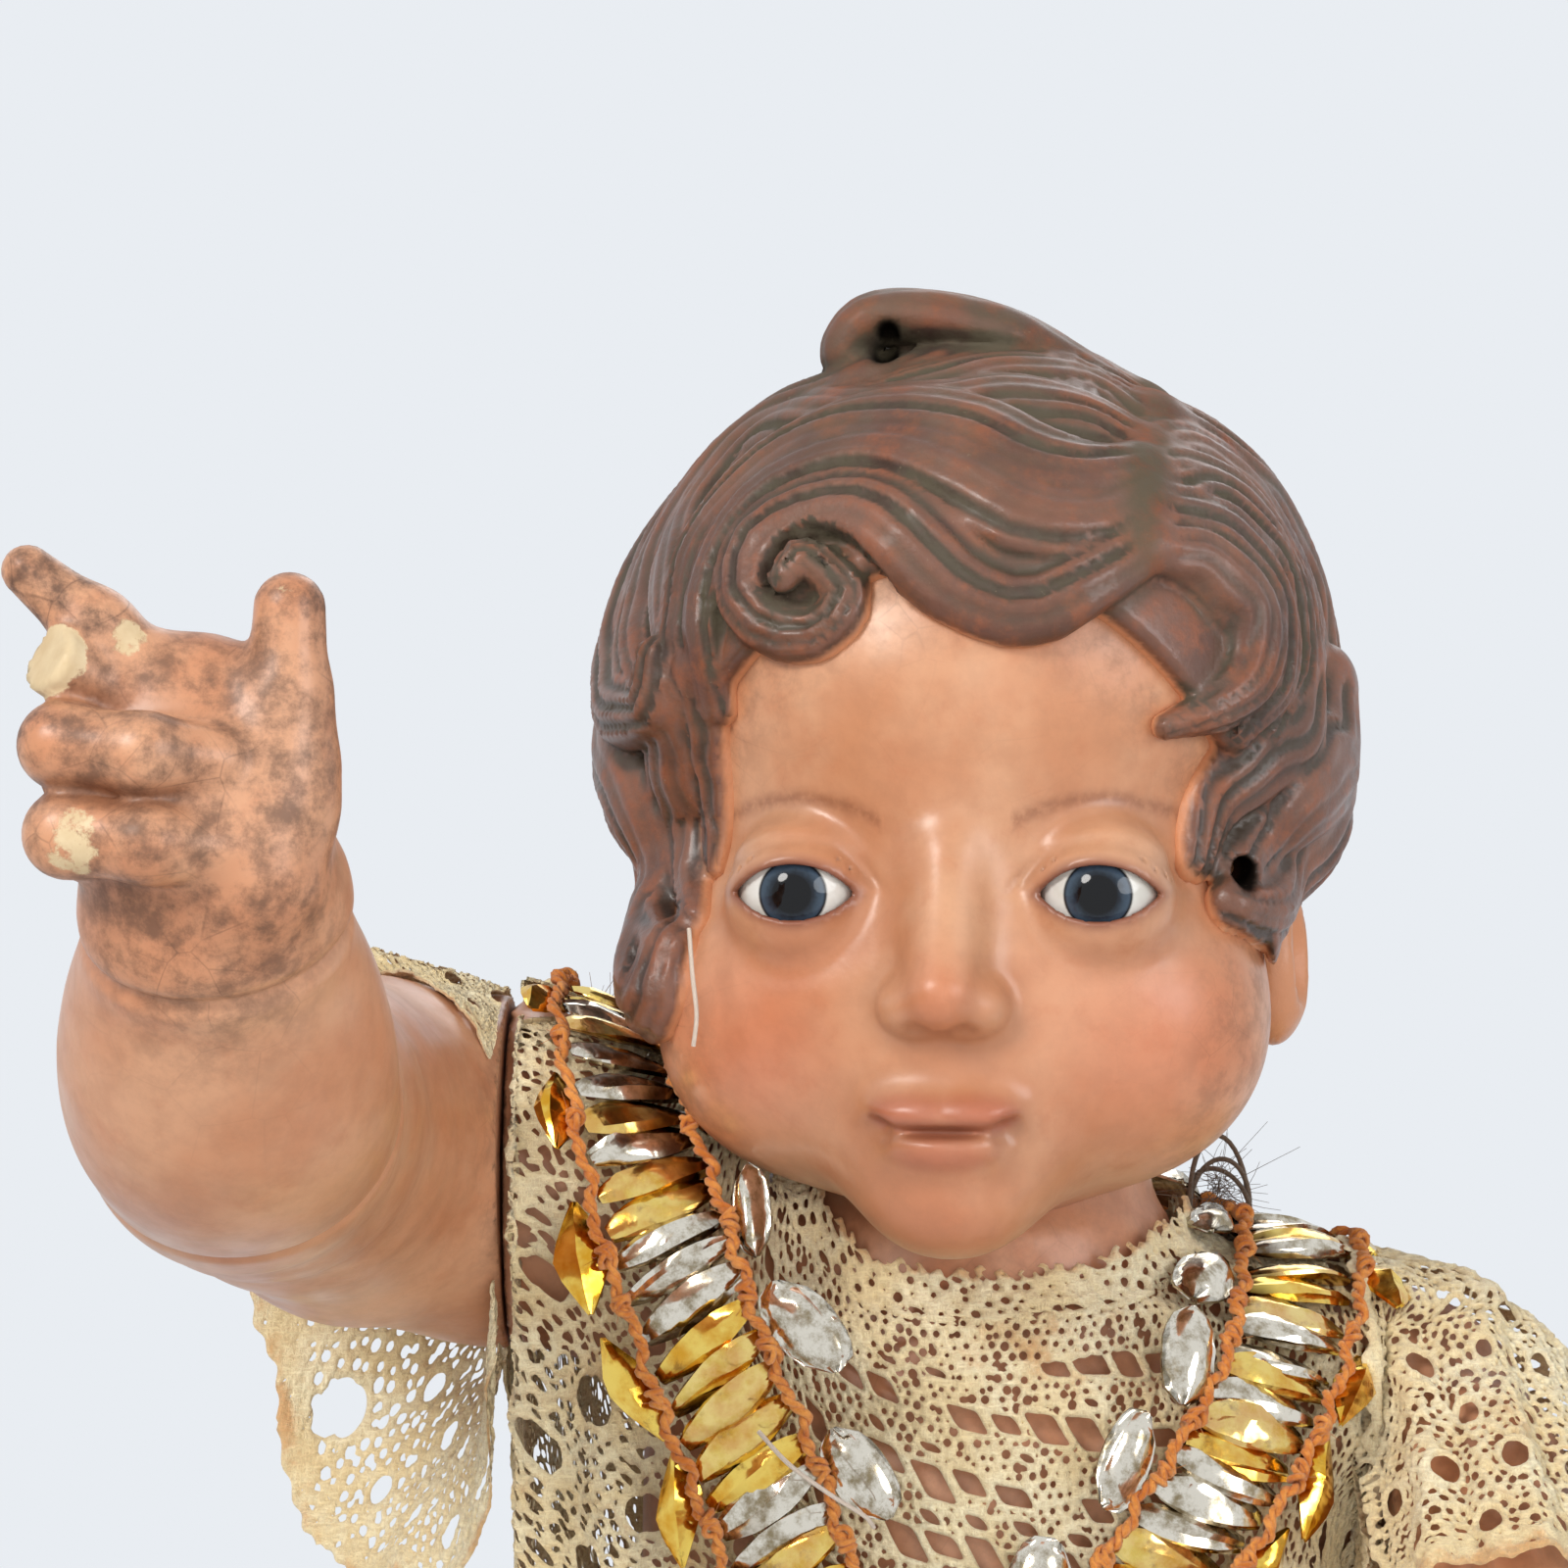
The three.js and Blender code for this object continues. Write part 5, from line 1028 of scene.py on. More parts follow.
def node_tree(*names):
    """A tree for rays against nodes of the CAD part."""
    verts, faces, start = [], [], 0
    for name in names:
        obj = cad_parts[name]
        verts += [obj.matrix_world @ v.co for v in obj.data.vertices]
        faces += [[start + i for i in f.vertices] for f in obj.data.polygons]
        start = len(verts)
    return BVHTree.FromPolygons(verts, faces)


class Garland:
    """The middle line of the garland on the surfaces below it, with its side and outward ways."""
    STEPS, ABOVE, DEEPEST = 76, 20.0, 0.032

    def __init__(self):
        self.tree = node_tree("lace_bodice", "neck_edging", "torso", "lace_sleeve_left")
        at, self.length = closed_spline(ROUTE, self.STEPS)
        along = unit(np.roll(at, -1, 0) - np.roll(at, 1, 0))
        x = np.clip(at[:, 0] * 0.75, RIGHT_X, LEFT_X)
        inside = np.stack([x, np.full(len(at), TRUNK_Y), np.minimum(at[:, 2] - 2, girdle_mid(x)[1])], 1)
        out = at - inside
        out = unit(out - (out * along).sum(1)[:, None] * along)
        seats = [self.seat(*one) for one in zip(at, np.cross(along, out), out)]
        self.rows = [*(np.array(x) for x in zip(*seats)), out]
        for _ in range(9):
            self.rows = [(r * 2 + np.roll(r, 1, 0) + np.roll(r, -1, 0)) / 4 for r in self.rows]

    def under(self, point, out):
        """The surface below a point, or the point itself where there is none near."""
        hit = self.tree.ray_cast(Vector((point + out * self.ABOVE) * MM), Vector(-out))
        return point if hit[0] is None or hit[3] > self.DEEPEST else np.array(hit[0]) / MM

    def seat(self, at, across, out):
        """The ribbon's middle and side way, lifted until no part of its width cuts in."""
        left, right = (self.under(at + across * s, out) for s in (-ROLL_REACH, ROLL_REACH))
        mid, side = (left + right) / 2, unit(right - left)
        gaps = [(self.under(at + across * s, out) - mid - side * s) @ out
                for s in (-GARLAND_HALF, -THREAD_SIDE, 0, THREAD_SIDE, GARLAND_HALF)]
        return mid + out * np.clip(max(gaps), 0, GARLAND_LIFT * 2), side

    def frame(self, share):
        """Centre, side and out at shares of the way round."""
        t = (np.asarray(share, float) % 1.0) * self.STEPS
        i = np.floor(t).astype(int)
        f = (t - i)[..., None]
        got = [r[i % self.STEPS] * (1 - f) + r[(i + 1) % self.STEPS] * f for r in self.rows]
        return got[0], unit(got[1]), unit(got[2])

    def point(self, share, sideways, lift=GARLAND_LIFT):
        c, s, o = self.frame(share)
        return c + s * sideways + o * lift


GARLAND = Garland()


def near_garland(p, reach):
    """How far points lie from the garland's middle line, cut off at a reach."""
    best = np.full(len(p), reach)
    for one in GARLAND.point(np.linspace(0, 1, 160, endpoint=False), 0.0):
        best = np.minimum(best, length(p - one))
    return best


# Lace sheets: a plan of holes on a grid, cut out and laid on a surface
# Loops round each kind of grid cell: corners 0 to 3, and crossings a to d on the edges after them
CASES = {1: "0ad", 2: "1ba", 3: "01bd", 4: "2cb", 5: "0ab2cd", 6: "12ca", 7: "012cd", 8: "3dc", 9: "0ac3",
         10: "1bc3da", 11: "01bc3", 12: "23db", 13: "0ab23", 14: "123da", 15: "0123"}
LEAST_WIDE = 10.0  # a sheet's least declared width


def march(f):
    """Triangles of the part of a grid where f is above zero: grid places, triangles and f at each place."""
    inside = f > 0
    i, j = np.nonzero(inside)
    ids = np.full(f.shape, -1)
    ids[i, j] = np.arange(len(i))
    places, depth, count = [np.stack([i, j], 1).astype(float)], [f[i, j]], len(i)
    crossings = []
    for di, dj in ((1, 0), (0, 1)):
        here, there = f[:f.shape[0] - di, :f.shape[1] - dj], f[di:, dj:]
        i, j = np.nonzero((here > 0) != (there > 0))
        t = here[i, j] / (here[i, j] - there[i, j])
        crossings.append(np.full(here.shape, -1))
        crossings[-1][i, j] = count + np.arange(len(i))
        places.append(np.stack([i + t * di, j + t * dj], 1))
        depth.append(np.zeros(len(i)))
        count += len(i)
    rise, run = crossings
    corner = {"0": ids[:-1, :-1], "1": ids[1:, :-1], "2": ids[1:, 1:], "3": ids[:-1, 1:],
              "a": rise[:, :-1], "b": run[1:], "c": rise[:, 1:], "d": run[:-1]}
    case = inside[:-1, :-1] * 1 + inside[1:, :-1] * 2 + inside[1:, 1:] * 4 + inside[:-1, 1:] * 8
    tris = []
    for number, path in CASES.items():
        i, j = np.nonzero(case == number)
        loop = [corner[k][i, j] for k in path]
        tris += [np.stack([loop[0], loop[k], loop[k + 1]], 1) for k in range(1, len(loop) - 1)]
    return np.concatenate(places), np.concatenate(tris), np.concatenate(depth)


def pinholes(a, s, pitch, low, high, seed=0):
    """Distance to a loose net of small round holes."""
    row = np.floor(s / (pitch * 0.87))
    best = np.full(a.shape, FAR)
    for dr in (-1, 0, 1):
        r = row + dr
        shift = 0.5 * (r % 2)
        col = np.floor(a / pitch - shift)
        for dc in (-1, 0, 1):
            c = col + dc
            jx, jy = hash01(c * 1.7 + r * 57.3, seed), hash01(c * 3.1 + r * 91.7, seed + 1)
            size = mix(low, high, hash01(c * 7.9 + r * 13.1, seed + 2))
            x = (c + shift + 0.5 + (jx - 0.5) * 0.55) * pitch
            y = (r + 0.5 + (jy - 0.5) * 0.55) * pitch * 0.87
            best = np.minimum(best, np.hypot(a - x, (s - y) * 0.9) - size)
    return best


def box2(x, y, w, h, r):
    qx, qy = np.abs(x) - w / 2 + r, np.abs(y) - h / 2 + r
    return np.hypot(np.maximum(qx, 0), np.maximum(qy, 0)) + np.minimum(np.maximum(qx, qy), 0) - r


def ladder(a, s, pitch, period, wide, tall, slant, tilt, seed, skip=0.12):
    """Distance to rows of slanted four-sided holes with thin bars between them."""
    r = s - tilt * a
    row = np.floor(r / pitch)
    y = r - (row + 0.5) * pitch
    best = np.full(a.shape, FAR)
    x = a - slant * y + hash01(row, seed) * period
    col = np.floor(x / period)
    for dc in (-1, 0, 1):
        c = col + dc
        luck = hash01(c * 2.3 + row * 37.7, seed)
        w = wide * mix(0.72, 1.2, hash01(c * 5.1 + row * 11.3, seed + 1))
        h = tall * mix(0.6, 1.25, hash01(c * 3.7 + row * 17.9, seed + 2))
        dy = (hash01(c * 9.1 + row * 5.7, seed + 3) - 0.5) * 1.2
        one = box2(x - (c + 0.5) * period, y - dy, w, h, 0.5)
        best = np.minimum(best, np.where(luck > skip, one, FAR))
    return best


def eyelets(a, s, pitch, rise, wide, tall, seed):
    """Distance to staggered oval holes."""
    row = np.floor(s / rise)
    shift = 0.5 * (row % 2)
    col = np.floor(a / pitch - shift)
    luck = mix(0.55, 1.1, hash01(col * 3.3 + row * 29.1, seed))
    x, y = a - (col + shift + 0.5) * pitch, s - (row + 0.5) * rise
    return (np.hypot(x / wide, y / tall) - luck * 0.5) * min(wide, tall)


def with_net(big, net, rim=0.55):
    """Large holes with a close rim, and a fine net elsewhere."""
    return np.minimum(big, np.where(big < rim, FAR, net))


def bound(f, edge, width, close=0.25):
    """A plan with its holes filled in a band along an edge."""
    return np.where(edge < width, np.maximum(f, close), f)


def least(*fields):
    return np.minimum.reduce(np.broadcast_arrays(*fields))


def cut_lace(low, high, step, plan, where):
    """Cloth places, triangles and depth from the nearest hole of a plan, cut out between two corners."""
    n, m = (int((high[k] - low[k]) / step) + 1 for k in (0, 1))
    a, s = np.meshgrid(low[0] + np.arange(n) * step, low[1] + np.arange(m) * step, indexing="ij")
    f = plan(a, s, where(a.ravel(), s.ravel()).reshape(n, m, 3))
    f[[0, -1], :] = np.minimum(f[[0, -1], :], 0.3)
    places, tris, depth = march(f)
    return low[0] + places[:, 0] * step, low[1] + places[:, 1] * step, tris, depth


def lay(name, low, high, step, plan, where, stain, body, nodes, flat, puff=0.4):
    """A sheet of lace, puffed up between its holes."""
    a, s, tris, depth = cut_lace(low, high, step, plan, where)
    p, e = where(a, s), 0.4
    normal = unit(np.cross(where(a, s + e) - where(a, s - e), where(a + e, s) - where(a - e, s)))
    soft = np.clip(depth / 0.5, 0, 1)
    lift = puff * np.sqrt(soft * (2 - soft)) + 0.12 * wobble(p, 1.3, 5) + 0.3 * wobble(p, 7, 6)
    p = p + normal * lift[:, None]
    used, back = np.unique(tris, return_inverse=True)
    # thick grows with the distance from the nearest hole; the lace paint darkens its low end as painted shade
    values = {"thick": np.clip(depth[used], 0, 1), "stain": stain(s, p)[used]}
    obj = make(name, p[used], back.reshape(tris.shape)[:, ::-1], LACE, values=values)
    put(obj, body, "lace", *nodes)
    width, tall = flat[0] * MM, max(flat[1], LEAST_WIDE) * MM


# Dress surface: rings below the ribs, and a fan of lines over the shoulders up to the neck
DRESS = np.array([HEM, SKIRT, *LEVELS[1:]], float)
AROUND, COLUMNS = 34.0, 360
ROW = 0.5  # spacing of the tables of cloth
DRESS_LOW, DRESS_HIGH = -6.0, 200.0
DRESS_ROWS = np.arange(DRESS_LOW, DRESS_HIGH, ROW)
PIVOT = v3(-3, 2, 330)
FAN_ROWS, LOWER_ROWS = 70, 28
OVER_SKIN, OVER_RING, OVER_DRAPE = 1.9, 2.4, 1.4
# Loose cloth below the raised arm: z, x and half sizes
DRAPE = np.array([[280, -24, 9, 15], [306, -31, 12, 20], [334, -37.5, 14, 22], [358, -40, 14, 20],
                  [376, -40, 13, 15]], float)


def dress_ring(theta, z, out):
    a, b = level_at(z, DRESS)
    wave = FOLD_DEPTH * step01(300 - z, 0, 216) * np.cos(FOLDS * theta + 1.2 * np.sin(theta))
    return np.stack([(a + out + wave) * np.cos(theta), TRUNK_Y + (b + out + wave) * np.sin(theta), z], -1)


def over_body(p):
    x, y, z = p.T
    a, b = level_at(z, DRESS)
    ring = np.maximum(oval(x, y - TRUNK_Y, a + OVER_RING, b + OVER_RING), z - 366)
    at, a, b = (np.interp(z, DRAPE[:, 0], DRAPE[:, k]) for k in (1, 2, 3))
    hung = oval(x - at, y, a + OVER_DRAPE, b + OVER_DRAPE)
    hung = np.maximum(hung, np.maximum(DRAPE[0, 0] - z, z - DRAPE[-1, 0]))
    return smin(smin(ring, upper_body(p) - OVER_SKIN, 4), hung, 4)


def cast(start, ways, far=130.0):
    """Places on the dress along ways from a point inside it."""
    _, out = bisect(lambda m: over_body(start + ways * m[:, None]) > 0, 4.0, far, len(ways), 18)
    return start + ways * out[:, None]


def dress_table():
    """Points of the dress in columns round it and rows down from its neckline, and each column's length."""
    theta = -math.pi + np.arange(COLUMNS + 1) / COLUMNS * TURN - math.pi / 2
    level = unit(np.stack([36.5 * np.cos(theta), 30 * np.sin(theta), 0 * theta], 1))

    def fan(degrees):
        e = np.radians(degrees)[:, None]
        return cast(PIVOT, level * np.cos(e) + v3(0, 0, 1) * np.sin(e))

    def on_neck_skin(degrees):
        p = fan(degrees)
        return np.hypot(p[:, 0], p[:, 1] - NECK_Y) < NECK_RADIUS + 1.5

    top, _ = bisect(on_neck_skin, 20.0, 88.0, len(theta), 20)
    rows = [fan(top * share) for share in np.linspace(1, 0, FAN_ROWS)]
    rows += [cast(v3(*PIVOT[:2], z), level) for z in np.linspace(327, 250, LOWER_ROWS)]
    grid = np.stack(rows, 1)
    i, j = FAN_ROWS - 4, FAN_ROWS + 8
    for _ in range(3):
        grid[:, i:j] = (2 * grid[:, i:j] + grid[:, i - 1:j - 1] + grid[:, i + 1:j + 1]) / 4
    run = run_along(grid, 1)
    radius = np.hypot(grid[..., 0], grid[..., 1] - NECK_Y)
    start = np.array([np.interp(NECKLINE, r[:60], d[:60]) for r, d in zip(radius, run)])
    table = [at_run(DRESS_ROWS + first, d, points) for first, d, points in zip(start, run, grid)]
    return np.stack(table), run[:, -1] - start


def between(table, i, j):
    """Places between the rows and columns of a table of points."""
    i, j = np.clip(i, 0, table.shape[0] - 1.001), np.clip(j, 0, table.shape[1] - 1.001)
    i0, j0 = np.floor(i).astype(int), np.floor(j).astype(int)
    fi, fj = (i - i0)[:, None], (j - j0)[:, None]
    low = table[i0, j0] * (1 - fi) + table[i0 + 1, j0] * fi
    high = table[i0, j0 + 1] * (1 - fi) + table[i0 + 1, j0 + 1] * fi
    return low * (1 - fj) + high * fj


def pleats(a, s, p):
    """Extra lift of the bodice in upright folds, away from the garland and the neck."""
    room = step01(near_garland(p, 40.0), 12, 19) * step01(s, 8, 18)
    side = step01(np.abs(a), 16, 26) * (1 - step01(p[:, 0], 28, 35) * step01(p[:, 2], 288, 298))
    wave = np.cos(TURN * a / 10.5 + 0.8 * np.sin(s / 17.0) + 1.1)
    return 1.5 * room * side * (wave + 0.6)


SIDE_GAP, PRESSED = 1.2, 7.0  # cloth to an arm's cut face, and how much of a fold is pressed flat there


def beside_arms(p):
    """Folds pressed flat where a sleeve turns past them."""
    x, high = p[..., 0], step01(p[..., 2], 290, 300)
    right = np.clip(RIGHT_X + SIDE_GAP - x, 0, PRESSED)
    left = np.clip(x - LEFT_X + SIDE_GAP, 0, PRESSED)
    return p + v3(1, 0, 0) * ((right - left) * high)[..., None]


def off_arm_holes(p):
    """How far cloth beside an arm lies outside the round arm hole."""
    x, y, z = np.moveaxis(p, -1, 0)
    gaps = []
    for shoulder, radius in ((RIGHT_SHOULDER, RIGHT_R), (LEFT_SHOULDER, LEFT_R)):
        gap = np.hypot(y - shoulder[1], z - shoulder[2]) - radius - 0.8
        gaps.append(np.where(np.abs(x - shoulder[0]) < SIDE_GAP + 1.0, gap, FAR))
    return least(*gaps)


def with_pleats(grid):
    turn = np.arange(COLUMNS + 1) / COLUMNS * TURN - math.pi
    a, s = np.meshgrid(turn * AROUND, DRESS_ROWS, indexing="ij")
    normal = unit(np.cross(np.gradient(grid, axis=1), np.gradient(grid, axis=0)))
    lift = pleats(a.ravel(), s.ravel(), grid.reshape(-1, 3)).reshape(a.shape)
    return beside_arms(grid + normal * lift[..., None])


PLAIN_DRESS, DRESS_LENGTH = dress_table()
DRESS_TABLE = with_pleats(PLAIN_DRESS)
NECK_AROUND = 23.0
PANEL = 126.0
CHEST_CUT = 50.0  # seam between the chest and the waist, down from the neckline
HANG_END = 289.0  # where the loose cloth meets the waist


def on_neck(a, s):
    """Places at the neck: a round from the front's middle, s down from the neckline."""
    return between(DRESS_TABLE, (a / NECK_AROUND + math.pi) / TURN * COLUMNS % COLUMNS, (s - DRESS_LOW) / ROW)


def under_garland(z):
    """Where the garland's right strand crosses each height; the loose cloth starts beneath it."""
    return np.interp(z, [288, 323, 336, 351, 366, 380, 391], [-5, -14.5, -18.5, -23, -29, -34, -37])


class Panel:
    """Half of the bodice: a is measured along each level from the panel's middle, s down from the neckline."""

    def __init__(self, middle):
        reach = COLUMNS // 4
        cols = (middle + np.arange(-reach - 6, reach + 7)) % COLUMNS
        rows = DRESS_TABLE[cols]
        centre = len(cols) // 2
        run = run_along(rows)
        run = run - run[centre]
        a = np.arange(-PANEL, PANEL + 0.1, ROW)
        self.table = np.stack([at_run(a, run[:, j], rows[:, j]) for j in range(rows.shape[1])], 1)
        self.low, self.high = run[centre - reach], run[centre + reach]
        self.left, self.right = float(self.low.min()) - 1, float(self.high.max()) + 1

    def where(self, a, s):
        return between(self.table, (a + PANEL) / ROW, (s - DRESS_LOW) / ROW)

    def plan(self, a, s, p):
        seam = np.minimum(np.interp(s, DRESS_ROWS, self.high) - a, a - np.interp(s, DRESS_ROWS, self.low))
        sewn = np.minimum(seam, np.abs(s - CHEST_CUT) + 0.5)
        f = np.minimum(bound(bodice_plan(a, s, p), sewn, 1.2, 0.2), seam + 0.2)
        hung = (p[..., 1] < 0) & (p[..., 2] > HANG_END + 1)
        return np.where(hung, np.minimum(f, p[..., 0] - under_garland(p[..., 2]) + 1.5), f)


class Hang:
    """Cloth that hangs from the right shoulder: a runs from the front to the side, s down from the shoulder."""
    ROUND = 25.0

    def __init__(self):
        turn = np.radians(np.arange(-40, -184, -1.0))
        ways = np.stack([np.cos(turn), np.sin(turn), 0 * turn], 1)
        grid = np.stack([cast(v3(-29, 3, z), ways, 60.0) for z in np.linspace(397.5, 286, 150)], 1)
        z = grid[..., 2]
        lift = np.cos(turn * self.ROUND * TURN / 9.5)[:, None] + 0.5 * np.sin(z / 11 + turn[:, None] * 3)
        room = step01(near_garland(grid.reshape(-1, 3), 40.0).reshape(z.shape), 9, 15) * step01(z, 396, 382)
        grid = beside_arms(grid + ways[:, None] * (1.3 * room * (lift + 0.7) + 0.25)[..., None])
        run = run_along(grid, 1)
        longest = float(run[:, -1].max())
        self.table = np.stack([at_run(np.arange(0, longest, ROW), d, points) for d, points in zip(run, grid)])
        self.size = self.ROUND * math.radians(len(turn) - 1), longest

    def where(self, a, s):
        return between(self.table, np.degrees(a / self.ROUND), s / ROW)

    def plan(self, a, s, p):
        x, y, z = np.moveaxis(p, -1, 0)
        holes = least(eyelets(a + 1.0, s + 2.5, 9.5, 8.6, 3.6, 4.6, 61), eyelets(a + 5.5, s, 9.5, 8.6, 1.9, 1.5, 63))
        f = with_net(holes, pinholes(a, s, 1.34, 0.24, 0.5, 62))
        edge = np.minimum(under_garland(z) + 1.5 - x, off_arm_holes(p))
        beyond = np.where(z > 300, x - RIGHT_X + FIT, FAR)
        return least(bound(f, edge, 1.0), edge, beyond, z - HANG_END, 3.4 - y)


FRONT, BACK, HANG = Panel(COLUMNS // 2), Panel(0), Hang()


# Plans of the lace; each place is given round the body, down it, and in space
def bodice_plan(a, s, p):
    x, y, z = np.moveaxis(p, -1, 0)
    rows = least(ladder(a, s + 0.4, 7.0, 4.2, 3.3, 2.7, 0.6, 0.2, 3, 0.06),
                 ladder(a, s + 3.9, 7.0, 5.2, 1.9, 1.1, 0.7, 0.2, 8, 0.4))
    big = np.where(step01(np.abs(a), 30, 24) > 0.5, rows, eyelets(a + 1.6, s, 9.4, 9.8, 3.9, 4.6, 5))
    big = np.where((s < 5.0) | ((y > 0) & (x < -26)), FAR, big)
    closed = wobble(np.stack([a.ravel(), s.ravel(), 0 * s.ravel()], 1), 11, 4).reshape(a.shape)
    f = with_net(big, pinholes(a, s, 1.3, 0.24, 0.5, 2) + np.clip(closed, 0, 1) * 0.16)
    edge = least(np.where(z > 332, LEFT_X - 0.4 - x, FAR), z - 252.5, off_arm_holes(p))
    beyond = np.where(z > 300, x - RIGHT_X + 0.2, FAR)
    return least(bound(f, edge, 1.2), edge, beyond, s + 0.2)


def neck_plan(a, s, p):
    slots = ladder(a, s + 2.2, 4.6, 3.4, 1.4, 0.9, 0.8, 0.0, 14, 0.35)
    picot = s + 5.2 + 0.35 * np.cos(TURN * a / 1.9) + 0.35 * np.sin(a * 0.9)
    return least(with_net(slots, pinholes(a, s, 1.6, 0.1, 0.5, 12), 0.3), picot, 0.6 - s)


def dress_stain(s, p):
    return 0.16 * wobble(p, 22, 9) + 0.1 * wobble(p, 6, 10)


def neck_stain(s, p):
    return 0.06 + 0.3 * step01(s, -3.4, -5.2) + 0.12 * wobble(p, 8, 11)


# Skirt: four gores in the same lace, with a scalloped hem
SKIRT_R, SKIRT_TOP, SKIRT_LONG = 48.0, 252.0, 168.0
GORE_HALF = SKIRT_R * math.pi / 4
LACE_BAND = 28.0


def on_skirt(u, s):
    return dress_ring(u / SKIRT_R, SKIRT_TOP - s, 2.4)


def skirt_plan(middle):
    def plan(u, s, p):
        down = s % LACE_BAND
        rows = ladder(u, down, LACE_BAND, 5.2, 3.8, 3.0, 0.5, 0.0, 21)
        rows = np.where((down > 9) & (down < 19), rows, FAR)
        holes = np.where((down < 8) | (down > 20), eyelets(u, s, 9.0, 7.0, 4.2, 3.8, 23), FAR)
        f = with_net(np.minimum(rows, holes), pinholes(u, s, 2.1, 0.4, 0.8, 24), 0.8)
        seam = GORE_HALF - np.abs(u - middle * SKIRT_R)
        f = bound(bound(f, seam, 1.4, 0.3), SKIRT_LONG - s, 3.0, 0.3)
        return least(f, seam + 0.1, s - 0.2, SKIRT_LONG - s)
    return plan


def on_hem(u, s):
    return dress_ring(u / SKIRT_R, HEM[0] - s, 2.6)


def hem_plan(u, s, p):
    scallop = 4.2 + 1.6 * np.abs(np.cos(math.pi * u / 7.54)) - s
    holes = eyelets(u, s + 1.2, 3.77, 5.4, 1.9, 1.9, 31)
    return least(with_net(holes, pinholes(u, s, 1.9, 0.3, 0.6, 33), 0.5), scallop, s + 0.3)


# Sleeves
SLEEVE_AT, SLEEVE_REACH, SLEEVE_DROP = v3(-65, -4, 369), 21.0, 33.0
SLEEVE_OUT = unit(v3(-0.69, 0.72, 0))
SLEEVE_ROUND, SLEEVE_LONG = 22.0, 27.0


def on_right_sleeve(u, s):
    """u runs round the mouth from its top, s from the shoulder to the mouth."""
    turn, share = u / SLEEVE_ROUND, np.clip(s / SLEEVE_LONG, -0.1, 1.2)
    c, d = np.cos(turn)[:, None], np.sin(turn)[:, None]
    first = RIGHT_SHOULDER + v3(-0.6, 0, 0) + v3(0, 0, RIGHT_R + 1.5) * c + v3(0, RIGHT_R + 1.5, 0) * d
    last = SLEEVE_AT + v3(-2, 0, SLEEVE_DROP + 0.8) * c + SLEEVE_OUT * (SLEEVE_REACH + 0.8) * d
    radial = unit(last - SLEEVE_AT)
    flute = 1.7 * np.clip(share, 0, 1) * np.cos(turn * 5) + 0.8 * share * np.sin(turn * 11 + 1)
    p = first + (last - first) * share[:, None] + radial * flute[:, None]
    for _ in range(2):
        p = p + radial * np.maximum(0.8 - right_arm(p), 0)[:, None]
    return p


def sleeve_tears(u, s):
    one = np.hypot((u - SLEEVE_ROUND * 2.2) / 1.7, (s - 21) / 2.5) - 1
    return np.minimum(one, np.hypot((u - SLEEVE_ROUND * 3.95) / 1.9, (s - 17) / 2.4) - 1)


def right_sleeve_plan(u, s, p):
    clear = right_arm(p.reshape(-1, 3)).reshape(u.shape) - 0.5
    holes = eyelets(u, s + 3, 9.0, 9.0, 3.6, 4.2, 43)
    open_net = with_net(holes, pinholes(u, s, 1.6, 0.32, 0.58, 41), 0.7)
    close_net = with_net(holes, pinholes(u, s, 1.4, 0.12, 0.42, 44), 0.6)
    low = step01(np.cos(u / SLEEVE_ROUND), -0.2, -0.6) > 0.5
    tear = sleeve_tears(u, s)
    f = np.minimum(np.where(low, open_net, close_net), tear * 1.7)
    rim = SLEEVE_LONG + 0.22 * np.cos(TURN * u / 2.6) + 0.3 * np.sin(u * 0.7) - s
    f = np.where((rim < 3.2) & (tear > 0.1), np.maximum(f, pinholes(u, s, 1.8, 0.1, 0.4, 45)), f)
    return least(f, rim, clear, RIGHT_X - 0.7 - p[..., 0])


def right_stain(s, p):
    return 0.04 + 0.25 * step01(s, 24, SLEEVE_LONG) + 0.12 * wobble(p, 9, 13)


LEFT_STEPS = 60
LEFT_LINE = spline([(38.6, 4, 354), (42.2, 4, 354), (46.5, 3, 354), (50, -1, 353), (51.2, -9, 350), (51.8, -18, 343.5),
                    (52.2, -26.5, 335)], LEFT_STEPS)
LEFT_RADII = np.interp(np.linspace(0, 1, LEFT_STEPS), [0, 0.08, 0.2, 0.33, 0.5, 0.73, 1],
                       [18.8, 17.2, 15.8, 14.2, 12.4, 13.4, 15.2])
LEFT_RUN = run_along(LEFT_LINE)
LEFT_LONG = LEFT_RUN[-1]
LEFT_WAY = unit(np.gradient(LEFT_LINE, axis=0))
LEFT_ROUND = 14.0


def on_left_sleeve(u, s):
    """u runs round the arm from its outer side, s from the shoulder to the mouth."""
    k = np.interp(s, LEFT_RUN, np.arange(LEFT_STEPS))
    i = np.clip(k.astype(int), 0, LEFT_STEPS - 2)
    f = k - i
    at = mix(LEFT_LINE[i], LEFT_LINE[i + 1], f[:, None])
    way = unit(mix(LEFT_WAY[i], LEFT_WAY[i + 1], f[:, None]))
    up = v3(0, 0.35, 1.0)
    up = unit(up - (way @ up)[:, None] * way)
    side = np.cross(up, way)
    turn = u / LEFT_ROUND + math.pi
    flute = np.clip(s / LEFT_LONG + 0.25, 0, 1.1) * (0.9 * np.cos(turn * 9) + 0.4 * np.sin(turn * 17))
    r = mix(LEFT_RADII[i], LEFT_RADII[i + 1], f) + flute
    return at + (up * np.cos(turn)[:, None] + side * np.sin(turn)[:, None]) * r[:, None]


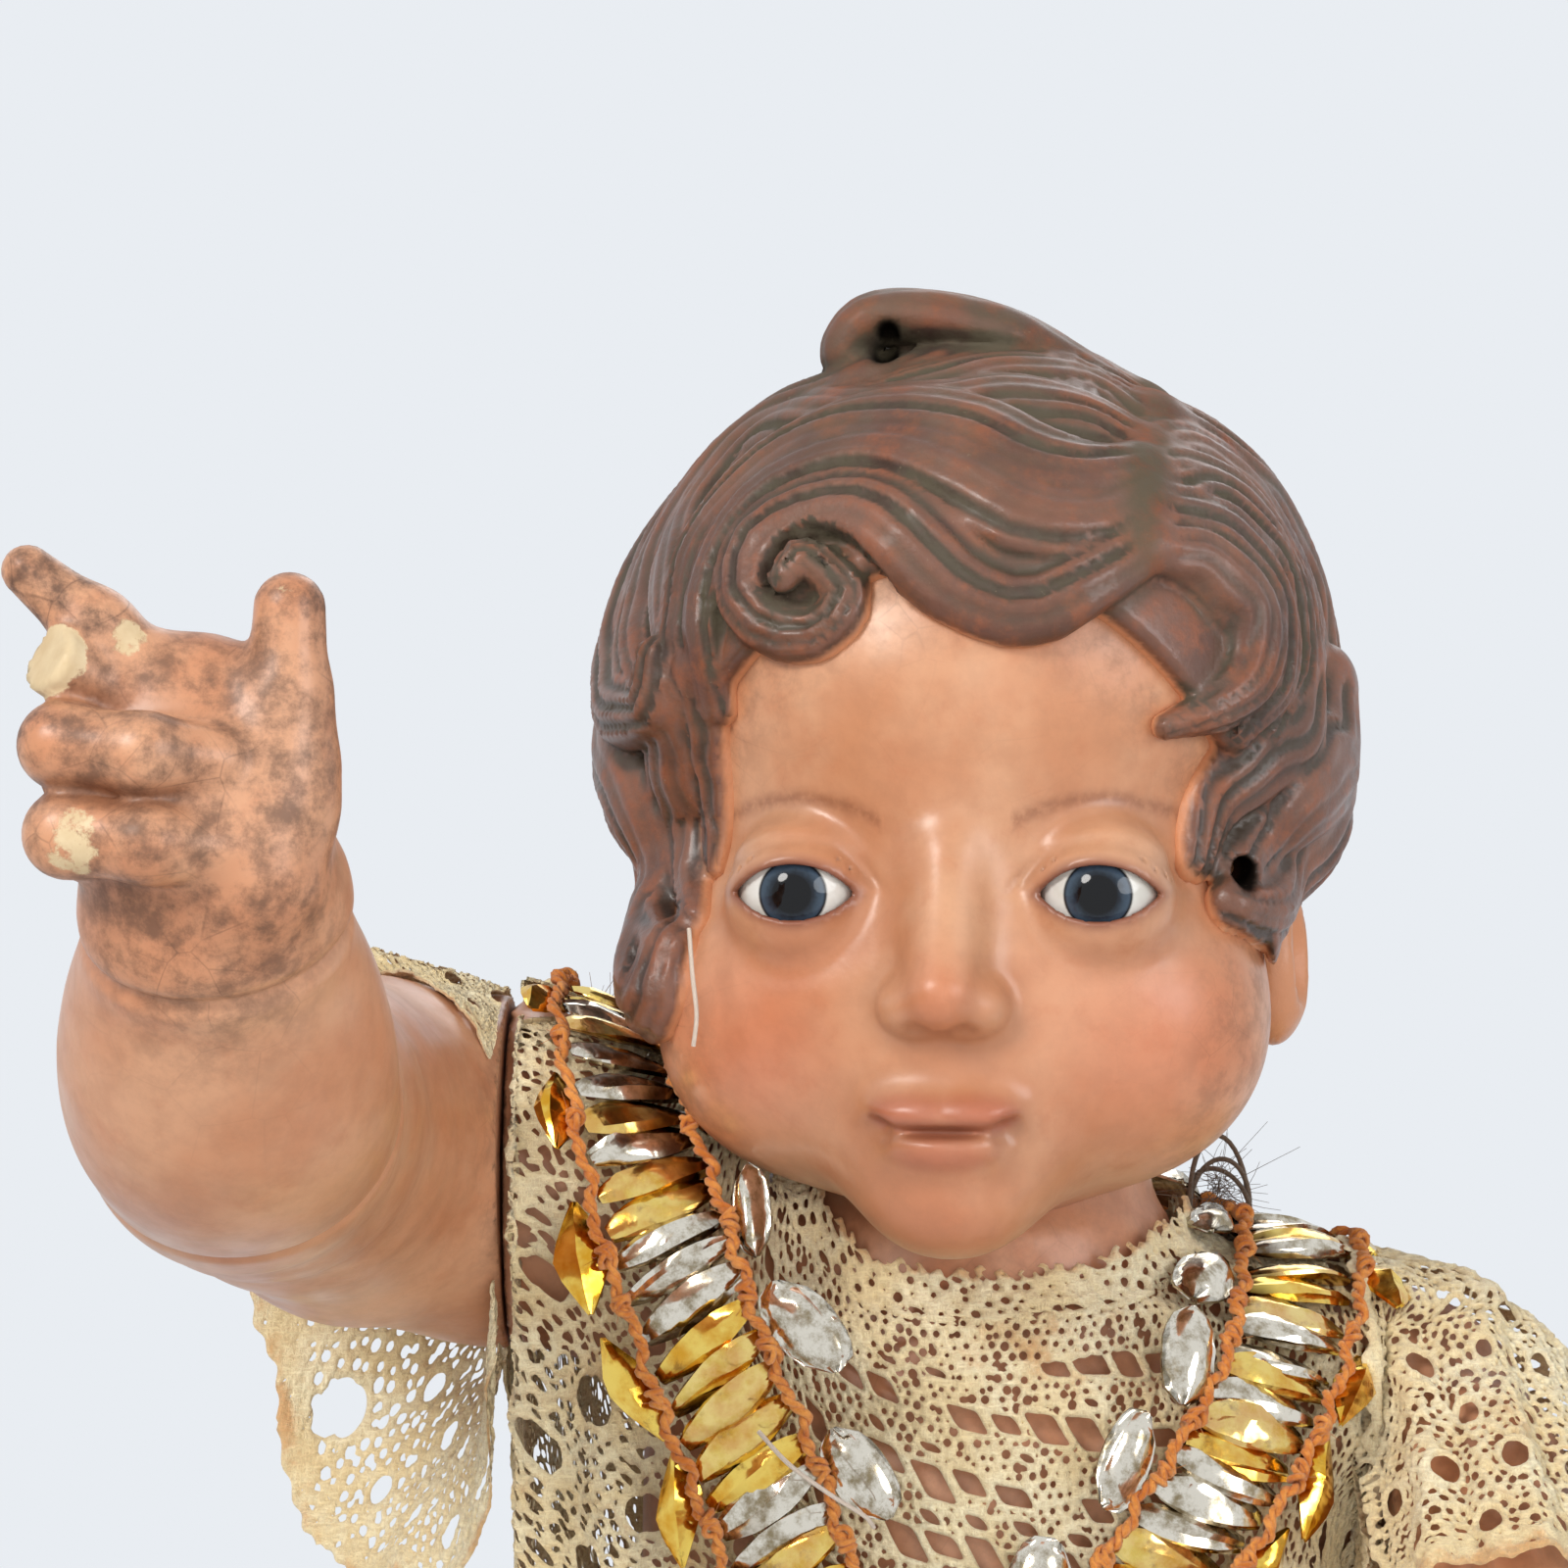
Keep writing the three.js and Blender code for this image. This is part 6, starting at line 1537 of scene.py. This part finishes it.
def left_sleeve_plan(u, s, p):
    clear = left_arm(p.reshape(-1, 3)).reshape(u.shape) - 0.5
    f = with_net(eyelets(u, s + 2, 7.3, 6.4, 2.6, 2.8, 53), pinholes(u, s, 1.3, 0.22, 0.48, 51), 0.6)
    rim = LEFT_LONG - 1 + 0.22 * np.cos(TURN * u / 2.6) + 0.3 * np.sin(u * 0.8) - s
    rim = np.minimum(rim, s - 0.4 - 0.4 * np.cos(TURN * u / 3.1))
    f = bound(f, rim, 3, pinholes(u, s, 1.8, 0.1, 0.4, 54))
    return least(f, rim, clear, p[..., 0] - 38.4)


def left_stain(s, p):
    return 0.06 + 0.3 * step01(s, LEFT_LONG - 4, LEFT_LONG - 1) + 0.12 * wobble(p, 9, 15)


def build_bodice():
    down = float(DRESS_LENGTH.max()) + 2
    for name, panel, top, low, step, nodes in (("chest", FRONT, -0.4, CHEST_CUT, 0.26, ["lace_bodice"]),
                                               ("waist", FRONT, CHEST_CUT, down, 0.45, []),
                                               ("back", BACK, -0.4, down, 0.5, [])):
        flat = panel.right - panel.left, min(low, 118) - top
        lay("lace_bodice_" + name, (panel.left, top), (panel.right, low), step, panel.plan, panel.where, dress_stain,
            "figure", nodes, flat)
    lay("lace_hanging_fold", (0, 0), HANG.size, 0.3, HANG.plan, HANG.where, dress_stain,
        "figure", [], HANG.size)
    wide = TURN * NECK_AROUND
    lay("lace_neck_band", (-wide / 2, -6), (wide / 2, 0.6), 0.3, neck_plan, on_neck, neck_stain,
        "figure", ["neck_edging"], (wide, 6), 0.5)


def build_skirt():
    reach, wide = GORE_HALF + 0.6, TURN * SKIRT_R
    for name, middle in (("front", -math.pi / 2), ("back", math.pi / 2), ("left", 0.0), ("right", math.pi)):
        at = middle * SKIRT_R
        lay("lace_gore_" + name, (at - reach, 0), (at + reach, SKIRT_LONG + 0.4), 0.62, skirt_plan(middle), on_skirt,
            dress_stain, "figure", ["lace_skirt_" + name], (2 * reach, SKIRT_LONG))
    lay("lace_hem_band", (0, -0.6), (wide, 6.2), 0.4, hem_plan, on_hem, dress_stain,
        "figure", ["hem_edging"], (wide, 6), 0.5)


def build_sleeves():
    wide = TURN * SLEEVE_ROUND
    lay("lace_right_sleeve", (0, -1), (wide, 28), 0.36, right_sleeve_plan, on_right_sleeve, right_stain,
        "right_arm", ["lace_sleeve_right"], (wide, 28), 0.35)
    wide = TURN * LEFT_ROUND
    lay("lace_left_sleeve", (0, 0), (wide, LEFT_LONG + 1), 0.28, left_sleeve_plan, on_left_sleeve, left_stain,
        "left_arm", ["lace_sleeve_left"], (wide, LEFT_LONG), 0.45)


# Garland pieces
def tube_mesh(line, radius, sides, closed=False, ref=v3(0.3, 0.2, 1.0)):
    """Rings round a line of points."""
    way = unit(np.roll(line, -1, 0) - np.roll(line, 1, 0)) if closed else unit(np.gradient(line, axis=0))
    u = unit(np.cross(way, ref))
    v = np.cross(way, u)
    ang = (np.arange(sides) / sides * TURN)[None, :, None]
    r = np.broadcast_to(np.asarray(radius, float), (len(line),))[:, None, None]
    verts = line[:, None] + (u[:, None] * np.cos(ang) + v[:, None] * np.sin(ang)) * r
    return verts.reshape(-1, 3), band(len(line), sides, closed)


class Heap:
    """Several small meshes gathered into one piece, with a value per point."""

    def __init__(self):
        self.verts, self.faces, self.values, self.count = [], [], {}, 0

    def add(self, verts, faces, **values):
        self.faces.append(np.asarray(faces) + self.count)
        self.verts.append(verts)
        self.count += len(verts)
        for key, one in values.items():
            self.values.setdefault(key, []).append(np.broadcast_to(np.asarray(one, float), (len(verts),)))

    def thread(self, line, radius, sides, dark=0.0, pale=0.0, **shape):
        self.add(*tube_mesh(line, radius, sides, **shape), dark=dark, pale=pale)

    def make(self, name, material):
        values = {k: np.concatenate(v) for k, v in self.values.items()}
        return make(name, np.concatenate(self.verts), np.concatenate(self.faces), material, values=values)


def fuzz(heap, at, reach, count, dark=0.0):
    """Loose curled fibres round a point."""
    t = np.linspace(0, 1, 6)[:, None]
    for _ in range(count):
        start = at + rng.normal(size=3) * reach * 0.25
        way = unit(rng.normal(size=3))
        bend = rng.normal(size=3) * 0.7
        line = start + way * t * reach * rng.uniform(0.6, 1.5) + bend * t * t * reach
        heap.thread(line, 0.045 * (1.2 - t[:, 0] * 0.6), 3, dark)


ROLL_ANGLES = np.radians([0, 24, 48, 74, 100, 128, 156, 180, 222, 280, 330])


def foil_roll(heap, share):
    """A crumpled roll of foil across the ribbon, pinched at both ends."""
    c, s, o = GARLAND.frame(share)
    axis = unit(s + np.cross(o, s) * rng.uniform(0.2, 0.42))
    broad = unit(np.cross(axis, o))
    silver = 1.0 if rng.random() < 0.42 else rng.uniform(0, 0.3)
    rows, sides = 9, len(ROLL_ANGLES)
    wide, high = rng.uniform(1.8, 2.5), rng.uniform(0.9, 1.4)
    lift = GARLAND_LIFT + rng.uniform(-0.4, 0.5)
    roll = rng.uniform(-0.1, 0.6)
    fold = rng.uniform(0.78, 1.14, sides)
    crease = rng.normal(size=(2, sides)) * 0.12
    verts = []
    for q in np.linspace(-1, 1, rows):
        pinch = 1 - 0.55 * abs(q) ** 2.2
        x = np.cos(ROLL_ANGLES) * wide * pinch * fold + 0.04 * rng.normal(size=sides)
        y = np.sin(ROLL_ANGLES) * high * pinch * (fold + crease[0] * q + crease[1] * q * q)
        y = y + 0.04 * rng.normal(size=sides)
        cos, sin = math.cos(roll + 0.35 * q), math.sin(roll + 0.35 * q)
        centre = c + axis * q * (ROLL_REACH + 0.9) + o * (lift - 0.7 * q * q)
        verts.append(centre + broad * (x * cos - y * sin)[:, None] + o * (x * sin + y * cos)[:, None])
    verts = np.concatenate(verts)
    # deep marks the underside of the roll, towards the cloth, for painted shade in the foil
    low = np.clip(((verts - c) @ o - lift) / -high, 0, 1)
    heap.add(verts, band(rows, sides), silver=silver, deep=low)


def leaf_faces(rows, cols, side):
    """Top, underside and rim of a leaf whose points come in two layers."""
    i, j = np.meshgrid(np.arange(rows - 1), np.arange(cols - 1), indexing="ij")
    k = i * cols + j
    top = np.stack([k, k + cols, k + cols + 1, k + 1], -1).reshape(-1, 4)
    grid = np.arange(rows * cols).reshape(rows, cols)
    ring = np.concatenate([grid[0], grid[1:, -1], grid[-1, -2::-1], grid[-2:0:-1, 0]])
    following = np.roll(ring, -1)
    rim = np.stack([ring + rows * cols, following + rows * cols, following, ring], 1)
    faces = np.concatenate([top, top[:, ::-1] + rows * cols, rim])
    return faces[:, ::-1] if side < 0 else faces


def foil_leaf(heap, share, side, long, wide, dome, silver):
    """A lozenge or oval of folded foil beside the cord, with a ridge and crumpled facets.

    It is drawn in towards the cord in steps where it would touch the face."""
    c, s, o = GARLAND.frame(share)
    t = np.cross(o, s)
    rows, cols = (9, 7) if silver else (7, 5)
    a, b = np.linspace(-1, 1, rows)[:, None], np.linspace(-1, 1, cols)[None]
    if silver:
        out, up, bulge, crumple = 0.6, 0.3, 2.2, 0.13
        half_w = np.sqrt(np.clip(1 - np.abs(a) ** 2.6, 0.02, 1))
    else:
        out, up, bulge, crumple = -0.3, -0.4, 1.4, 0.16
        half_w = np.clip(1 - np.abs(a) ** 1.5, 0.1, 1)
    middle = c + s * side * (CORD_SIDE + out + wide / 2) + o * (GARLAND_LIFT + up)
    x = a * long / 2 + 0 * b
    z = dome * (1 - np.abs(b) ** bulge) * half_w + crumple * rng.normal(size=(rows, cols))
    lean, tip = rng.uniform(-0.35, 0.35), rng.uniform(-0.3, 0.3)
    for kept in (1.0, 0.85, 0.7, 0.55):
        y = b * half_w * wide / 2 * kept
        near = middle - s * side * wide / 2 * (1 - kept)
        p = near + t * (x + lean * y)[..., None] + s * (side * y + tip * x)[..., None] + o * z[..., None]
        if skin(to_head(p.reshape(-1, 3))).min() > 0.6:
            break
    verts = np.concatenate([p.reshape(-1, 3), (p - o * 0.35).reshape(-1, 3)])
    heap.add(verts, leaf_faces(rows, cols, side), silver=float(silver), deep=0.0)


CORD_POINTS, LAY_LENGTH, KNOT_PITCH = 900, 2.6, 9.0


def knot(heap, at, along, out, radius):
    """Three loose turns of thread round a cord."""
    ring = np.linspace(0, TURN, 16, endpoint=False)[:, None]
    for m in (-1, 0, 1):
        axis = unit(along + 0.5 * rng.normal(size=3))
        u = unit(np.cross(axis, out))
        v = np.cross(axis, u)
        line = at + along * m * 0.7 + (u * np.cos(ring) + v * np.sin(ring)) * radius * 1.15
        heap.thread(line, 0.34, 5, closed=True, ref=axis)
    fuzz(heap, at, 1.2, 3)


def twisted_cord(heap, sideways, radius, lift, seed):
    """Two plies along the ribbon's edge, with a knot every few millimetres."""
    share = np.arange(CORD_POINTS) / CORD_POINTS
    turn = share * TURN
    c, s, o = GARLAND.frame(share)
    wander = 0.45 * np.sin(turn * 43 + seed) + 0.25 * np.sin(turn * 97 + 2 * seed)
    off = radius * 0.52
    for ply in range(2):
        ang = turn * round(GARLAND.length / LAY_LENGTH) + ply * math.pi
        line = c + s * (sideways + wander + off * np.cos(ang))[:, None] + o * (lift + off * np.sin(ang))[:, None]
        r = radius * 0.6 * (1 + 0.2 * np.sin(turn * 131 + ply))
        heap.thread(line, r, 6, closed=True, ref=v3(0.31, 0.87, 0.4))
    knots = int(GARLAND.length / KNOT_PITCH)
    for k in range(knots):
        c, s, o = GARLAND.frame((k + 0.5 + 0.3 * rng.uniform(-1, 1)) / knots)
        at = c + s * (sideways + rng.uniform(-0.3, 0.3)) + o * (lift + 0.2)
        knot(heap, at, np.cross(o, s), o, radius)


def build_foil():
    rolls, gold, silver = Heap(), Heap(), Heap()
    count = int(GARLAND.length / 3.5)
    for i in range(count):
        foil_roll(rolls, (i + rng.uniform(-0.16, 0.16)) / count)
    count = int(GARLAND.length / 12.5)
    for i in range(count):
        foil_leaf(gold, (i + 0.5) / count, 1, rng.uniform(11.5, 13.5), rng.uniform(5.0, 6.2), 1.9, False)
    count = int(GARLAND.length * 0.78 / 11.5)
    for i in range(count):
        foil_leaf(silver, (i + 0.5) / count, -1, rng.uniform(8.5, 11), rng.uniform(5.4, 7.2), 2.0, True)
    rolled, lozenges = rolls.make("foil_rolls", FOIL), gold.make("gold_leaves", FOIL)
    sharpen(rolled, 34)
    sharpen(lozenges, 26)
    put(rolled, "figure", "gold_foil", "garland_foil_rolls")
    put(lozenges, "figure", "gold_foil", "garland_gold_leaves")
    put(silver.make("silver_leaves", FOIL), "figure", "silver_foil", "garland_silver_leaves")


TIE_SHARE, TUFT_SHARE = 0.855, 0.17
STRAYS = [[(-30.4, -34, 407.5), (-30, -36, 403), (-29.6, -36.6, 399), (-29.9, -36.4, 396)],
          [(-23.5, -38.5, 358.5), (-20.5, -40, 355.5), (-16.5, -40.2, 352.6), (-13.2, -39.4, 350.4), (-12.2, -38, 349)]]


def build_cords():
    """Both cords, with the dark tie and its loops, tufts and two pale stray threads."""
    outer, inner = Heap(), Heap()
    twisted_cord(outer, CORD_SIDE, CORD_R * 0.74, GARLAND_LIFT + 1.0, 1)
    twisted_cord(inner, -CORD_SIDE, CORD_R * 0.74, GARLAND_LIFT + 1.0, 2)
    tie = GARLAND.point(TIE_SHARE, -CORD_SIDE - 1.0, 3.2)
    t = np.linspace(0, math.pi, 18)[:, None]
    for k, (lean, tall) in enumerate(((0.0, 7.5), (0.5, 5.0), (-0.6, 4.0))):
        arch = tie + v3(-3.2, 0.5 * k, 0) * np.cos(t) + (v3(0, 0.4, 1) * tall + v3(lean, 0, 0)) * np.sin(t)
        inner.thread(arch, 0.3, 6, dark=1.0)
    fuzz(inner, tie + v3(0, 0, 2.0), 3.6, 70, dark=1.0)
    fuzz(outer, GARLAND.point(TUFT_SHARE, CORD_SIDE, 3.4), 3.4, 60, dark=0.8)
    for points in STRAYS:
        inner.thread(spline(points, 24), 0.24, 5, pale=1.0)
    put(outer.make("cord_outer", THREAD), "figure", "orange_thread", "garland_cord_outer")
    put(inner.make("cord_inner", THREAD), "figure", "orange_thread", "garland_cord_inner")


# Base, turned in one piece, and the hidden pieces
BASE_PROFILE = [(0.01, 0), (58.5, 0), (60, 1.2), (60, 5), (59.6, 7.4), (58, 9), (55, 10), (51.5, 11), (48.6, 13),
                (47.3, 16), (47.1, 18.6), (48, 19), (51.4, 19), (52, 19.6), (52, 25), (51.6, 26.6), (50.4, 27.7),
                (49.4, 28), (44, 28), (43.4, 27.6), (42.8, 28), (0.01, 28)]
WOODEN = "foot_dowel_right", "foot_dowel_left", "neck_dowel", "right_shoulder_peg", "left_shoulder_peg"
WAXEN = "eye_wax_right", "eye_wax_left"


def build_base():
    sides = 160
    r, z = np.array(BASE_PROFILE, float).T[:, :, None]
    t = np.arange(sides) / sides * TURN
    verts = np.stack([r * np.cos(t), r * np.sin(t), z + 0 * t], -1).reshape(-1, 3)
    base = make("turned_base", verts, band(len(r), sides), BASE_WOOD)
    sharpen(base, 35)
    put(base, "figure", "base_wood", "base_plinth")


def paint_hidden():
    for names, material in ((WOODEN, BARE_WOOD), (WAXEN, WAX)):
        for name in names:
            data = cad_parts[name].data
            data.materials.clear()
            data.materials.append(material)


# Stage, light and camera
BACKDROP = (*rgb(233, 237, 242), 1)
FLOOR_REACH = 2500.0


def seen_straight(tree):
    """1 for what the camera sees, also in a mirror or through glass, and 0 for what only lights other things."""
    ray = tree.nodes.new("ShaderNodeLightPath")
    seen = ray.outputs["Is Camera Ray"]
    for kind in ("Is Glossy Ray", "Is Transmission Ray"):
        larger = tree.nodes.new("ShaderNodeMath")
        larger.operation = "MAXIMUM"
        tree.links.new(seen, larger.inputs[0])
        tree.links.new(ray.outputs[kind], larger.inputs[1])
        seen = larger.outputs[0]
    return seen


def build_floor():
    """A floor that takes shadows near the figure and fades into the backdrop."""
    s = Shader("studio_floor")
    s.set(Base_Color=rgb(214, 214, 214), Roughness=0.95, Specular_IOR_Level=0.1)
    far = s.new("ShaderNodeVectorMath")
    far.operation = "LENGTH"
    s.join(s.place.outputs[0], far.inputs[0])
    pale = s.new("ShaderNodeEmission")
    pale.inputs[0].default_value = BACKDROP
    both = s.new("ShaderNodeMixShader")
    s.join(s.times(seen_straight(s.tree), s.ramp(far.outputs["Value"], 120, 520, 0.35, 1.0)), both.inputs[0])
    s.join(s.bsdf.outputs[0], both.inputs[1])
    s.join(pale.outputs[0], both.inputs[2])
    s.join(both.outputs[0], s.out.inputs[0])
    verts = np.array([[-1, -1, 0], [1, -1, 0], [1, 1, 0], [-1, 1, 0]]) * FLOOR_REACH
    make("floor", verts, [[0, 1, 2, 3]], s.material, smooth=False)


def build_world():
    world = bpy.data.worlds.new("studio")
    bpy.context.scene.world = world
    world.use_nodes = True
    tree = world.node_tree
    tree.nodes.clear()
    both, out = tree.nodes.new("ShaderNodeMixShader"), tree.nodes.new("ShaderNodeOutputWorld")
    tree.links.new(seen_straight(tree), both.inputs[0])
    for socket, colour, strength in ((1, (1.0, 1.0, 1.0, 1), 0.35), (2, BACKDROP, 1.0)):
        sky = tree.nodes.new("ShaderNodeBackground")
        sky.inputs[0].default_value, sky.inputs[1].default_value = colour, strength
        tree.links.new(sky.outputs[0], both.inputs[socket])
    tree.links.new(both.outputs[0], out.inputs[0])


def lamp(name, at, target_z, size, power, colour, mirrored=True):
    data = bpy.data.lights.new(name, "AREA")
    data.shape, data.size, data.energy, data.color = "DISK", size, power, colour
    obj = bpy.data.objects.new(name, data)
    obj.location = at
    obj.rotation_euler = (Vector((0, 0, target_z)) - Vector(at)).to_track_quat("-Z", "Y").to_euler()
    obj.visible_glossy = mirrored
    bpy.context.scene.collection.objects.link(obj)


def build_lights():
    lamp("key", (-0.75, -0.95, 1.15), 0.38, 0.5, 11.0, (1.0, 0.97, 0.93))
    lamp("front", (0.1, -1.35, 0.5), 0.36, 0.8, 5.5, (1.0, 0.98, 0.95), mirrored=False)
    lamp("fill", (0.95, -0.8, 0.75), 0.36, 0.7, 5.5, (0.95, 0.97, 1.0))
    lamp("rim", (0.3, 1.0, 1.2), 0.38, 0.8, 3.0, (1.0, 1.0, 1.0))


def build_camera():
    data = bpy.data.cameras.new("camera")
    data.sensor_width, data.lens = 36.0, 91.9
    data.clip_start, data.clip_end = 0.01, 20
    camera = bpy.data.objects.new("camera", data)
    camera.location = (-0.021, -0.430, 0.4218)
    camera.rotation_euler = (math.radians(90), 0, 0)
    bpy.context.scene.collection.objects.link(camera)
    bpy.context.scene.camera = camera
    bpy.context.scene.view_settings.view_transform = "Standard"


for build in (build_face, build_hair, build_eyes, build_torso, build_right_arm, build_left_arm, build_bodice,
              build_skirt, build_sleeves, build_foil, build_cords, build_base, paint_hidden,
              build_floor, build_world, build_lights, build_camera):
    build()
